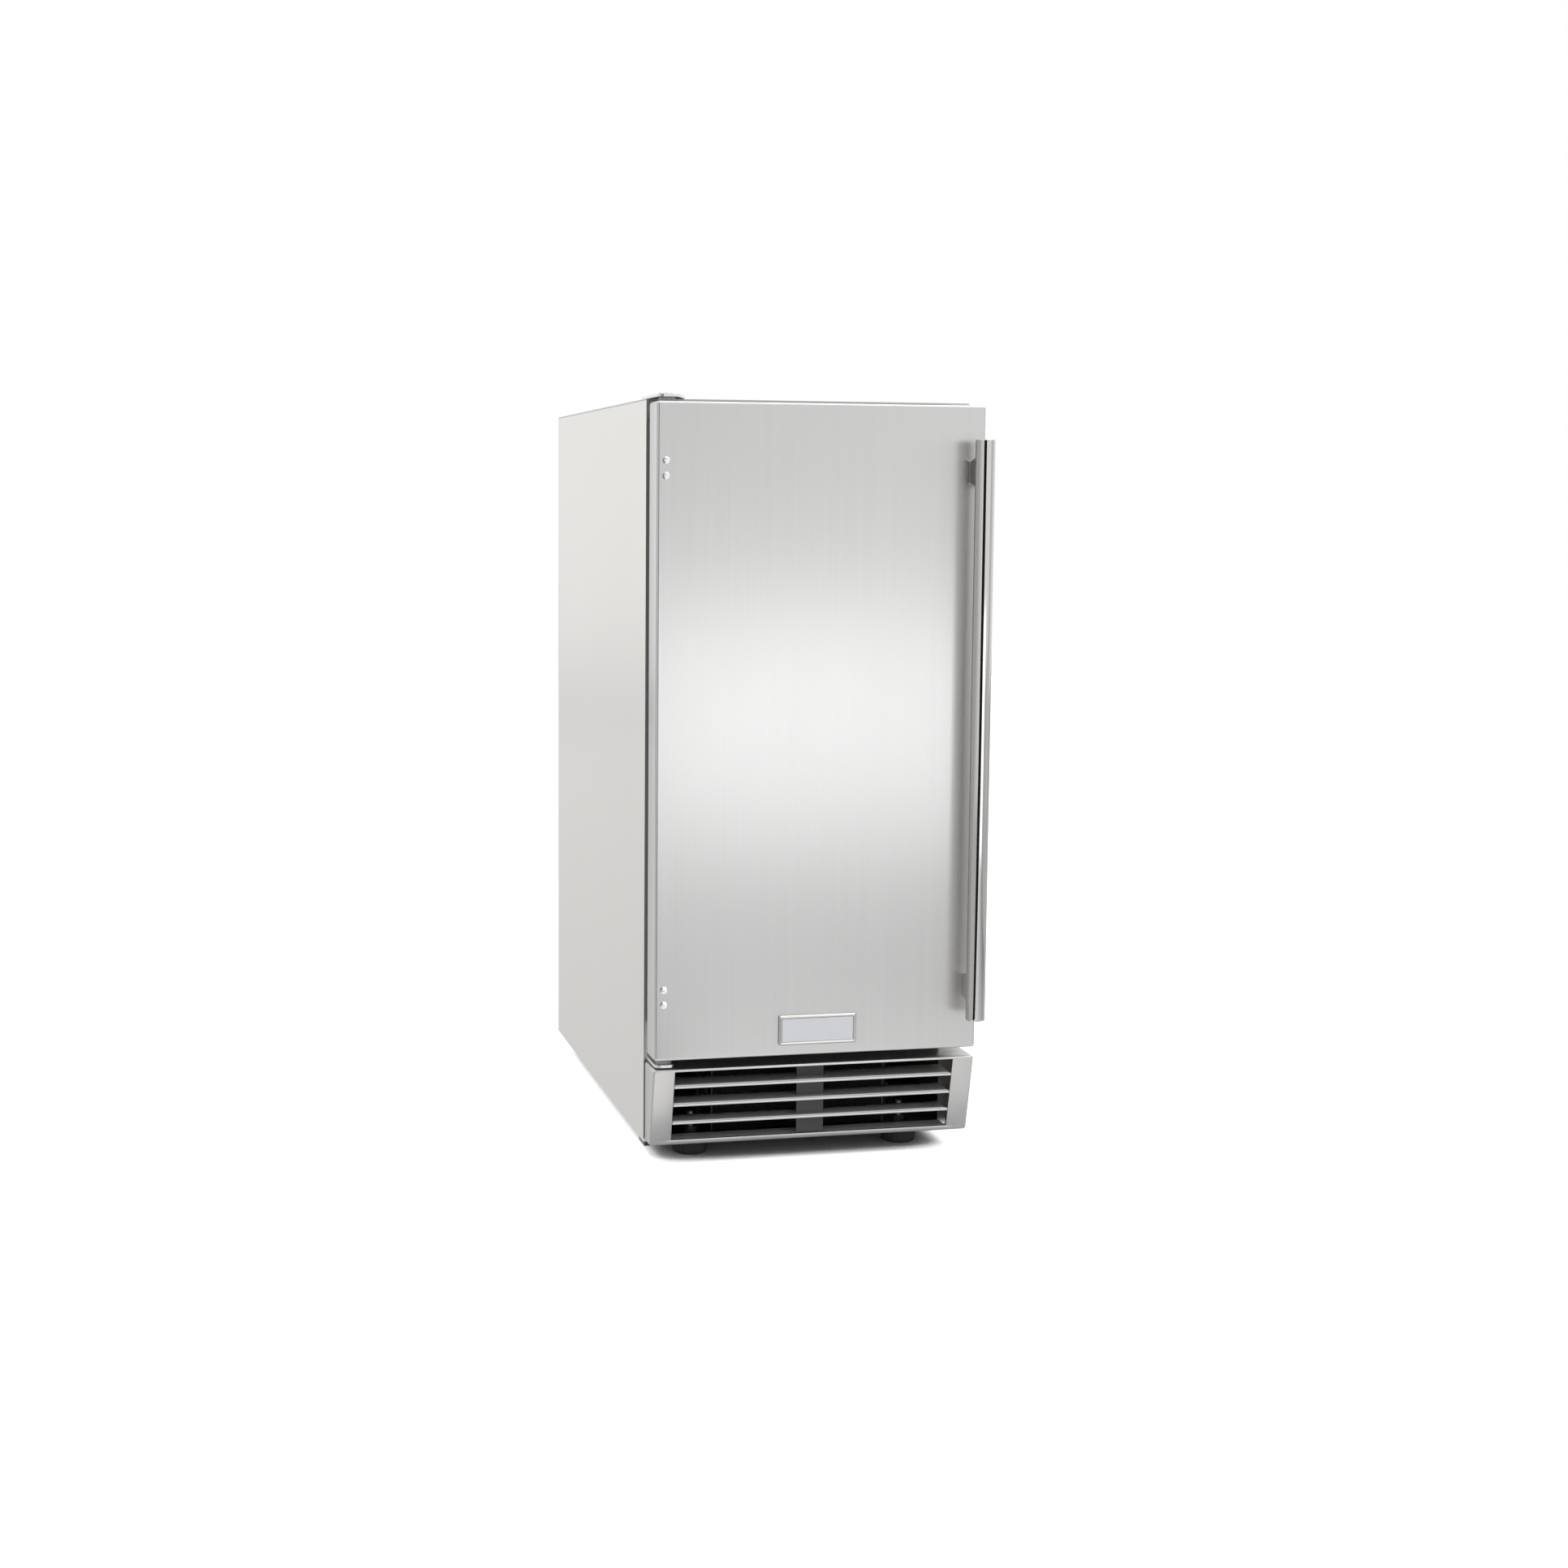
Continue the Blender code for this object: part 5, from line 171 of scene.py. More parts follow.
@dataclass(frozen=True)
class Finish:
    """What all finishes share.

    Attributes:
        name: the material's name.
        colour: its base colour.
        roughness: its mean roughness.
        metallic: 1 for bare metal.
    """

    name: str
    colour: Colour
    roughness: float
    metallic: float = 0.0

    def pattern(self, graph: Graph) -> dict:
        """Return the inputs that vary over the surface."""
        raise NotImplementedError

    def constants(self) -> dict:
        """Return the inputs that are the same all over."""
        return {"Metallic": self.metallic}

    def material(self) -> bpy.types.Material:
        """Return the material, made on the first call and named apart from the frame's own."""
        label = f"{self.name}_finish"
        made = bpy.data.materials.get(label)
        if not made:
            made = bpy.data.materials.new(label)
            made.diffuse_color = (*self.colour, 1.0)
            graph = Graph(made)
            graph.show(self.surface(graph))
        return made

    def surface(self, graph: Graph) -> Wire:
        """Return the shader."""
        return graph.node("ShaderNodeBsdfPrincipled", {**self.constants(), **self.pattern(graph)})


@dataclass(frozen=True)
class BrushedSteel(Finish):
    """Sheet or bar with fine parallel scratches and soft clouds.

    Attributes:
        grain: the way of the scratches.
        fineness: scratches to a metre.
        coarser: how many times wider the second set of scratches is.
        fine_share: the share of the fine set.
        contrast: how much darker and lighter than the colour they are.
        depth: their bump.
        spread: how far the roughness varies.
        cloud: how far soft clouds vary it.
        veil: the share of light in a second gloss, drawn out across the scratches.
        stretch: how far that one is drawn out.
        haze: how much rougher it is.
    """

    metallic: float = 1.0
    grain: Grain = Grain.UPRIGHT
    fineness: float = 900.0
    coarser: float = 7.0
    fine_share: float = 0.65
    contrast: float = 0.07
    depth: float = 0.1
    spread: float = 0.10
    cloud: float = 0.05
    veil: float = 0.0
    stretch: float = 0.9
    haze: float = 0.2

    def surface(self, graph: Graph) -> Wire:
        """Return the clear gloss, mixed with the drawn-out one where there is a veil."""
        inputs = {**self.constants(), **self.pattern(graph)}
        clear = graph.node("ShaderNodeBsdfPrincipled", inputs)
        if not self.veil:
            return clear
        hazy = {**inputs, "Roughness": inputs["Roughness"] + self.haze, "Anisotropic": self.stretch}
        drawn = graph.node("ShaderNodeBsdfPrincipled", hazy)
        return graph.node("ShaderNodeMixShader", {0: self.veil, 1: clear, 2: drawn})

    def pattern(self, graph: Graph) -> dict:
        """Return the scratches in colour, roughness and height."""
        along = self.grain.value
        fine = graph.noise(graph.place(tuple(part * self.fineness for part in along)), detail=3.0)
        wide = graph.noise(graph.place(tuple(part * self.fineness / self.coarser for part in along)))
        cloud = graph.noise(graph.place((3.0, 3.0, 2.0)), detail=3.0, rough=0.6)
        scratches = fine * self.fine_share + wide * (1 - self.fine_share)
        low, high = shade(self.colour, 1 - self.contrast), shade(self.colour, 1 + self.contrast)
        base = self.roughness - (self.spread + self.cloud) / 2
        return {
            "Base Color": graph.mix(scratches, low, high),
            "Roughness": scratches * self.spread + cloud * self.cloud + base,
            "Normal": graph.bump(scratches, self.depth, 0.0002),
        }


@dataclass(frozen=True)
class PlatedMetal(Finish):
    """Plated, drawn or turned metal with handling marks and dull patches."""

    metallic: float = 1.0
    patch: float = 45.0
    dull: float = 0.75
    turned: float = 0.0

    def pattern(self, graph: Graph) -> dict:
        """Return dull patches, and turning marks where there are any."""
        place = graph.place()
        patches = graph.noise(place, self.patch, 4.0, 0.6)
        fine = graph.noise(graph.place((1.0, 1.0, 1.0 + self.turned)), 700.0, 2.0)
        tone = graph.mix(patches ** 1.6, shade(self.colour, 1.05), shade(self.colour, self.dull))
        return {
            "Base Color": tone,
            "Roughness": patches * 0.22 + fine * 0.06 + (self.roughness - 0.14),
            "Normal": graph.bump(fine, 0.12, 0.0001),
        }


@dataclass(frozen=True)
class Galvanised(Finish):
    """Zinc-dipped sheet with its spangle."""

    metallic: float = 1.0
    spangle: float = 110.0

    def pattern(self, graph: Graph) -> dict:
        """Return crystals that differ a little in tone and gloss."""
        place = graph.place()
        crystal = graph.node("ShaderNodeSeparateColor", {0: graph.cells(place, self.spangle)})
        fine = graph.noise(place, 900.0, 2.0)
        return {
            "Base Color": graph.mix(crystal, shade(self.colour, 0.86), shade(self.colour, 1.14)),
            "Roughness": crystal * 0.18 + fine * 0.05 + (self.roughness - 0.11),
            "Normal": graph.bump(fine, 0.08, 0.0001),
        }


@dataclass(frozen=True)
class Moulded(Finish):
    """Moulded plastic or rubber with a spark-eroded grain, flow marks and light dust."""

    texture: float = 1200.0
    relief: float = 0.12
    dust: float = 0.06
    coat: float = 0.0
    glow: float = 0.0

    def constants(self) -> dict:
        """Return the plastic's fixed inputs."""
        return {"Coat Weight": self.coat, "Coat Roughness": 0.2, "Subsurface Weight": self.glow}

    def pattern(self, graph: Graph) -> dict:
        """Return the moulded grain, with dust lightening the hollows."""
        place = graph.place()
        grain = graph.noise(place, self.texture, 2.0)
        flow = graph.noise(graph.place((1.0, 1.0, 0.3)), 14.0, 3.0, 0.55)
        mark = flow * 0.7 + grain * 0.3
        light = tuple(part + (1.0 - part) * self.dust for part in self.colour) + (1.0,)
        return {
            "Base Color": graph.mix(mark, shade(self.colour, 0.94), light),
            "Roughness": grain * 0.10 + flow * 0.08 + (self.roughness - 0.09),
            "Normal": graph.bump(grain, self.relief, 0.00015),
        }


@dataclass(frozen=True)
class Enamel(Finish):
    """Sprayed and baked enamel with its orange peel."""

    peel: float = 260.0

    def constants(self) -> dict:
        """Return the enamel's fixed inputs."""
        return {"Metallic": self.metallic, "Coat Weight": 0.3, "Coat Roughness": 0.15}

    def pattern(self, graph: Graph) -> dict:
        """Return the orange peel and a film of dust."""
        place = graph.place()
        peel = graph.noise(place, self.peel, 1.0)
        dust = graph.noise(place, 24.0, 4.0, 0.65)
        light = tuple(part + 0.05 for part in self.colour) + (1.0,)
        return {
            "Base Color": graph.mix(dust ** 2.0, shade(self.colour, 1.0), light),
            "Roughness": dust * 0.2 + (self.roughness - 0.1),
            "Normal": graph.bump(peel, 0.10, 0.0003),
        }


@dataclass(frozen=True)
class RigidFoam(Finish):
    """Blown foam with its open cells."""

    cell: float = 420.0

    def pattern(self, graph: Graph) -> dict:
        """Return cells in colour and height."""
        place = graph.place()
        cell = graph.cells(place, self.cell, "Distance")
        patch = graph.noise(place, 20.0, 3.0)
        return {
            "Base Color": graph.mix(cell * 0.6 + patch * 0.4, shade(self.colour, 0.8), shade(self.colour, 1.1)),
            "Roughness": patch * 0.1 + (self.roughness - 0.05),
            "Normal": graph.bump(cell, 0.4, 0.0006),
        }


# Painted light: the side and rear panels' steel is coloured well above the top panel's same steel just below,
# to brighten the sides.
PAINTED_LIGHT_SATIN = BrushedSteel("brushed_stainless", (0.815, 0.803, 0.775), 0.36, depth=0.06)
SATIN_TOP = BrushedSteel("brushed_stainless_top", (0.62, 0.615, 0.60), 0.36, grain=Grain.DEEP)
GRILLE_STEEL = BrushedSteel("grille_stainless", (0.635, 0.629, 0.620), 0.34, depth=0.06)
DOOR_STEEL = BrushedSteel("door_stainless", (0.750, 0.745, 0.741), 0.24, depth=0.04, veil=0.5)
# Painted light: the blades' steel is lighter and less metallic than the grille's, so that their tops show lit
# grey.
PAINTED_LIGHT_LOUVRE_STEEL = BrushedSteel(
    "louvre_stainless_painted_light", (0.84, 0.83, 0.83), 0.40, metallic=0.55, grain=Grain.ACROSS
)
POLISHED = BrushedSteel(
    "polished_stainless", (0.64, 0.625, 0.61), 0.09, fineness=1500.0, depth=0.0, spread=0.05
)
SCREW_STEEL = PlatedMetal("screw_stainless", (1.0, 1.0, 1.0), 0.30, dull=0.98)
HINGE_ZINC = PlatedMetal("hinge_zinc", (0.88, 0.88, 0.88), 0.36, dull=0.9)
# Painted shade: the grille's steel centre brace is coloured near black, standing in for the shade behind the
# blades.
PAINTED_SHADE_STEEL = Moulded("painted_shade_steel", (0.055, 0.056, 0.056), 0.5, relief=0.05, dust=0.02)
# Painted shade: the condenser tubes' copper is coloured near black, standing in for the shade behind the
# grille.
SHADE_DARKENED_COPPER = PlatedMetal("shade_darkened_copper", (0.050, 0.036, 0.030), 0.6, dull=0.55)
PLAQUE_FACE = Moulded("plaque_enamel", (0.94, 0.95, 0.99), 0.25, relief=0.02, coat=0.5)
FINISHES: dict[str, Finish] = {
    finish.name: finish
    for finish in (
        PAINTED_LIGHT_SATIN,
        DOOR_STEEL,
        POLISHED,
        PlatedMetal("zinc_plate", (0.58, 0.585, 0.59), 0.34, turned=3.0),
        Galvanised("galvanised_sheet", (0.52, 0.53, 0.54), 0.42),
        Enamel("black_enamel", (0.020, 0.020, 0.022), 0.36),
        Moulded("black_plastic", (0.026, 0.026, 0.027), 0.48, dust=0.02),
        Moulded("grey_plastic", (0.32, 0.33, 0.34), 0.45),
        Moulded("white_plastic", (0.80, 0.81, 0.80), 0.34, relief=0.05, coat=0.25, dust=0.3),
        Moulded("frosted_plastic", (0.72, 0.78, 0.83), 0.38, relief=0.08, glow=0.15),
        Moulded("clear_hose", (0.68, 0.69, 0.64), 0.28, relief=0.03, coat=0.3, glow=0.2),
        Moulded("black_rubber", (0.022, 0.022, 0.023), 0.62, texture=700.0, relief=0.2, dust=0.03),
        Moulded("seal_rubber", (0.034, 0.034, 0.034), 0.55, texture=800.0, dust=0.04),
        PlatedMetal("copper", (0.74, 0.40, 0.25), 0.30, dull=0.55),
        PlatedMetal("nickel_plate", (0.64, 0.62, 0.57), 0.26, patch=60.0, dull=0.85),
        # Painted shade: the aluminium condenser fins are coloured near black, standing in for the shade behind
        # the grille.
        PlatedMetal("aluminium_fins", (0.10, 0.102, 0.104), 0.6, patch=90.0, dull=0.7),
        PlatedMetal("brass", (0.76, 0.60, 0.30), 0.28, dull=0.7, turned=4.0),
        RigidFoam("foam", (0.78, 0.69, 0.42), 0.85),
    )
}


@dataclass
class Surface:
    """A grid of points that makes a closed skin.

    Attributes:
        points: rows by columns by three, each row a closed ring.
        ring_rows: whether the last row joins the first; otherwise a flat face closes each of them.
        flat_caps: whether those faces are shaded flat.
    """

    points: np.ndarray
    ring_rows: bool = False
    flat_caps: bool = True

    def faces(self) -> tuple[list, list]:
        """Return the faces, each cell's four corners and the caps, and which are smooth."""
        rows, columns = self.points.shape[:2]
        ring = np.arange(columns)
        i, j = np.meshgrid(np.arange(rows if self.ring_rows else rows - 1), ring, indexing="ij")
        below, beside = (i + 1) % rows, (j + 1) % columns
        corners = (i * columns + j, i * columns + beside, below * columns + beside, below * columns + j)
        faces = np.stack(corners, -1).reshape(-1, 4).tolist()
        smooth = [True] * len(faces)
        if not self.ring_rows:
            faces += [ring[::-1].tolist(), (ring + (rows - 1) * columns).tolist()]
            smooth += [not self.flat_caps] * 2
        return faces, smooth

    def volume(self) -> float:
        """Return the signed volume: the sum of the tetrahedra from the middle to each triangle."""
        flat = self.points.reshape(-1, 3)
        flat = flat - flat.mean(0)
        faces, _ = self.faces()
        quads = np.array([face for face in faces if len(face) == 4])
        rings = [flat[quads.T], *(flat[face][:, None] for face in faces if len(face) > 4)]
        return float(sum((ring[:1] * np.cross(ring[1:-1], ring[2:])).sum() for ring in rings))

    def outward(self) -> "Surface":
        """Return the same skin with its faces turned outwards."""
        if self.volume() >= 0:
            return self
        return Surface(self.points[:, ::-1], self.ring_rows, self.flat_caps)


def nested_rectangles(rows: Sequence[Sequence[float]], steps: int = 6) -> np.ndarray:
    """Return rounded rectangles across X and Z, one behind the other along Y.

    Each corner is an arc: its middle lies a radius inside both edges, and each point is that
    middle plus the radius times the cosine along X and the sine along Z.

    Args:
        rows: for each rectangle its low x, high x, low z, high z, y and corner radius.
        steps: cells in each corner.

    Returns:
        The points, rectangle by corner point by three.
    """
    x_low, x_high, z_low, z_high, depth, corner = np.moveaxis(np.asarray(rows, float), 1, 0)[..., None]
    corner = np.maximum(corner, LEAST_CORNER)
    angle = ((np.arange(4)[:, None] * 0.5 + np.linspace(0, 0.5, steps + 1)) * math.pi).reshape(1, -1)
    right = np.repeat([True, False, False, True], steps + 1)
    upper = np.repeat([True, True, False, False], steps + 1)
    x = np.where(right, x_high - corner, x_low + corner) + corner * np.cos(angle)
    z = np.where(upper, z_high - corner, z_low + corner) + corner * np.sin(angle)
    return np.stack([x, np.broadcast_to(depth, x.shape), z], -1)


def grown(low: Point, high: Point, corner: float, profile: Sequence) -> list:
    """Return rectangle rows that follow a profile of (growth outwards, y)."""
    return [
        (low[0] - out, high[0] + out, low[2] - out, high[2] + out, y, corner + out) for out, y in profile
    ]


def turns(steps: int) -> np.ndarray:
    """Return equal angles round one full turn."""
    return np.arange(steps) * (2 * math.pi / steps)


def turned(profile: Sequence, centre: Point, axis: str = "Z", steps: int = 24) -> np.ndarray:
    """Return a profile of (radius, height) turned about an axis.

    Each point is the centre, plus the radius times the cosine and sine of the turn, plus the
    height along the axis.

    Args:
        profile: (radius, height) pairs.
        centre: a point on the axis.
        axis: "X" or "Z".
        steps: cells round the turn.

    Returns:
        The points, profile by turn by three.
    """
    radius, height = (np.asarray(part, float)[:, None] for part in zip(*profile))
    angle = turns(steps)[None]
    across, over = radius * np.cos(angle), radius * np.sin(angle)
    along = np.broadcast_to(height, across.shape)
    order = {"X": (along, across, over), "Z": (across, over, along)}[axis]
    return np.stack(order, -1) + np.asarray(centre, float)


def axis_foot(low: Point, high: Point) -> tuple[float, float, float]:
    """Return the point at height zero on the upright axis through a box."""
    return ((low[0] + high[0]) / 2, (low[1] + high[1]) / 2, 0.0)


def swollen(points: np.ndarray, centre: Point, scale: np.ndarray) -> Surface:
    """Return a skin turned about an upright axis, with each distance from it times a scale."""
    middle = np.asarray(centre[:2])
    points[..., :2] = middle + (points[..., :2] - middle) * scale[..., None]
    return Surface(points)


def arc(centre: tuple[float, float], radius: float, start: float, end: float, steps: int) -> list:
    """Return points on an arc, from one angle to another in degrees."""
    angle = np.radians(np.linspace(start, end, steps + 1))
    pairs = np.stack([centre[0] + radius * np.cos(angle), centre[1] + radius * np.sin(angle)], -1)
    return [tuple(pair) for pair in pairs]


def swept(path: np.ndarray, radius: float, steps: int) -> np.ndarray:
    """Return a tube along a path that never runs along Y.

    At each point the ring lies across the path's slope: the radius times the cosine along Y, and
    times the sine along the slope crossed with it.

    Args:
        path: points by three.
        radius: the tube's radius.
        steps: cells round the tube.

    Returns:
        The points, path by turn by three.
    """
    slope = np.gradient(path, axis=0)
    slope /= np.linalg.norm(slope, axis=1, keepdims=True)
    second = np.cross(slope, (0.0, 1.0, 0.0))
    second /= np.linalg.norm(second, axis=1, keepdims=True)
    first = np.cross(second, slope)
    angle = turns(steps)
    ring = first[:, None] * np.cos(angle)[None, :, None] + second[:, None] * np.sin(angle)[None, :, None]
    return path[:, None] + ring * radius


def linked(name: str, data: bpy.types.ID) -> bpy.types.Object:
    """Return a new object that shows the data, put into the scene."""
    made = bpy.data.objects.new(name, data)
    bpy.context.scene.collection.objects.link(made)
    return made


def posed(x: np.ndarray, y: np.ndarray, z: np.ndarray, place: Point) -> Matrix:
    """Return the matrix of an object that stands at a place with its axes along x, y and z."""
    matrix = np.eye(4)
    matrix[:3] = np.stack([x, y, z, place], -1)
    return Matrix(matrix.tolist())


class Workshop:
    """Puts pieces and finishes on the frame, and reports each of them."""

    def dress(self, *nodes: str, finish: Optional[Finish] = None) -> None:
        """Give frame nodes a finish: the one named, or that of their record slot."""
        slots = {part["node"]: part["material_slot"] for part in frame["record"]["subparts"]}
        for name in nodes:
            node = frame["nodes"][name]
            material = (finish or FINISHES[slots[name]]).material()
            if not node.material_slots:
                node.data.materials.append(material)
            for slot in node.material_slots:
                slot.material = material
            log.info("dressed %s", name)

    def add(
        self, name: str, surfaces: Sequence[Surface], finish: Finish, slot: str, body: str,
        stands_for: Sequence[str] = (),
    ) -> None:
        """Make one piece from its skins.

        Args:
            name: the piece's name.
            surfaces: its closed skins.
            finish: its finish.
            slot: the record's material slot; not used.
            body: the frame body that it rides on.
            stands_for: frame nodes that it replaces.
        """
        points, faces, smooth, offset = [], [], [], 0
        for surface in surfaces:
            skin = surface.outward()
            own, even = skin.faces()
            points.append(skin.points.reshape(-1, 3))
            faces += [[index + offset for index in face] for face in own]
            smooth += even
            offset += len(points[-1])
        self.place(name, np.concatenate(points), faces, smooth, finish, slot, body, stands_for)

    def boxes(
        self, name: str, low: Sequence, high: Sequence, finish: Finish, slot: str, body: str,
        stands_for: Sequence[str] = (),
    ) -> None:
        """Make one piece from plain boxes, given by their lowest and highest corners."""
        low, high = np.atleast_2d(low), np.atleast_2d(high)
        pick = np.array([(x, y, z) for z in (0, 1) for y in (0, 1) for x in (0, 1)])
        points = np.where(pick == 1, high[:, None], low[:, None]).reshape(-1, 3)
        corners = [(0, 2, 3, 1), (4, 5, 7, 6), (0, 1, 5, 4), (2, 6, 7, 3), (0, 4, 6, 2), (1, 3, 7, 5)]
        faces = (np.arange(len(low))[:, None, None] * len(pick) + np.array(corners)).reshape(-1, 4).tolist()
        self.place(name, points, faces, [False] * len(faces), finish, slot, body, stands_for)

    def place(
        self, name: str, points: np.ndarray, faces: list, smooth: list, finish: Finish, slot: str,
        body: str, stands_for: Sequence[str],
    ) -> None:
        """Put finished points and faces into the scene as one piece."""
        mesh = bpy.data.meshes.new(name)
        mesh.from_pydata(points.tolist(), [], faces)
        mesh.polygons.foreach_set("use_smooth", np.asarray(smooth, bool))
        mesh.materials.append(finish.material())
        mesh.update()
        piece = linked(name, mesh)
        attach(piece, body)
        if stands_for:
            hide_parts(*stands_for)
        log.info("made %s: %d faces on %s", name, len(faces), body)


@dataclass
class Door:
    """The hinged door: its pan, inner pan, seal, handle, plaque and corner screws."""

    shop: Workshop
    edge: float = 0.003
    corner: float = 0.0035
    sheet: float = 0.0012
    liner_wall: float = 0.0025
    liner_corner: float = 0.003
    plug: tuple = (-0.144, 0.144, 0.1785, 0.8195)
    plug_corner: float = 0.016
    plug_step: float = 0.002
    seal_width: float = 0.018
    seal_corner: float = 0.014
    bar_edge: float = 0.0012
    bar_dome: float = 0.0003
    bar_steps: int = 72
    screw_radius: float = 0.0042
    screw_dome: float = 0.000686
    screw_rim: float = 0.0003
    screw_inset: float = 0.008
    screw_rows: int = 22
    screw_steps: int = 64
    recess_half_width: float = 0.13
    recess_reach: float = 0.55
    recess_depth: float = 0.0003
    recess_fades: tuple = (60, 40)
    plaque_border: float = 0.0035
    plaque_corner: float = 0.002
    plaque_recess: float = 0.0008

    def pan(self) -> None:
        """Make the outer pan: rectangles that grow round the front edge, run back and return inside.

        The front edge is a quarter circle from the face to the side.
        """
        low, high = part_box("door_skin")
        front, rear, inner, r = low[1], high[1], self.sheet, self.edge
        outside = [(-r - 0.0006, front), (-r - 0.0001, front), *arc((-r, front + r), r, -90, 0, 8)]
        outside += [(0, front + r + 0.0004), (0, rear - 0.0006), (-0.0004, rear), (-inner + 0.0003, rear)]
        inside = [(-inner, rear - 0.0004), (-inner, front + inner + 0.001), (-inner - 0.001, front + inner)]
        skin = Surface(nested_rectangles(grown(low, high, self.corner, outside + inside)))
        self.shop.add("door_pan", [skin], DOOR_STEEL, "door_stainless", "door", ["door_skin"])

    def inner_pan(self) -> None:
        """Make the moulded inner pan: a flange, a rolled step and a plug with a dished face."""
        low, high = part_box("door_liner")
        rear, face, step = low[1], high[1], self.plug_step
        flange = rear + self.liner_wall
        profile = [(0.0, rear), (0.0, flange - 0.0005), (-0.0005, flange)]
        rows = grown(low, high, self.liner_corner, profile)
        left, right, bottom, top = self.plug
        profile = [(step, flange)]
        profile += [(step - step * math.sin(t), flange + step * (1 - math.cos(t)))
                    for t in np.linspace(0.3, math.pi / 2, 4)]
        profile += [(0.0, face - 0.004), (-0.0006, face - 0.0022), (-0.002, face - 0.0006), (-0.004, face)]
        profile += [(-0.012, face), (-0.0135, face - 0.0008), (-0.0155, face - 0.0012)]
        rows += grown((left, rear, bottom), (right, face, top), self.plug_corner, profile)
        self.shop.add(
            "door_inner_pan", [Surface(nested_rectangles(rows, 8))], FINISHES["white_plastic"],
            "white_plastic", "door", ["door_liner"],
        )

    def seal(self) -> None:
        """Make the bellows seal: a folded profile carried round the door's back."""
        low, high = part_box("door_gasket")
        half = [
            (1.0, 0.12), (0.86, 0.18), (0.80, 0.24), (0.90, 0.33), (0.94, 0.40), (0.84, 0.47),
            (0.78, 0.53), (0.88, 0.60), (0.95, 0.66), (0.96, 0.74), (0.96, 0.97), (0.93, 1.0),
        ]
        folds = [(-0.66, 0.0), (1.0, 0.0), *half, *((1 - x, y) for x, y in half[::-1]), (-0.66, 0.07)]
        profile = [(-self.seal_width * inward, low[1] + (high[1] - low[1]) * back) for inward, back in folds]
        skin = Surface(nested_rectangles(grown(low, high, self.seal_corner, profile), 8), ring_rows=True)
        self.shop.add("door_seal", [skin], FINISHES["seal_rubber"], "seal_rubber", "door", ["door_gasket"])

    def handle(self) -> None:
        """Make the round bar: a straight side, rounded rims and faintly domed ends."""
        low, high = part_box("handle_bar")
        centre = axis_foot(low, high)
        radius, edge, dome = (high[0] - low[0]) / 2, self.bar_edge, self.bar_dome
        flat = radius - edge
        lower = [(flat * 0.3, low[2] + 0.0002), (flat * 0.9, low[2] + dome)]
        lower += arc((flat, low[2] + edge + dome), edge, -90, 0, 5)
        upper = [(x, low[2] + high[2] - z) for x, z in reversed(lower)]
        sides = [(radius, z) for z in np.linspace(low[2] + 0.004, high[2] - 0.004, 9)]
        skin = Surface(turned(lower + sides + upper, centre, steps=self.bar_steps))
        self.shop.add("handle_tube", [skin], POLISHED, "polished_stainless", "door", ["handle_bar"])

    def plaque(self) -> None:
        """Make the blank plaque: a raised bevelled frame round a pale enamelled face."""
        low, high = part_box("badge_plaque")
        front, rear, border, corner = low[1], high[1], self.plaque_border, self.plaque_corner
        top = front + self.plaque_recess
        profile = [
            (-border - 0.0003, top + 0.0004), (-border, top), (-border + 0.0003, front + 0.0003),
            (-border + 0.0007, front), (-0.0016, front), (-0.0011, front + 0.0002),
            (-0.0003, front + 0.001), (0, front + 0.0016), (0, rear),
        ]
        rim = Surface(nested_rectangles(grown(low, high, corner, profile), 5))
        self.shop.add("plaque_frame", [rim], POLISHED, "polished_stainless", "door", ["badge_plaque"])
        face = [(-border - 0.0008, top - 0.0002), (-border - 0.0004, top), (-border - 0.0003, top + 0.0003)]
        skin = Surface(nested_rectangles(grown(low, high, corner, face), 5))
        self.shop.add("plaque_face", [skin], PLAQUE_FACE, "polished_stainless", "door")

    def corner_screws(self) -> None:
        """Make the domed screws with their cross recesses, two at each hinge corner.

        The dome is a parabola over the radius, less a recess where a point lies within half a
        slot's width of either arm. Its sides and ends fade out, faster with a larger number.
        """
        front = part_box("door_skin")[0][1]
        share = np.linspace(0.02, 1.0, self.screw_rows)[:, None]
        turn, fades = turns(self.screw_steps)[None], self.recess_fades
        across, over = share * np.cos(turn), share * np.sin(turn)
        near = np.minimum(np.abs(across), np.abs(over))
        beside = 1 + np.exp((near - self.recess_half_width) * fades[0])
        beyond = 1 + np.exp((share - self.recess_reach) * fades[1])
        height = self.screw_dome * (1 - share ** 2) - self.recess_depth / beside / beyond + self.screw_rim
        for side in ("upper", "lower"):
            name = f"{side}_hinge_screws"
            low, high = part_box(name)
            x = (low[0] + high[0]) / 2
            skins = []
            for z in (low[2] + self.screw_inset, high[2] - self.screw_inset):
                dome = np.stack(
                    [x + across * self.screw_radius, front - height, z + over * self.screw_radius], -1
                )
                seat = dome[-1:].copy()
                seat[..., 1] = front + 0.0002
                skins.append(Surface(np.concatenate([dome, seat]), flat_caps=False))
            self.shop.add(f"{side}_corner_screws", skins, SCREW_STEEL, "polished_stainless", "door", [name])

    def build(self) -> None:
        """Make the door's pieces and dress the nodes that stay."""
        for make in (self.pan, self.inner_pan, self.seal, self.handle, self.plaque, self.corner_screws):
            make()
        self.shop.dress(
            "door_foam", "upper_handle_bracket", "lower_handle_bracket", "top_hinge_bush", "bottom_hinge_bush"
        )


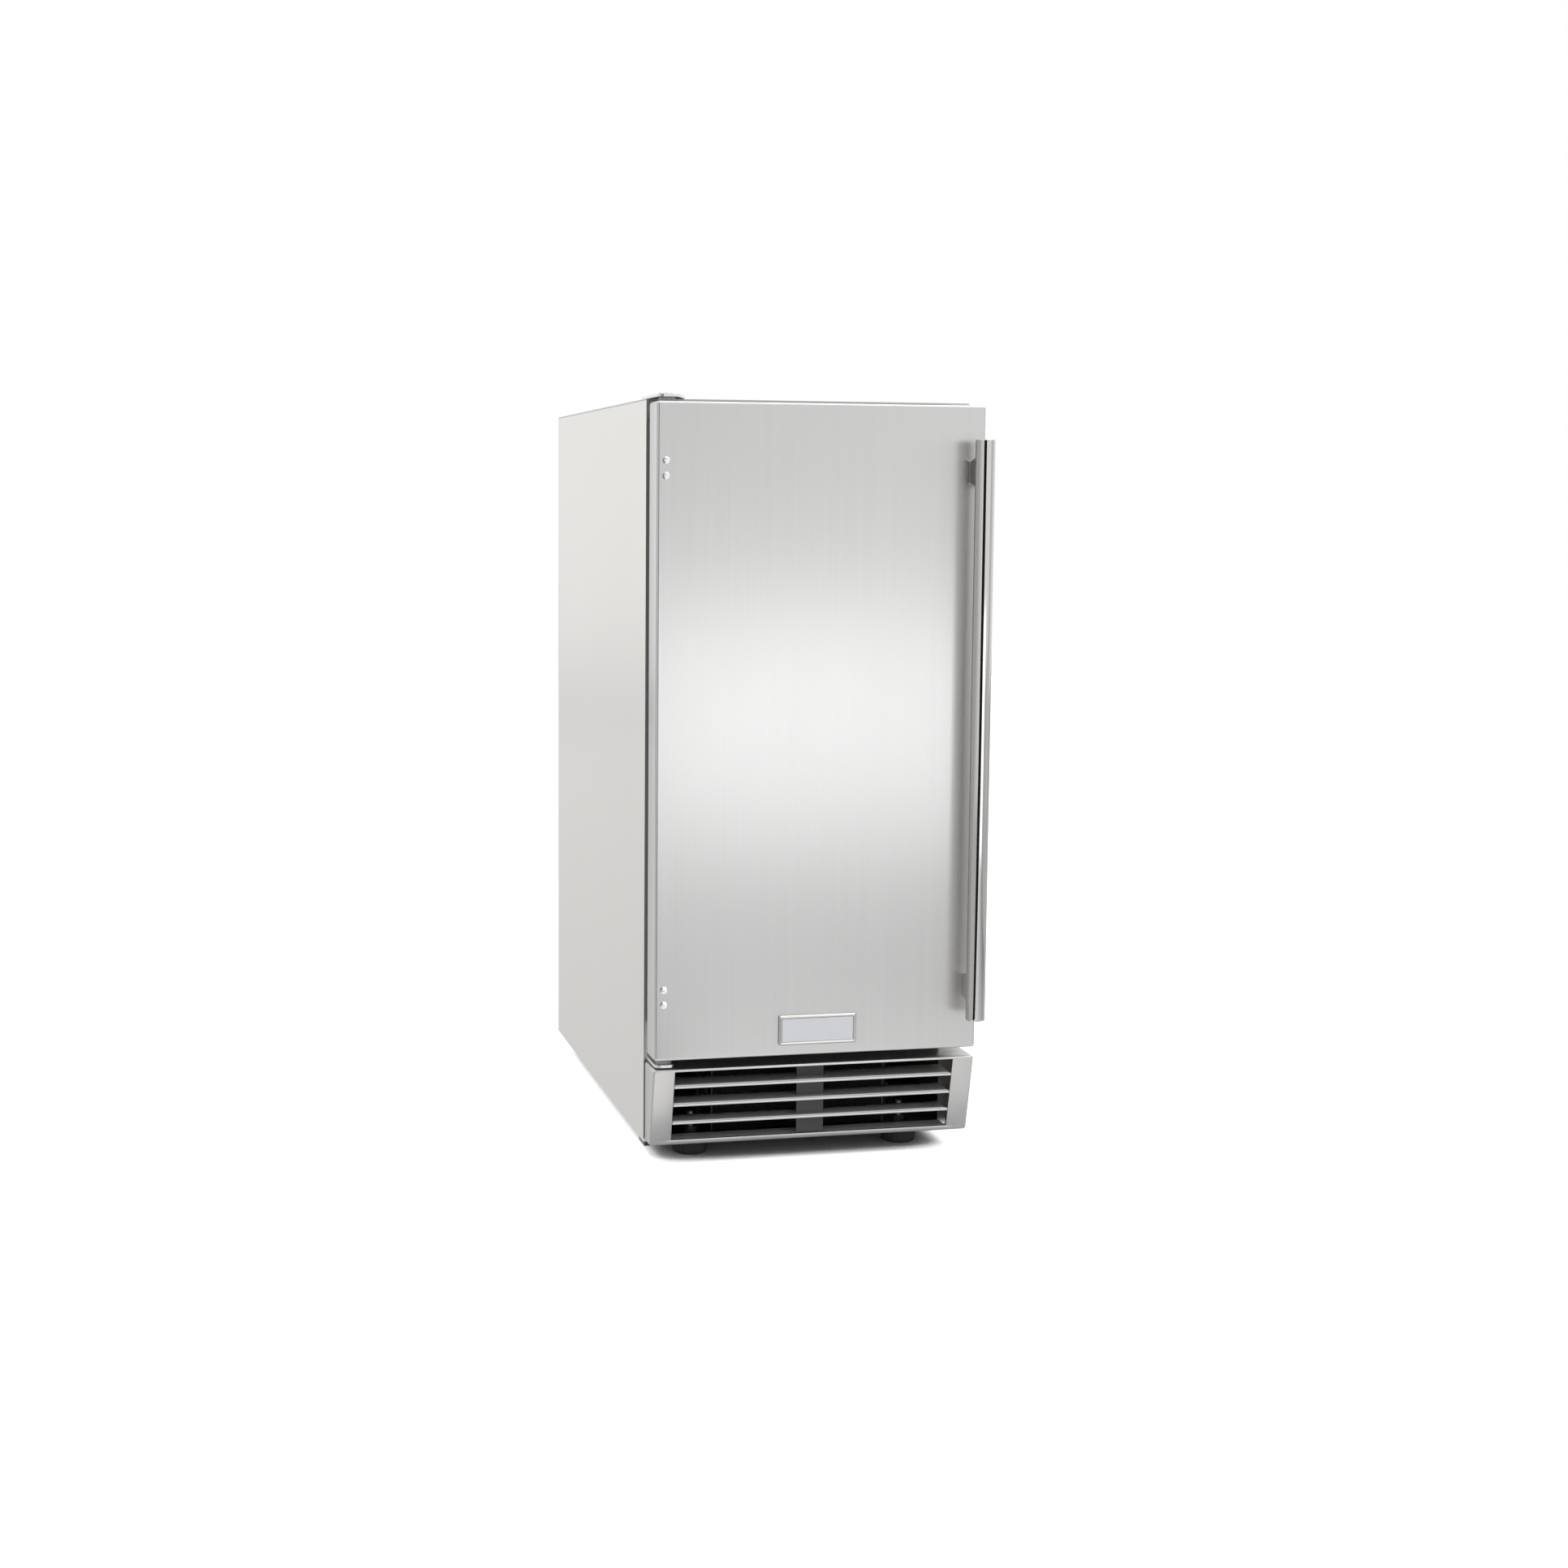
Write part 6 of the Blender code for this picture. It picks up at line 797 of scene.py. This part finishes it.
@dataclass
class KickGrille:
    """The folded grille: a leaning frame, blades with rolled hems, a brace coloured dark as painted shade, and
    black strips in its side seams as painted shade.

    The sort is the record slot and the body of all its pieces.
    """

    shop: Workshop
    sort: tuple = ("brushed_stainless", "cabinet")
    top_reach: float = 0.0545
    bottom_reach: float = 0.032
    margin: float = 0.025
    top_rail: float = 0.003
    bottom_rail: float = 0.006
    edge: float = 0.0025
    sheet: float = 0.001
    seam: float = 0.0085
    seam_width: float = 0.0012
    blades: int = 3
    blade_height: float = 0.0045
    set_back: float = 0.006
    gap: float = 0.0003
    hem: float = 0.0030
    hem_depth: float = 0.0028
    brace_width: float = 0.032
    brace_depth: float = 0.030
    brace_sheet: float = 0.0013
    head_radius: float = 0.0034
    head_height: float = 0.002
    head_inset: tuple = (0.034, 0.016)

    def __post_init__(self) -> None:
        """Read the frame's boxes."""
        low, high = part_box("kick_grille")
        self.half, self.top, self.bottom = high[0], high[2], low[2] + self.head_height
        self.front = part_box("left_side_panel")[0][1]
        self.opening = (self.half - self.margin, self.bottom + self.bottom_rail, self.top - self.top_rail)

    def face(self, z: Union[float, np.ndarray]) -> Union[float, np.ndarray]:
        """Return the leaning face's y at a height: a straight line from the bottom to the top."""
        share = (z - self.bottom) / (self.top - self.bottom)
        return self.front - self.bottom_reach - (self.top_reach - self.bottom_reach) * share

    def frame(self) -> None:
        """Make the frame: rectangles from the opening's lip over the rounded edge and back inside.

        Each row of points lies a depth behind the leaning face, or, for the last rows, in the
        flat plane of the rear edge.
        """
        hole, case = self.opening, (self.half, self.bottom, self.top)
        r, sheet = self.edge, self.sheet

        def ring(edges: tuple, out: float, depth: float, corner: float) -> tuple:
            """Return the row of a rectangle, its half width, bottom and top grown outwards."""
            half, low, high = edges
            return (-half - out, half + out, low - out, high + out, depth, corner)

        rows = [ring(hole, 0, 0.004, 0.0008), ring(hole, 0, 0.0006, 0.0008), ring(hole, 0.0001, 0.0002, 0.0008)]
        rows += [ring(hole, 0.0004, 0, 0.001), ring(case, -r - 0.0001, 0, 0.0004)]
        rows += [ring(case, r * math.sin(t) - r, r - r * math.cos(t), 0.0008 + r * math.sin(t))
                 for t in np.linspace(0.12, math.pi / 2, 8)]
        leaning = nested_rectangles(rows, 5)
        inside = nested_rectangles([ring(case, -sheet, sheet, 0.002), ring(hole, 0.0004, sheet, 0.001)], 5)
        for part in (leaning, inside):
            part[..., 1] += self.face(part[..., 2])
        rear = self.front - self.seam
        rows = [ring(case, out, y, 0.003) for out, y in ((0, rear - 0.0004), (-0.0003, rear), (-sheet, rear))]
        skin = Surface(np.concatenate([leaning, nested_rectangles(rows, 5), inside]), ring_rows=True)
        x, y = self.half - self.head_inset[0], self.front - self.head_inset[1]
        radius, drop = self.head_radius, self.bottom - self.head_height
        profile = [(radius * 0.1, drop), (radius * 0.6, drop + 0.0002), (radius, drop + 0.0012)]
        profile += [(radius, self.bottom)]
        heads = [Surface(turned(profile, (place, y, 0))) for place in (-x, x)]
        self.shop.add("grille_frame", [skin, *heads], GRILLE_STEEL, *self.sort, ["kick_grille"])

    def louvres(self) -> None:
        """Make the blades, each a thin shelf with its front edge rolled down, and what is behind."""
        half, low, high = self.opening
        slot = (high - low - self.blades * self.blade_height) / (self.blades + 1)
        rear, radius, gap = self.front - self.set_back, self.hem / 2, self.gap
        ends = np.array([-half + gap, -half + 0.002, half - 0.002, half - gap])[:, None, None]
        skins = []
        for index in range(self.blades):
            top = low + (slot + self.blade_height) * (index + 1)
            nose = self.face(top)
            lip, fold = nose + self.hem_depth, top - self.hem
            loop = [(rear, top - 0.0009), *((y, top) for y in np.linspace(rear, nose + radius, 6))]
            loop += arc((nose + radius, top - radius), radius, 84, 276, 12)
            loop += [(lip, fold), (lip + gap, fold + gap), (lip + gap, top - 0.0012)]
            loop += [(lip + 0.0006, top - 0.0009)]
            skins.append(Surface(np.array([(0.0, *pair) for pair in loop]) + ends * (1, 0, 0)))
        # The blades take the painted-light steel, lighter and less metallic than the grille's.
        self.shop.add("grille_blades", skins, PAINTED_LIGHT_LOUVRE_STEEL, *self.sort, ["grille_louvres"])
        wide, brace = self.brace_width / 2, self.front - self.brace_depth
        # The brace's near-black colour is painted shade.
        self.shop.boxes(
            "grille_brace", (-wide, brace, low + 0.0004), (wide, brace + self.brace_sheet, high - 0.0004),
            PAINTED_SHADE_STEEL, *self.sort,
        )
        # The bottom shelf takes the blades' painted-light steel too.
        self.shop.boxes(
            "grille_bottom_shelf", (-half + gap, self.face(low) + 0.0042, low - 0.0012),
            (half - gap, rear, low - gap), PAINTED_LIGHT_LOUVRE_STEEL, *self.sort,
        )
        # Painted shade: black strips set deep in the two side seams, standing in for the shade in the gaps.
        wide = self.seam_width
        lows = np.array([
            (side * (self.half - wide) - wide / 2, self.front - self.seam, self.bottom + wide)
            for side in (-1, 1)
        ])
        highs = lows + (wide, self.seam - 0.0004, self.top - self.bottom - 2 * wide)
        self.shop.boxes("grille_seam", lows, highs, FINISHES["black_rubber"], *self.sort)

    def build(self) -> None:
        """Make the frame and the blades."""
        self.frame()
        self.louvres()


@dataclass
class Cabinet:
    """The fixed case: panels, base, front frame, liner and hinges."""

    shop: Workshop
    nodes: tuple = (
        "left_side_panel", "right_side_panel", "rear_panel", "rear_service_cover", "base_pan",
        "front_frame", "inner_liner", "insulation_foam", "ice_baffle",
    )
    hinge_nodes: tuple = ("top_hinge_plate", "bottom_hinge_bracket", "top_hinge_pin")

    def build(self) -> None:
        """Dress the case."""
        self.shop.dress(*self.nodes)
        self.shop.dress("top_panel", finish=SATIN_TOP)
        self.shop.dress(*self.hinge_nodes, finish=HINGE_ZINC)


@dataclass
class Feet:
    """The four levelling feet: a ribbed pad and a threaded stem each."""

    shop: Workshop
    pad_height: float = 0.0168
    ribs: int = 30
    rib_steps: int = 6
    rib_depth: float = 0.0005
    stem_radius: float = 0.004
    stem_rows: int = 150
    stem_steps: int = 24
    pitch: float = 0.0015
    thread: float = 0.0004

    def pad(self, low: Point, high: Point) -> Surface:
        """Return a pad whose side has a row of ribs: a cosine of the turn added to the radius."""
        radius, top, steps = (high[0] - low[0]) / 2, self.pad_height, self.ribs * self.rib_steps
        side = radius - self.rib_depth
        profile = [
            (radius * 0.6, 0.0), (radius - 0.0032, 0.0), (radius - 0.0016, 0.0006), (radius - 0.0006, 0.002),
            (side, 0.0034), (side, 0.0045), (side, top - 0.004), (side, top - 0.003),
            (radius - 0.001, top - 0.0015), (radius - 0.0025, top - 0.0004), (radius * 0.6, top), (0.006, top),
        ]
        ribbed = np.isin(np.arange(len(profile)), (4, 5, 6))[:, None]
        angle = np.arange(steps)[None] * (2 * math.pi / self.rib_steps)
        centre = axis_foot(low, high)
        swell = 1 + self.rib_depth / radius * np.cos(angle) * ribbed
        return swollen(turned(profile, centre, steps=steps), centre, swell)

    def stem(self, low: Point, high: Point) -> Surface:
        """Return a threaded stem: the radius rises and falls with the height less the turn."""
        height = np.linspace(self.pad_height - 0.001, high[2], self.stem_rows)
        turn = np.arange(self.stem_steps)[None] / self.stem_steps
        wave = np.abs(((height[:, None] / self.pitch - turn) % 1) - 0.5) * 2
        centre, profile = axis_foot(low, high), [(self.stem_radius, z) for z in height]
        points = turned(profile, centre, steps=self.stem_steps)
        return swollen(points, centre, 1 - self.thread / self.stem_radius * wave)

    def build(self) -> None:
        """Make the four feet."""
        for end in ("front", "rear"):
            for side in ("left", "right"):
                node, body = f"foot_{end}_{side}", f"{end}_{side}_foot"
                low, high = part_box(node)
                for part, make, slot, nodes in (
                    ("pad", self.pad, "black_rubber", [node]), ("stem", self.stem, "zinc_plate", []),
                ):
                    self.shop.add(f"{body}_{part}", [make(low, high)], FINISHES[slot], slot, body, nodes)


@dataclass
class Machinery:
    """The refrigeration and electrical parts under the bin."""

    shop: Workshop
    fins: int = 96
    fin_thickness: float = 0.00025
    fin_inset: tuple = (0.0005, 0.001)
    tube_radius: float = 0.0036
    tube_rows: int = 5
    tube_ranks: int = 2
    tube_steps: int = 16
    bend_steps: int = 12
    bend_rows: int = 17
    plate_inset: float = 0.0085
    plate_half: float = 0.0006
    nodes: tuple = (
        "compressor", "fan_shroud", "fan_motor", "filter_drier", "discharge_tube", "feed_tube",
        "suction_tube", "hot_gas_valve", "water_inlet_valve", "inlet_tube", "electrical_box", "cord_gland",
        "fan_blade", "drain_hose", "drain_fitting",
    )

    def condenser(self) -> None:
        """Make the condenser: a pack of thin upright fins, end plates, tubes and return bends."""
        low, high = (np.asarray(corner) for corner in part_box("condenser_coil"))
        ends = np.array([low[0] + self.plate_inset, high[0] - self.plate_inset])
        x = np.linspace(ends[0] + 0.002, ends[1] - 0.002, self.fins)
        thickness, half, fin_low, fin_high = (
            self.fin_thickness, self.plate_half, low[1:] + self.fin_inset, high[1:] - self.fin_inset
        )
        lows = [(place, *fin_low) for place in x] + [(end - half, *low[1:]) for end in ends]
        highs = [(place + thickness, *fin_high) for place in x] + [(end + half, *high[1:]) for end in ends]
        self.shop.boxes(
            "condenser_fins", lows, highs, FINISHES["aluminium_fins"], "aluminium_fins", "cabinet",
            ["condenser_coil"],
        )

        def spaced(axis: int, count: int) -> np.ndarray:
            """Return the middles of equal cells along one axis of the condenser's box."""
            return low[axis] + (high[axis] - low[axis]) * (np.arange(count) + 0.5) / count

        depths, heights = spaced(1, self.tube_ranks), spaced(2, self.tube_rows)
        radius = self.tube_radius
        tubes = [
            Surface(turned([(radius, end) for end in ends], (0, y, z), "X", self.tube_steps))
            for y in depths for z in heights
        ]
        reach = self.plate_inset - radius - 0.0004
        turn = np.linspace(-math.pi / 2, math.pi / 2, self.bend_rows)
        for side, plate, start in ((-1, ends[0], 1), (1, ends[1], 0)):
            for y in depths:
                for first, second in zip(heights[start::2], heights[start + 1::2]):
                    path = np.stack(
                        [plate + side * reach * np.cos(turn), np.full_like(turn, y),
                         (first + second) / 2 + (second - first) / 2 * np.sin(turn)], -1
                    )
                    tubes.append(Surface(swept(path, radius, self.bend_steps)))
        # The tubes take the near-black copper that paints the shade behind the grille.
        self.shop.add("condenser_tubes", tubes, SHADE_DARKENED_COPPER, "copper", "cabinet")

    def build(self) -> None:
        """Make the condenser and dress the rest."""
        self.condenser()
        self.shop.dress(*self.nodes)


@dataclass
class IceWorks:
    """The freezing plate, its water parts, the control panel, sensor and scoop."""

    shop: Workshop
    nodes: tuple = (
        "evaporator_plate", "evaporator_coil", "water_distributor", "water_trough", "pump_motor",
        "pump_impeller", "pump_hose", "water_curtain", "control_housing", "power_button", "clean_button",
        "bin_sensor", "ice_scoop",
    )

    def build(self) -> None:
        """Dress the ice works."""
        self.shop.dress(*self.nodes)


@dataclass
class Studio:
    """The floor, the white surroundings, the soft lamps, the cards and the camera.

    The camera's turn, pitch and roll are in radians, and its shifts are shares of the frame.
    """

    size: float = 7.0
    lens: float = 53.17
    shift: tuple = (0.0722, -0.0288)
    stand: tuple = (-0.7214, -2.5413, 0.7468)
    yaw: float = 0.2177
    pitch: float = 0.0998
    roll: float = 0.0053
    ambient: float = 0.75
    card_height: float = 2.4
    floor_gap: float = 0.002
    floor_colour: Colour = (0.66, 0.66, 0.66)
    floor_lift: float = 0.88
    floor_gloss_lift: float = 0.05
    shadow_reach: float = 0.22
    shadow_start: float = 0.155
    shadow_slope: float = 11.0
    black: float = 0.012

    def seen(self, graph: Graph, camera: float = 1.0, gloss: float = 1.0) -> Wire:
        """Return how far each ray shows the surroundings: one share for the camera's, one through gloss."""
        rays = [
            graph.node("ShaderNodeLightPath", output=name)
            for name in ("Is Camera Ray", "Is Glossy Ray", "Is Transmission Ray")
        ]
        return (rays[0] * camera + (rays[1] + rays[2]) * gloss).at_most(max(camera, gloss))

    def surroundings(self) -> None:
        """Make the world: white where it is seen, and a soft grey light elsewhere."""
        world = bpy.data.worlds.new("surroundings")
        bpy.context.scene.world = world
        graph = Graph(world)
        soft, white = (
            graph.node("ShaderNodeBackground", {"Color": colour, "Strength": strength})
            for colour, strength in (((0.97, 0.98, 1, 1), self.ambient), ((1, 1, 1, 1), 1.0))
        )
        both = graph.node("ShaderNodeMixShader", {0: self.seen(graph), 1: soft, 2: white})
        graph.node("ShaderNodeOutputWorld", {"Surface": both})

    def sheet(self, name: str, corners: Sequence[tuple]) -> tuple[bpy.types.Object, Graph]:
        """Put a sheet with four corners on the stage, and return it with its material's graph."""
        mesh = bpy.data.meshes.new(name)
        mesh.from_pydata(list(corners), [], [[0, 1, 2, 3]])
        material = bpy.data.materials.new(name)
        mesh.materials.append(material)
        piece = linked(name, mesh)
        return piece, Graph(material)

    def floor(self) -> None:
        """Make the pale floor: a matt surface that keeps the shadow, lifted towards white where seen."""
        half = self.size
        corners = [(-half, -half, 0), (half, -half, 0), (half, half, 0), (-half, half, 0)]
        _, graph = self.sheet("floor", corners)
        matt = graph.node("ShaderNodeBsdfDiffuse", {"Color": (*self.floor_colour, 1)})
        clear = graph.node("ShaderNodeAmbientOcclusion", {"Distance": self.shadow_reach}, "AO")
        share = ((clear - self.shadow_start) * self.shadow_slope).at_least(0.0).at_most(1.0)
        lift = graph.glow(self.seen(graph, self.floor_lift, self.floor_gloss_lift) * share)
        graph.show(graph.node("ShaderNodeAddShader", {0: matt, 1: lift}))

    def lamp(
        self, name: str, place: tuple, aim: tuple, size: tuple, power: float, gloss_only: bool = False
    ) -> None:
        """Hang one soft rectangular lamp at a place, turned to its aim."""
        data = bpy.data.lights.new(name, "AREA")
        data.shape = "RECTANGLE"
        data.size, data.size_y = size
        data.energy = power
        lamp = linked(name, data)
        z = np.asarray(place, float) - np.asarray(aim, float)
        z /= np.linalg.norm(z)
        x = np.cross((0, 0, 1), z)
        x /= np.linalg.norm(x)
        lamp.matrix_world = posed(x, np.cross(z, x), z, place)
        lamp.visible_camera = False
        lamp.visible_diffuse = not gloss_only

    def upright(self, first: tuple, last: tuple) -> list:
        """Return the corners of a card that stands on the floor between two (x, y) points."""
        return [(*first, 0.0), (*last, 0.0), (*last, self.card_height), (*first, self.card_height)]

    def lying(self, height: float, *places: tuple) -> list:
        """Return the corners of a card that lies flat at a height, from its (x, y) places."""
        return [(*place, height) for place in places]

    def card(self, name: str, corners: Sequence[tuple], grey: float, far_grey: float) -> None:
        """Put up a card that only reflections show, shaded along its first side.

        Args:
            name: the card's name.
            corners: its four corners.
            grey: the brightness at the first corner.
            far_grey: the brightness at the second corner.
        """
        first, last = corners[:2]
        axis = 0 if abs(last[0] - first[0]) > abs(last[1] - first[1]) else 1
        piece, graph = self.sheet(name, corners)
        place = graph.node("ShaderNodeTexCoord", output="Object")
        part = graph.node("ShaderNodeSeparateXYZ", {0: place}, axis)
        share = (part - first[axis]) / (last[axis] - first[axis])
        graph.show(graph.glow(share * (far_grey - grey) + grey))
        piece.visible_camera = piece.visible_diffuse = piece.visible_shadow = False

    def camera(self) -> None:
        """Stand the camera where the photograph was taken, measured from the cabinet's front."""
        sin, cos = math.sin, math.cos
        ahead = np.array([sin(self.yaw) * cos(self.pitch), cos(self.yaw) * cos(self.pitch), -sin(self.pitch)])
        right = np.array([cos(self.yaw), -sin(self.yaw), 0.0])
        over = np.cross(right, ahead)
        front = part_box("left_side_panel")[0][1]
        data = bpy.data.cameras.new("camera")
        data.sensor_fit = "AUTO"
        data.sensor_width = 36.0
        data.lens = self.lens
        data.shift_x, data.shift_y = self.shift
        data.clip_start, data.clip_end = 0.05, 100.0
        camera = linked("camera", data)
        camera.matrix_world = posed(
            cos(self.roll) * right + sin(self.roll) * over, cos(self.roll) * over - sin(self.roll) * right,
            -ahead, (self.stand[0], front + self.stand[1], self.stand[2]),
        )
        bpy.context.scene.camera = camera

    def build(self) -> None:
        """Make the studio."""
        bpy.context.scene.view_settings.view_transform = "Standard"
        self.surroundings()
        self.floor()
        self.lamp("front_softbox", (0.47, -2.0, 0.33), (0.0, -0.3, 0.45), (0.85, 0.46), 1.5, gloss_only=True)
        self.lamp("overhead_softbox", (1.2, -0.6, 2.8), (0.0, 0.0, 0.4), (2.0, 2.0), 16.0)
        low, black = self.floor_gap, self.black
        flag = self.lying(low, (-0.3, -3.5), (-2.1, -3.3), (-0.28, -0.7), (-0.06, -0.7))
        beside = self.lying(low, (-0.195, -0.25), (-0.195, 5.0), (-2.2, 5.0), (-2.2, -0.25))
        before = self.lying(low / 2, (-0.05, -3.4), (1.5, -3.4), (1.5, -0.35), (-0.25, -0.35))
        for name, corners, grey, far_grey in (
            ("camera_flag", self.upright((0.0, -3.5), (-1.95, -3.3)), black, black),
            ("left_card", self.upright((-1.95, -3.3), (-3.6, 1.2)), 1.0, 0.30),
            ("right_card", self.upright((2.7, -2.3), (3.5, -0.7)), 0.68, 0.68),
            ("floor_flag", flag, black, black),
            ("side_floor_card", beside, 0.71, 0.88),
            ("front_floor_card", before, 1.0, 0.26),
        ):
            self.card(name, corners, grey, far_grey)
        self.camera()


def main() -> None:
    """Build the studio and each sub-assembly in order."""
    logging.basicConfig(level=logging.INFO, format="%(message)s")
    shop = Workshop()
    Studio().build()
    for assembly in (Cabinet(shop), KickGrille(shop), Door(shop), Feet(shop), Machinery(shop), IceWorks(shop)):
        log.info("building %s", type(assembly).__name__)
        assembly.build()


if __name__ == "__main__":
    main()
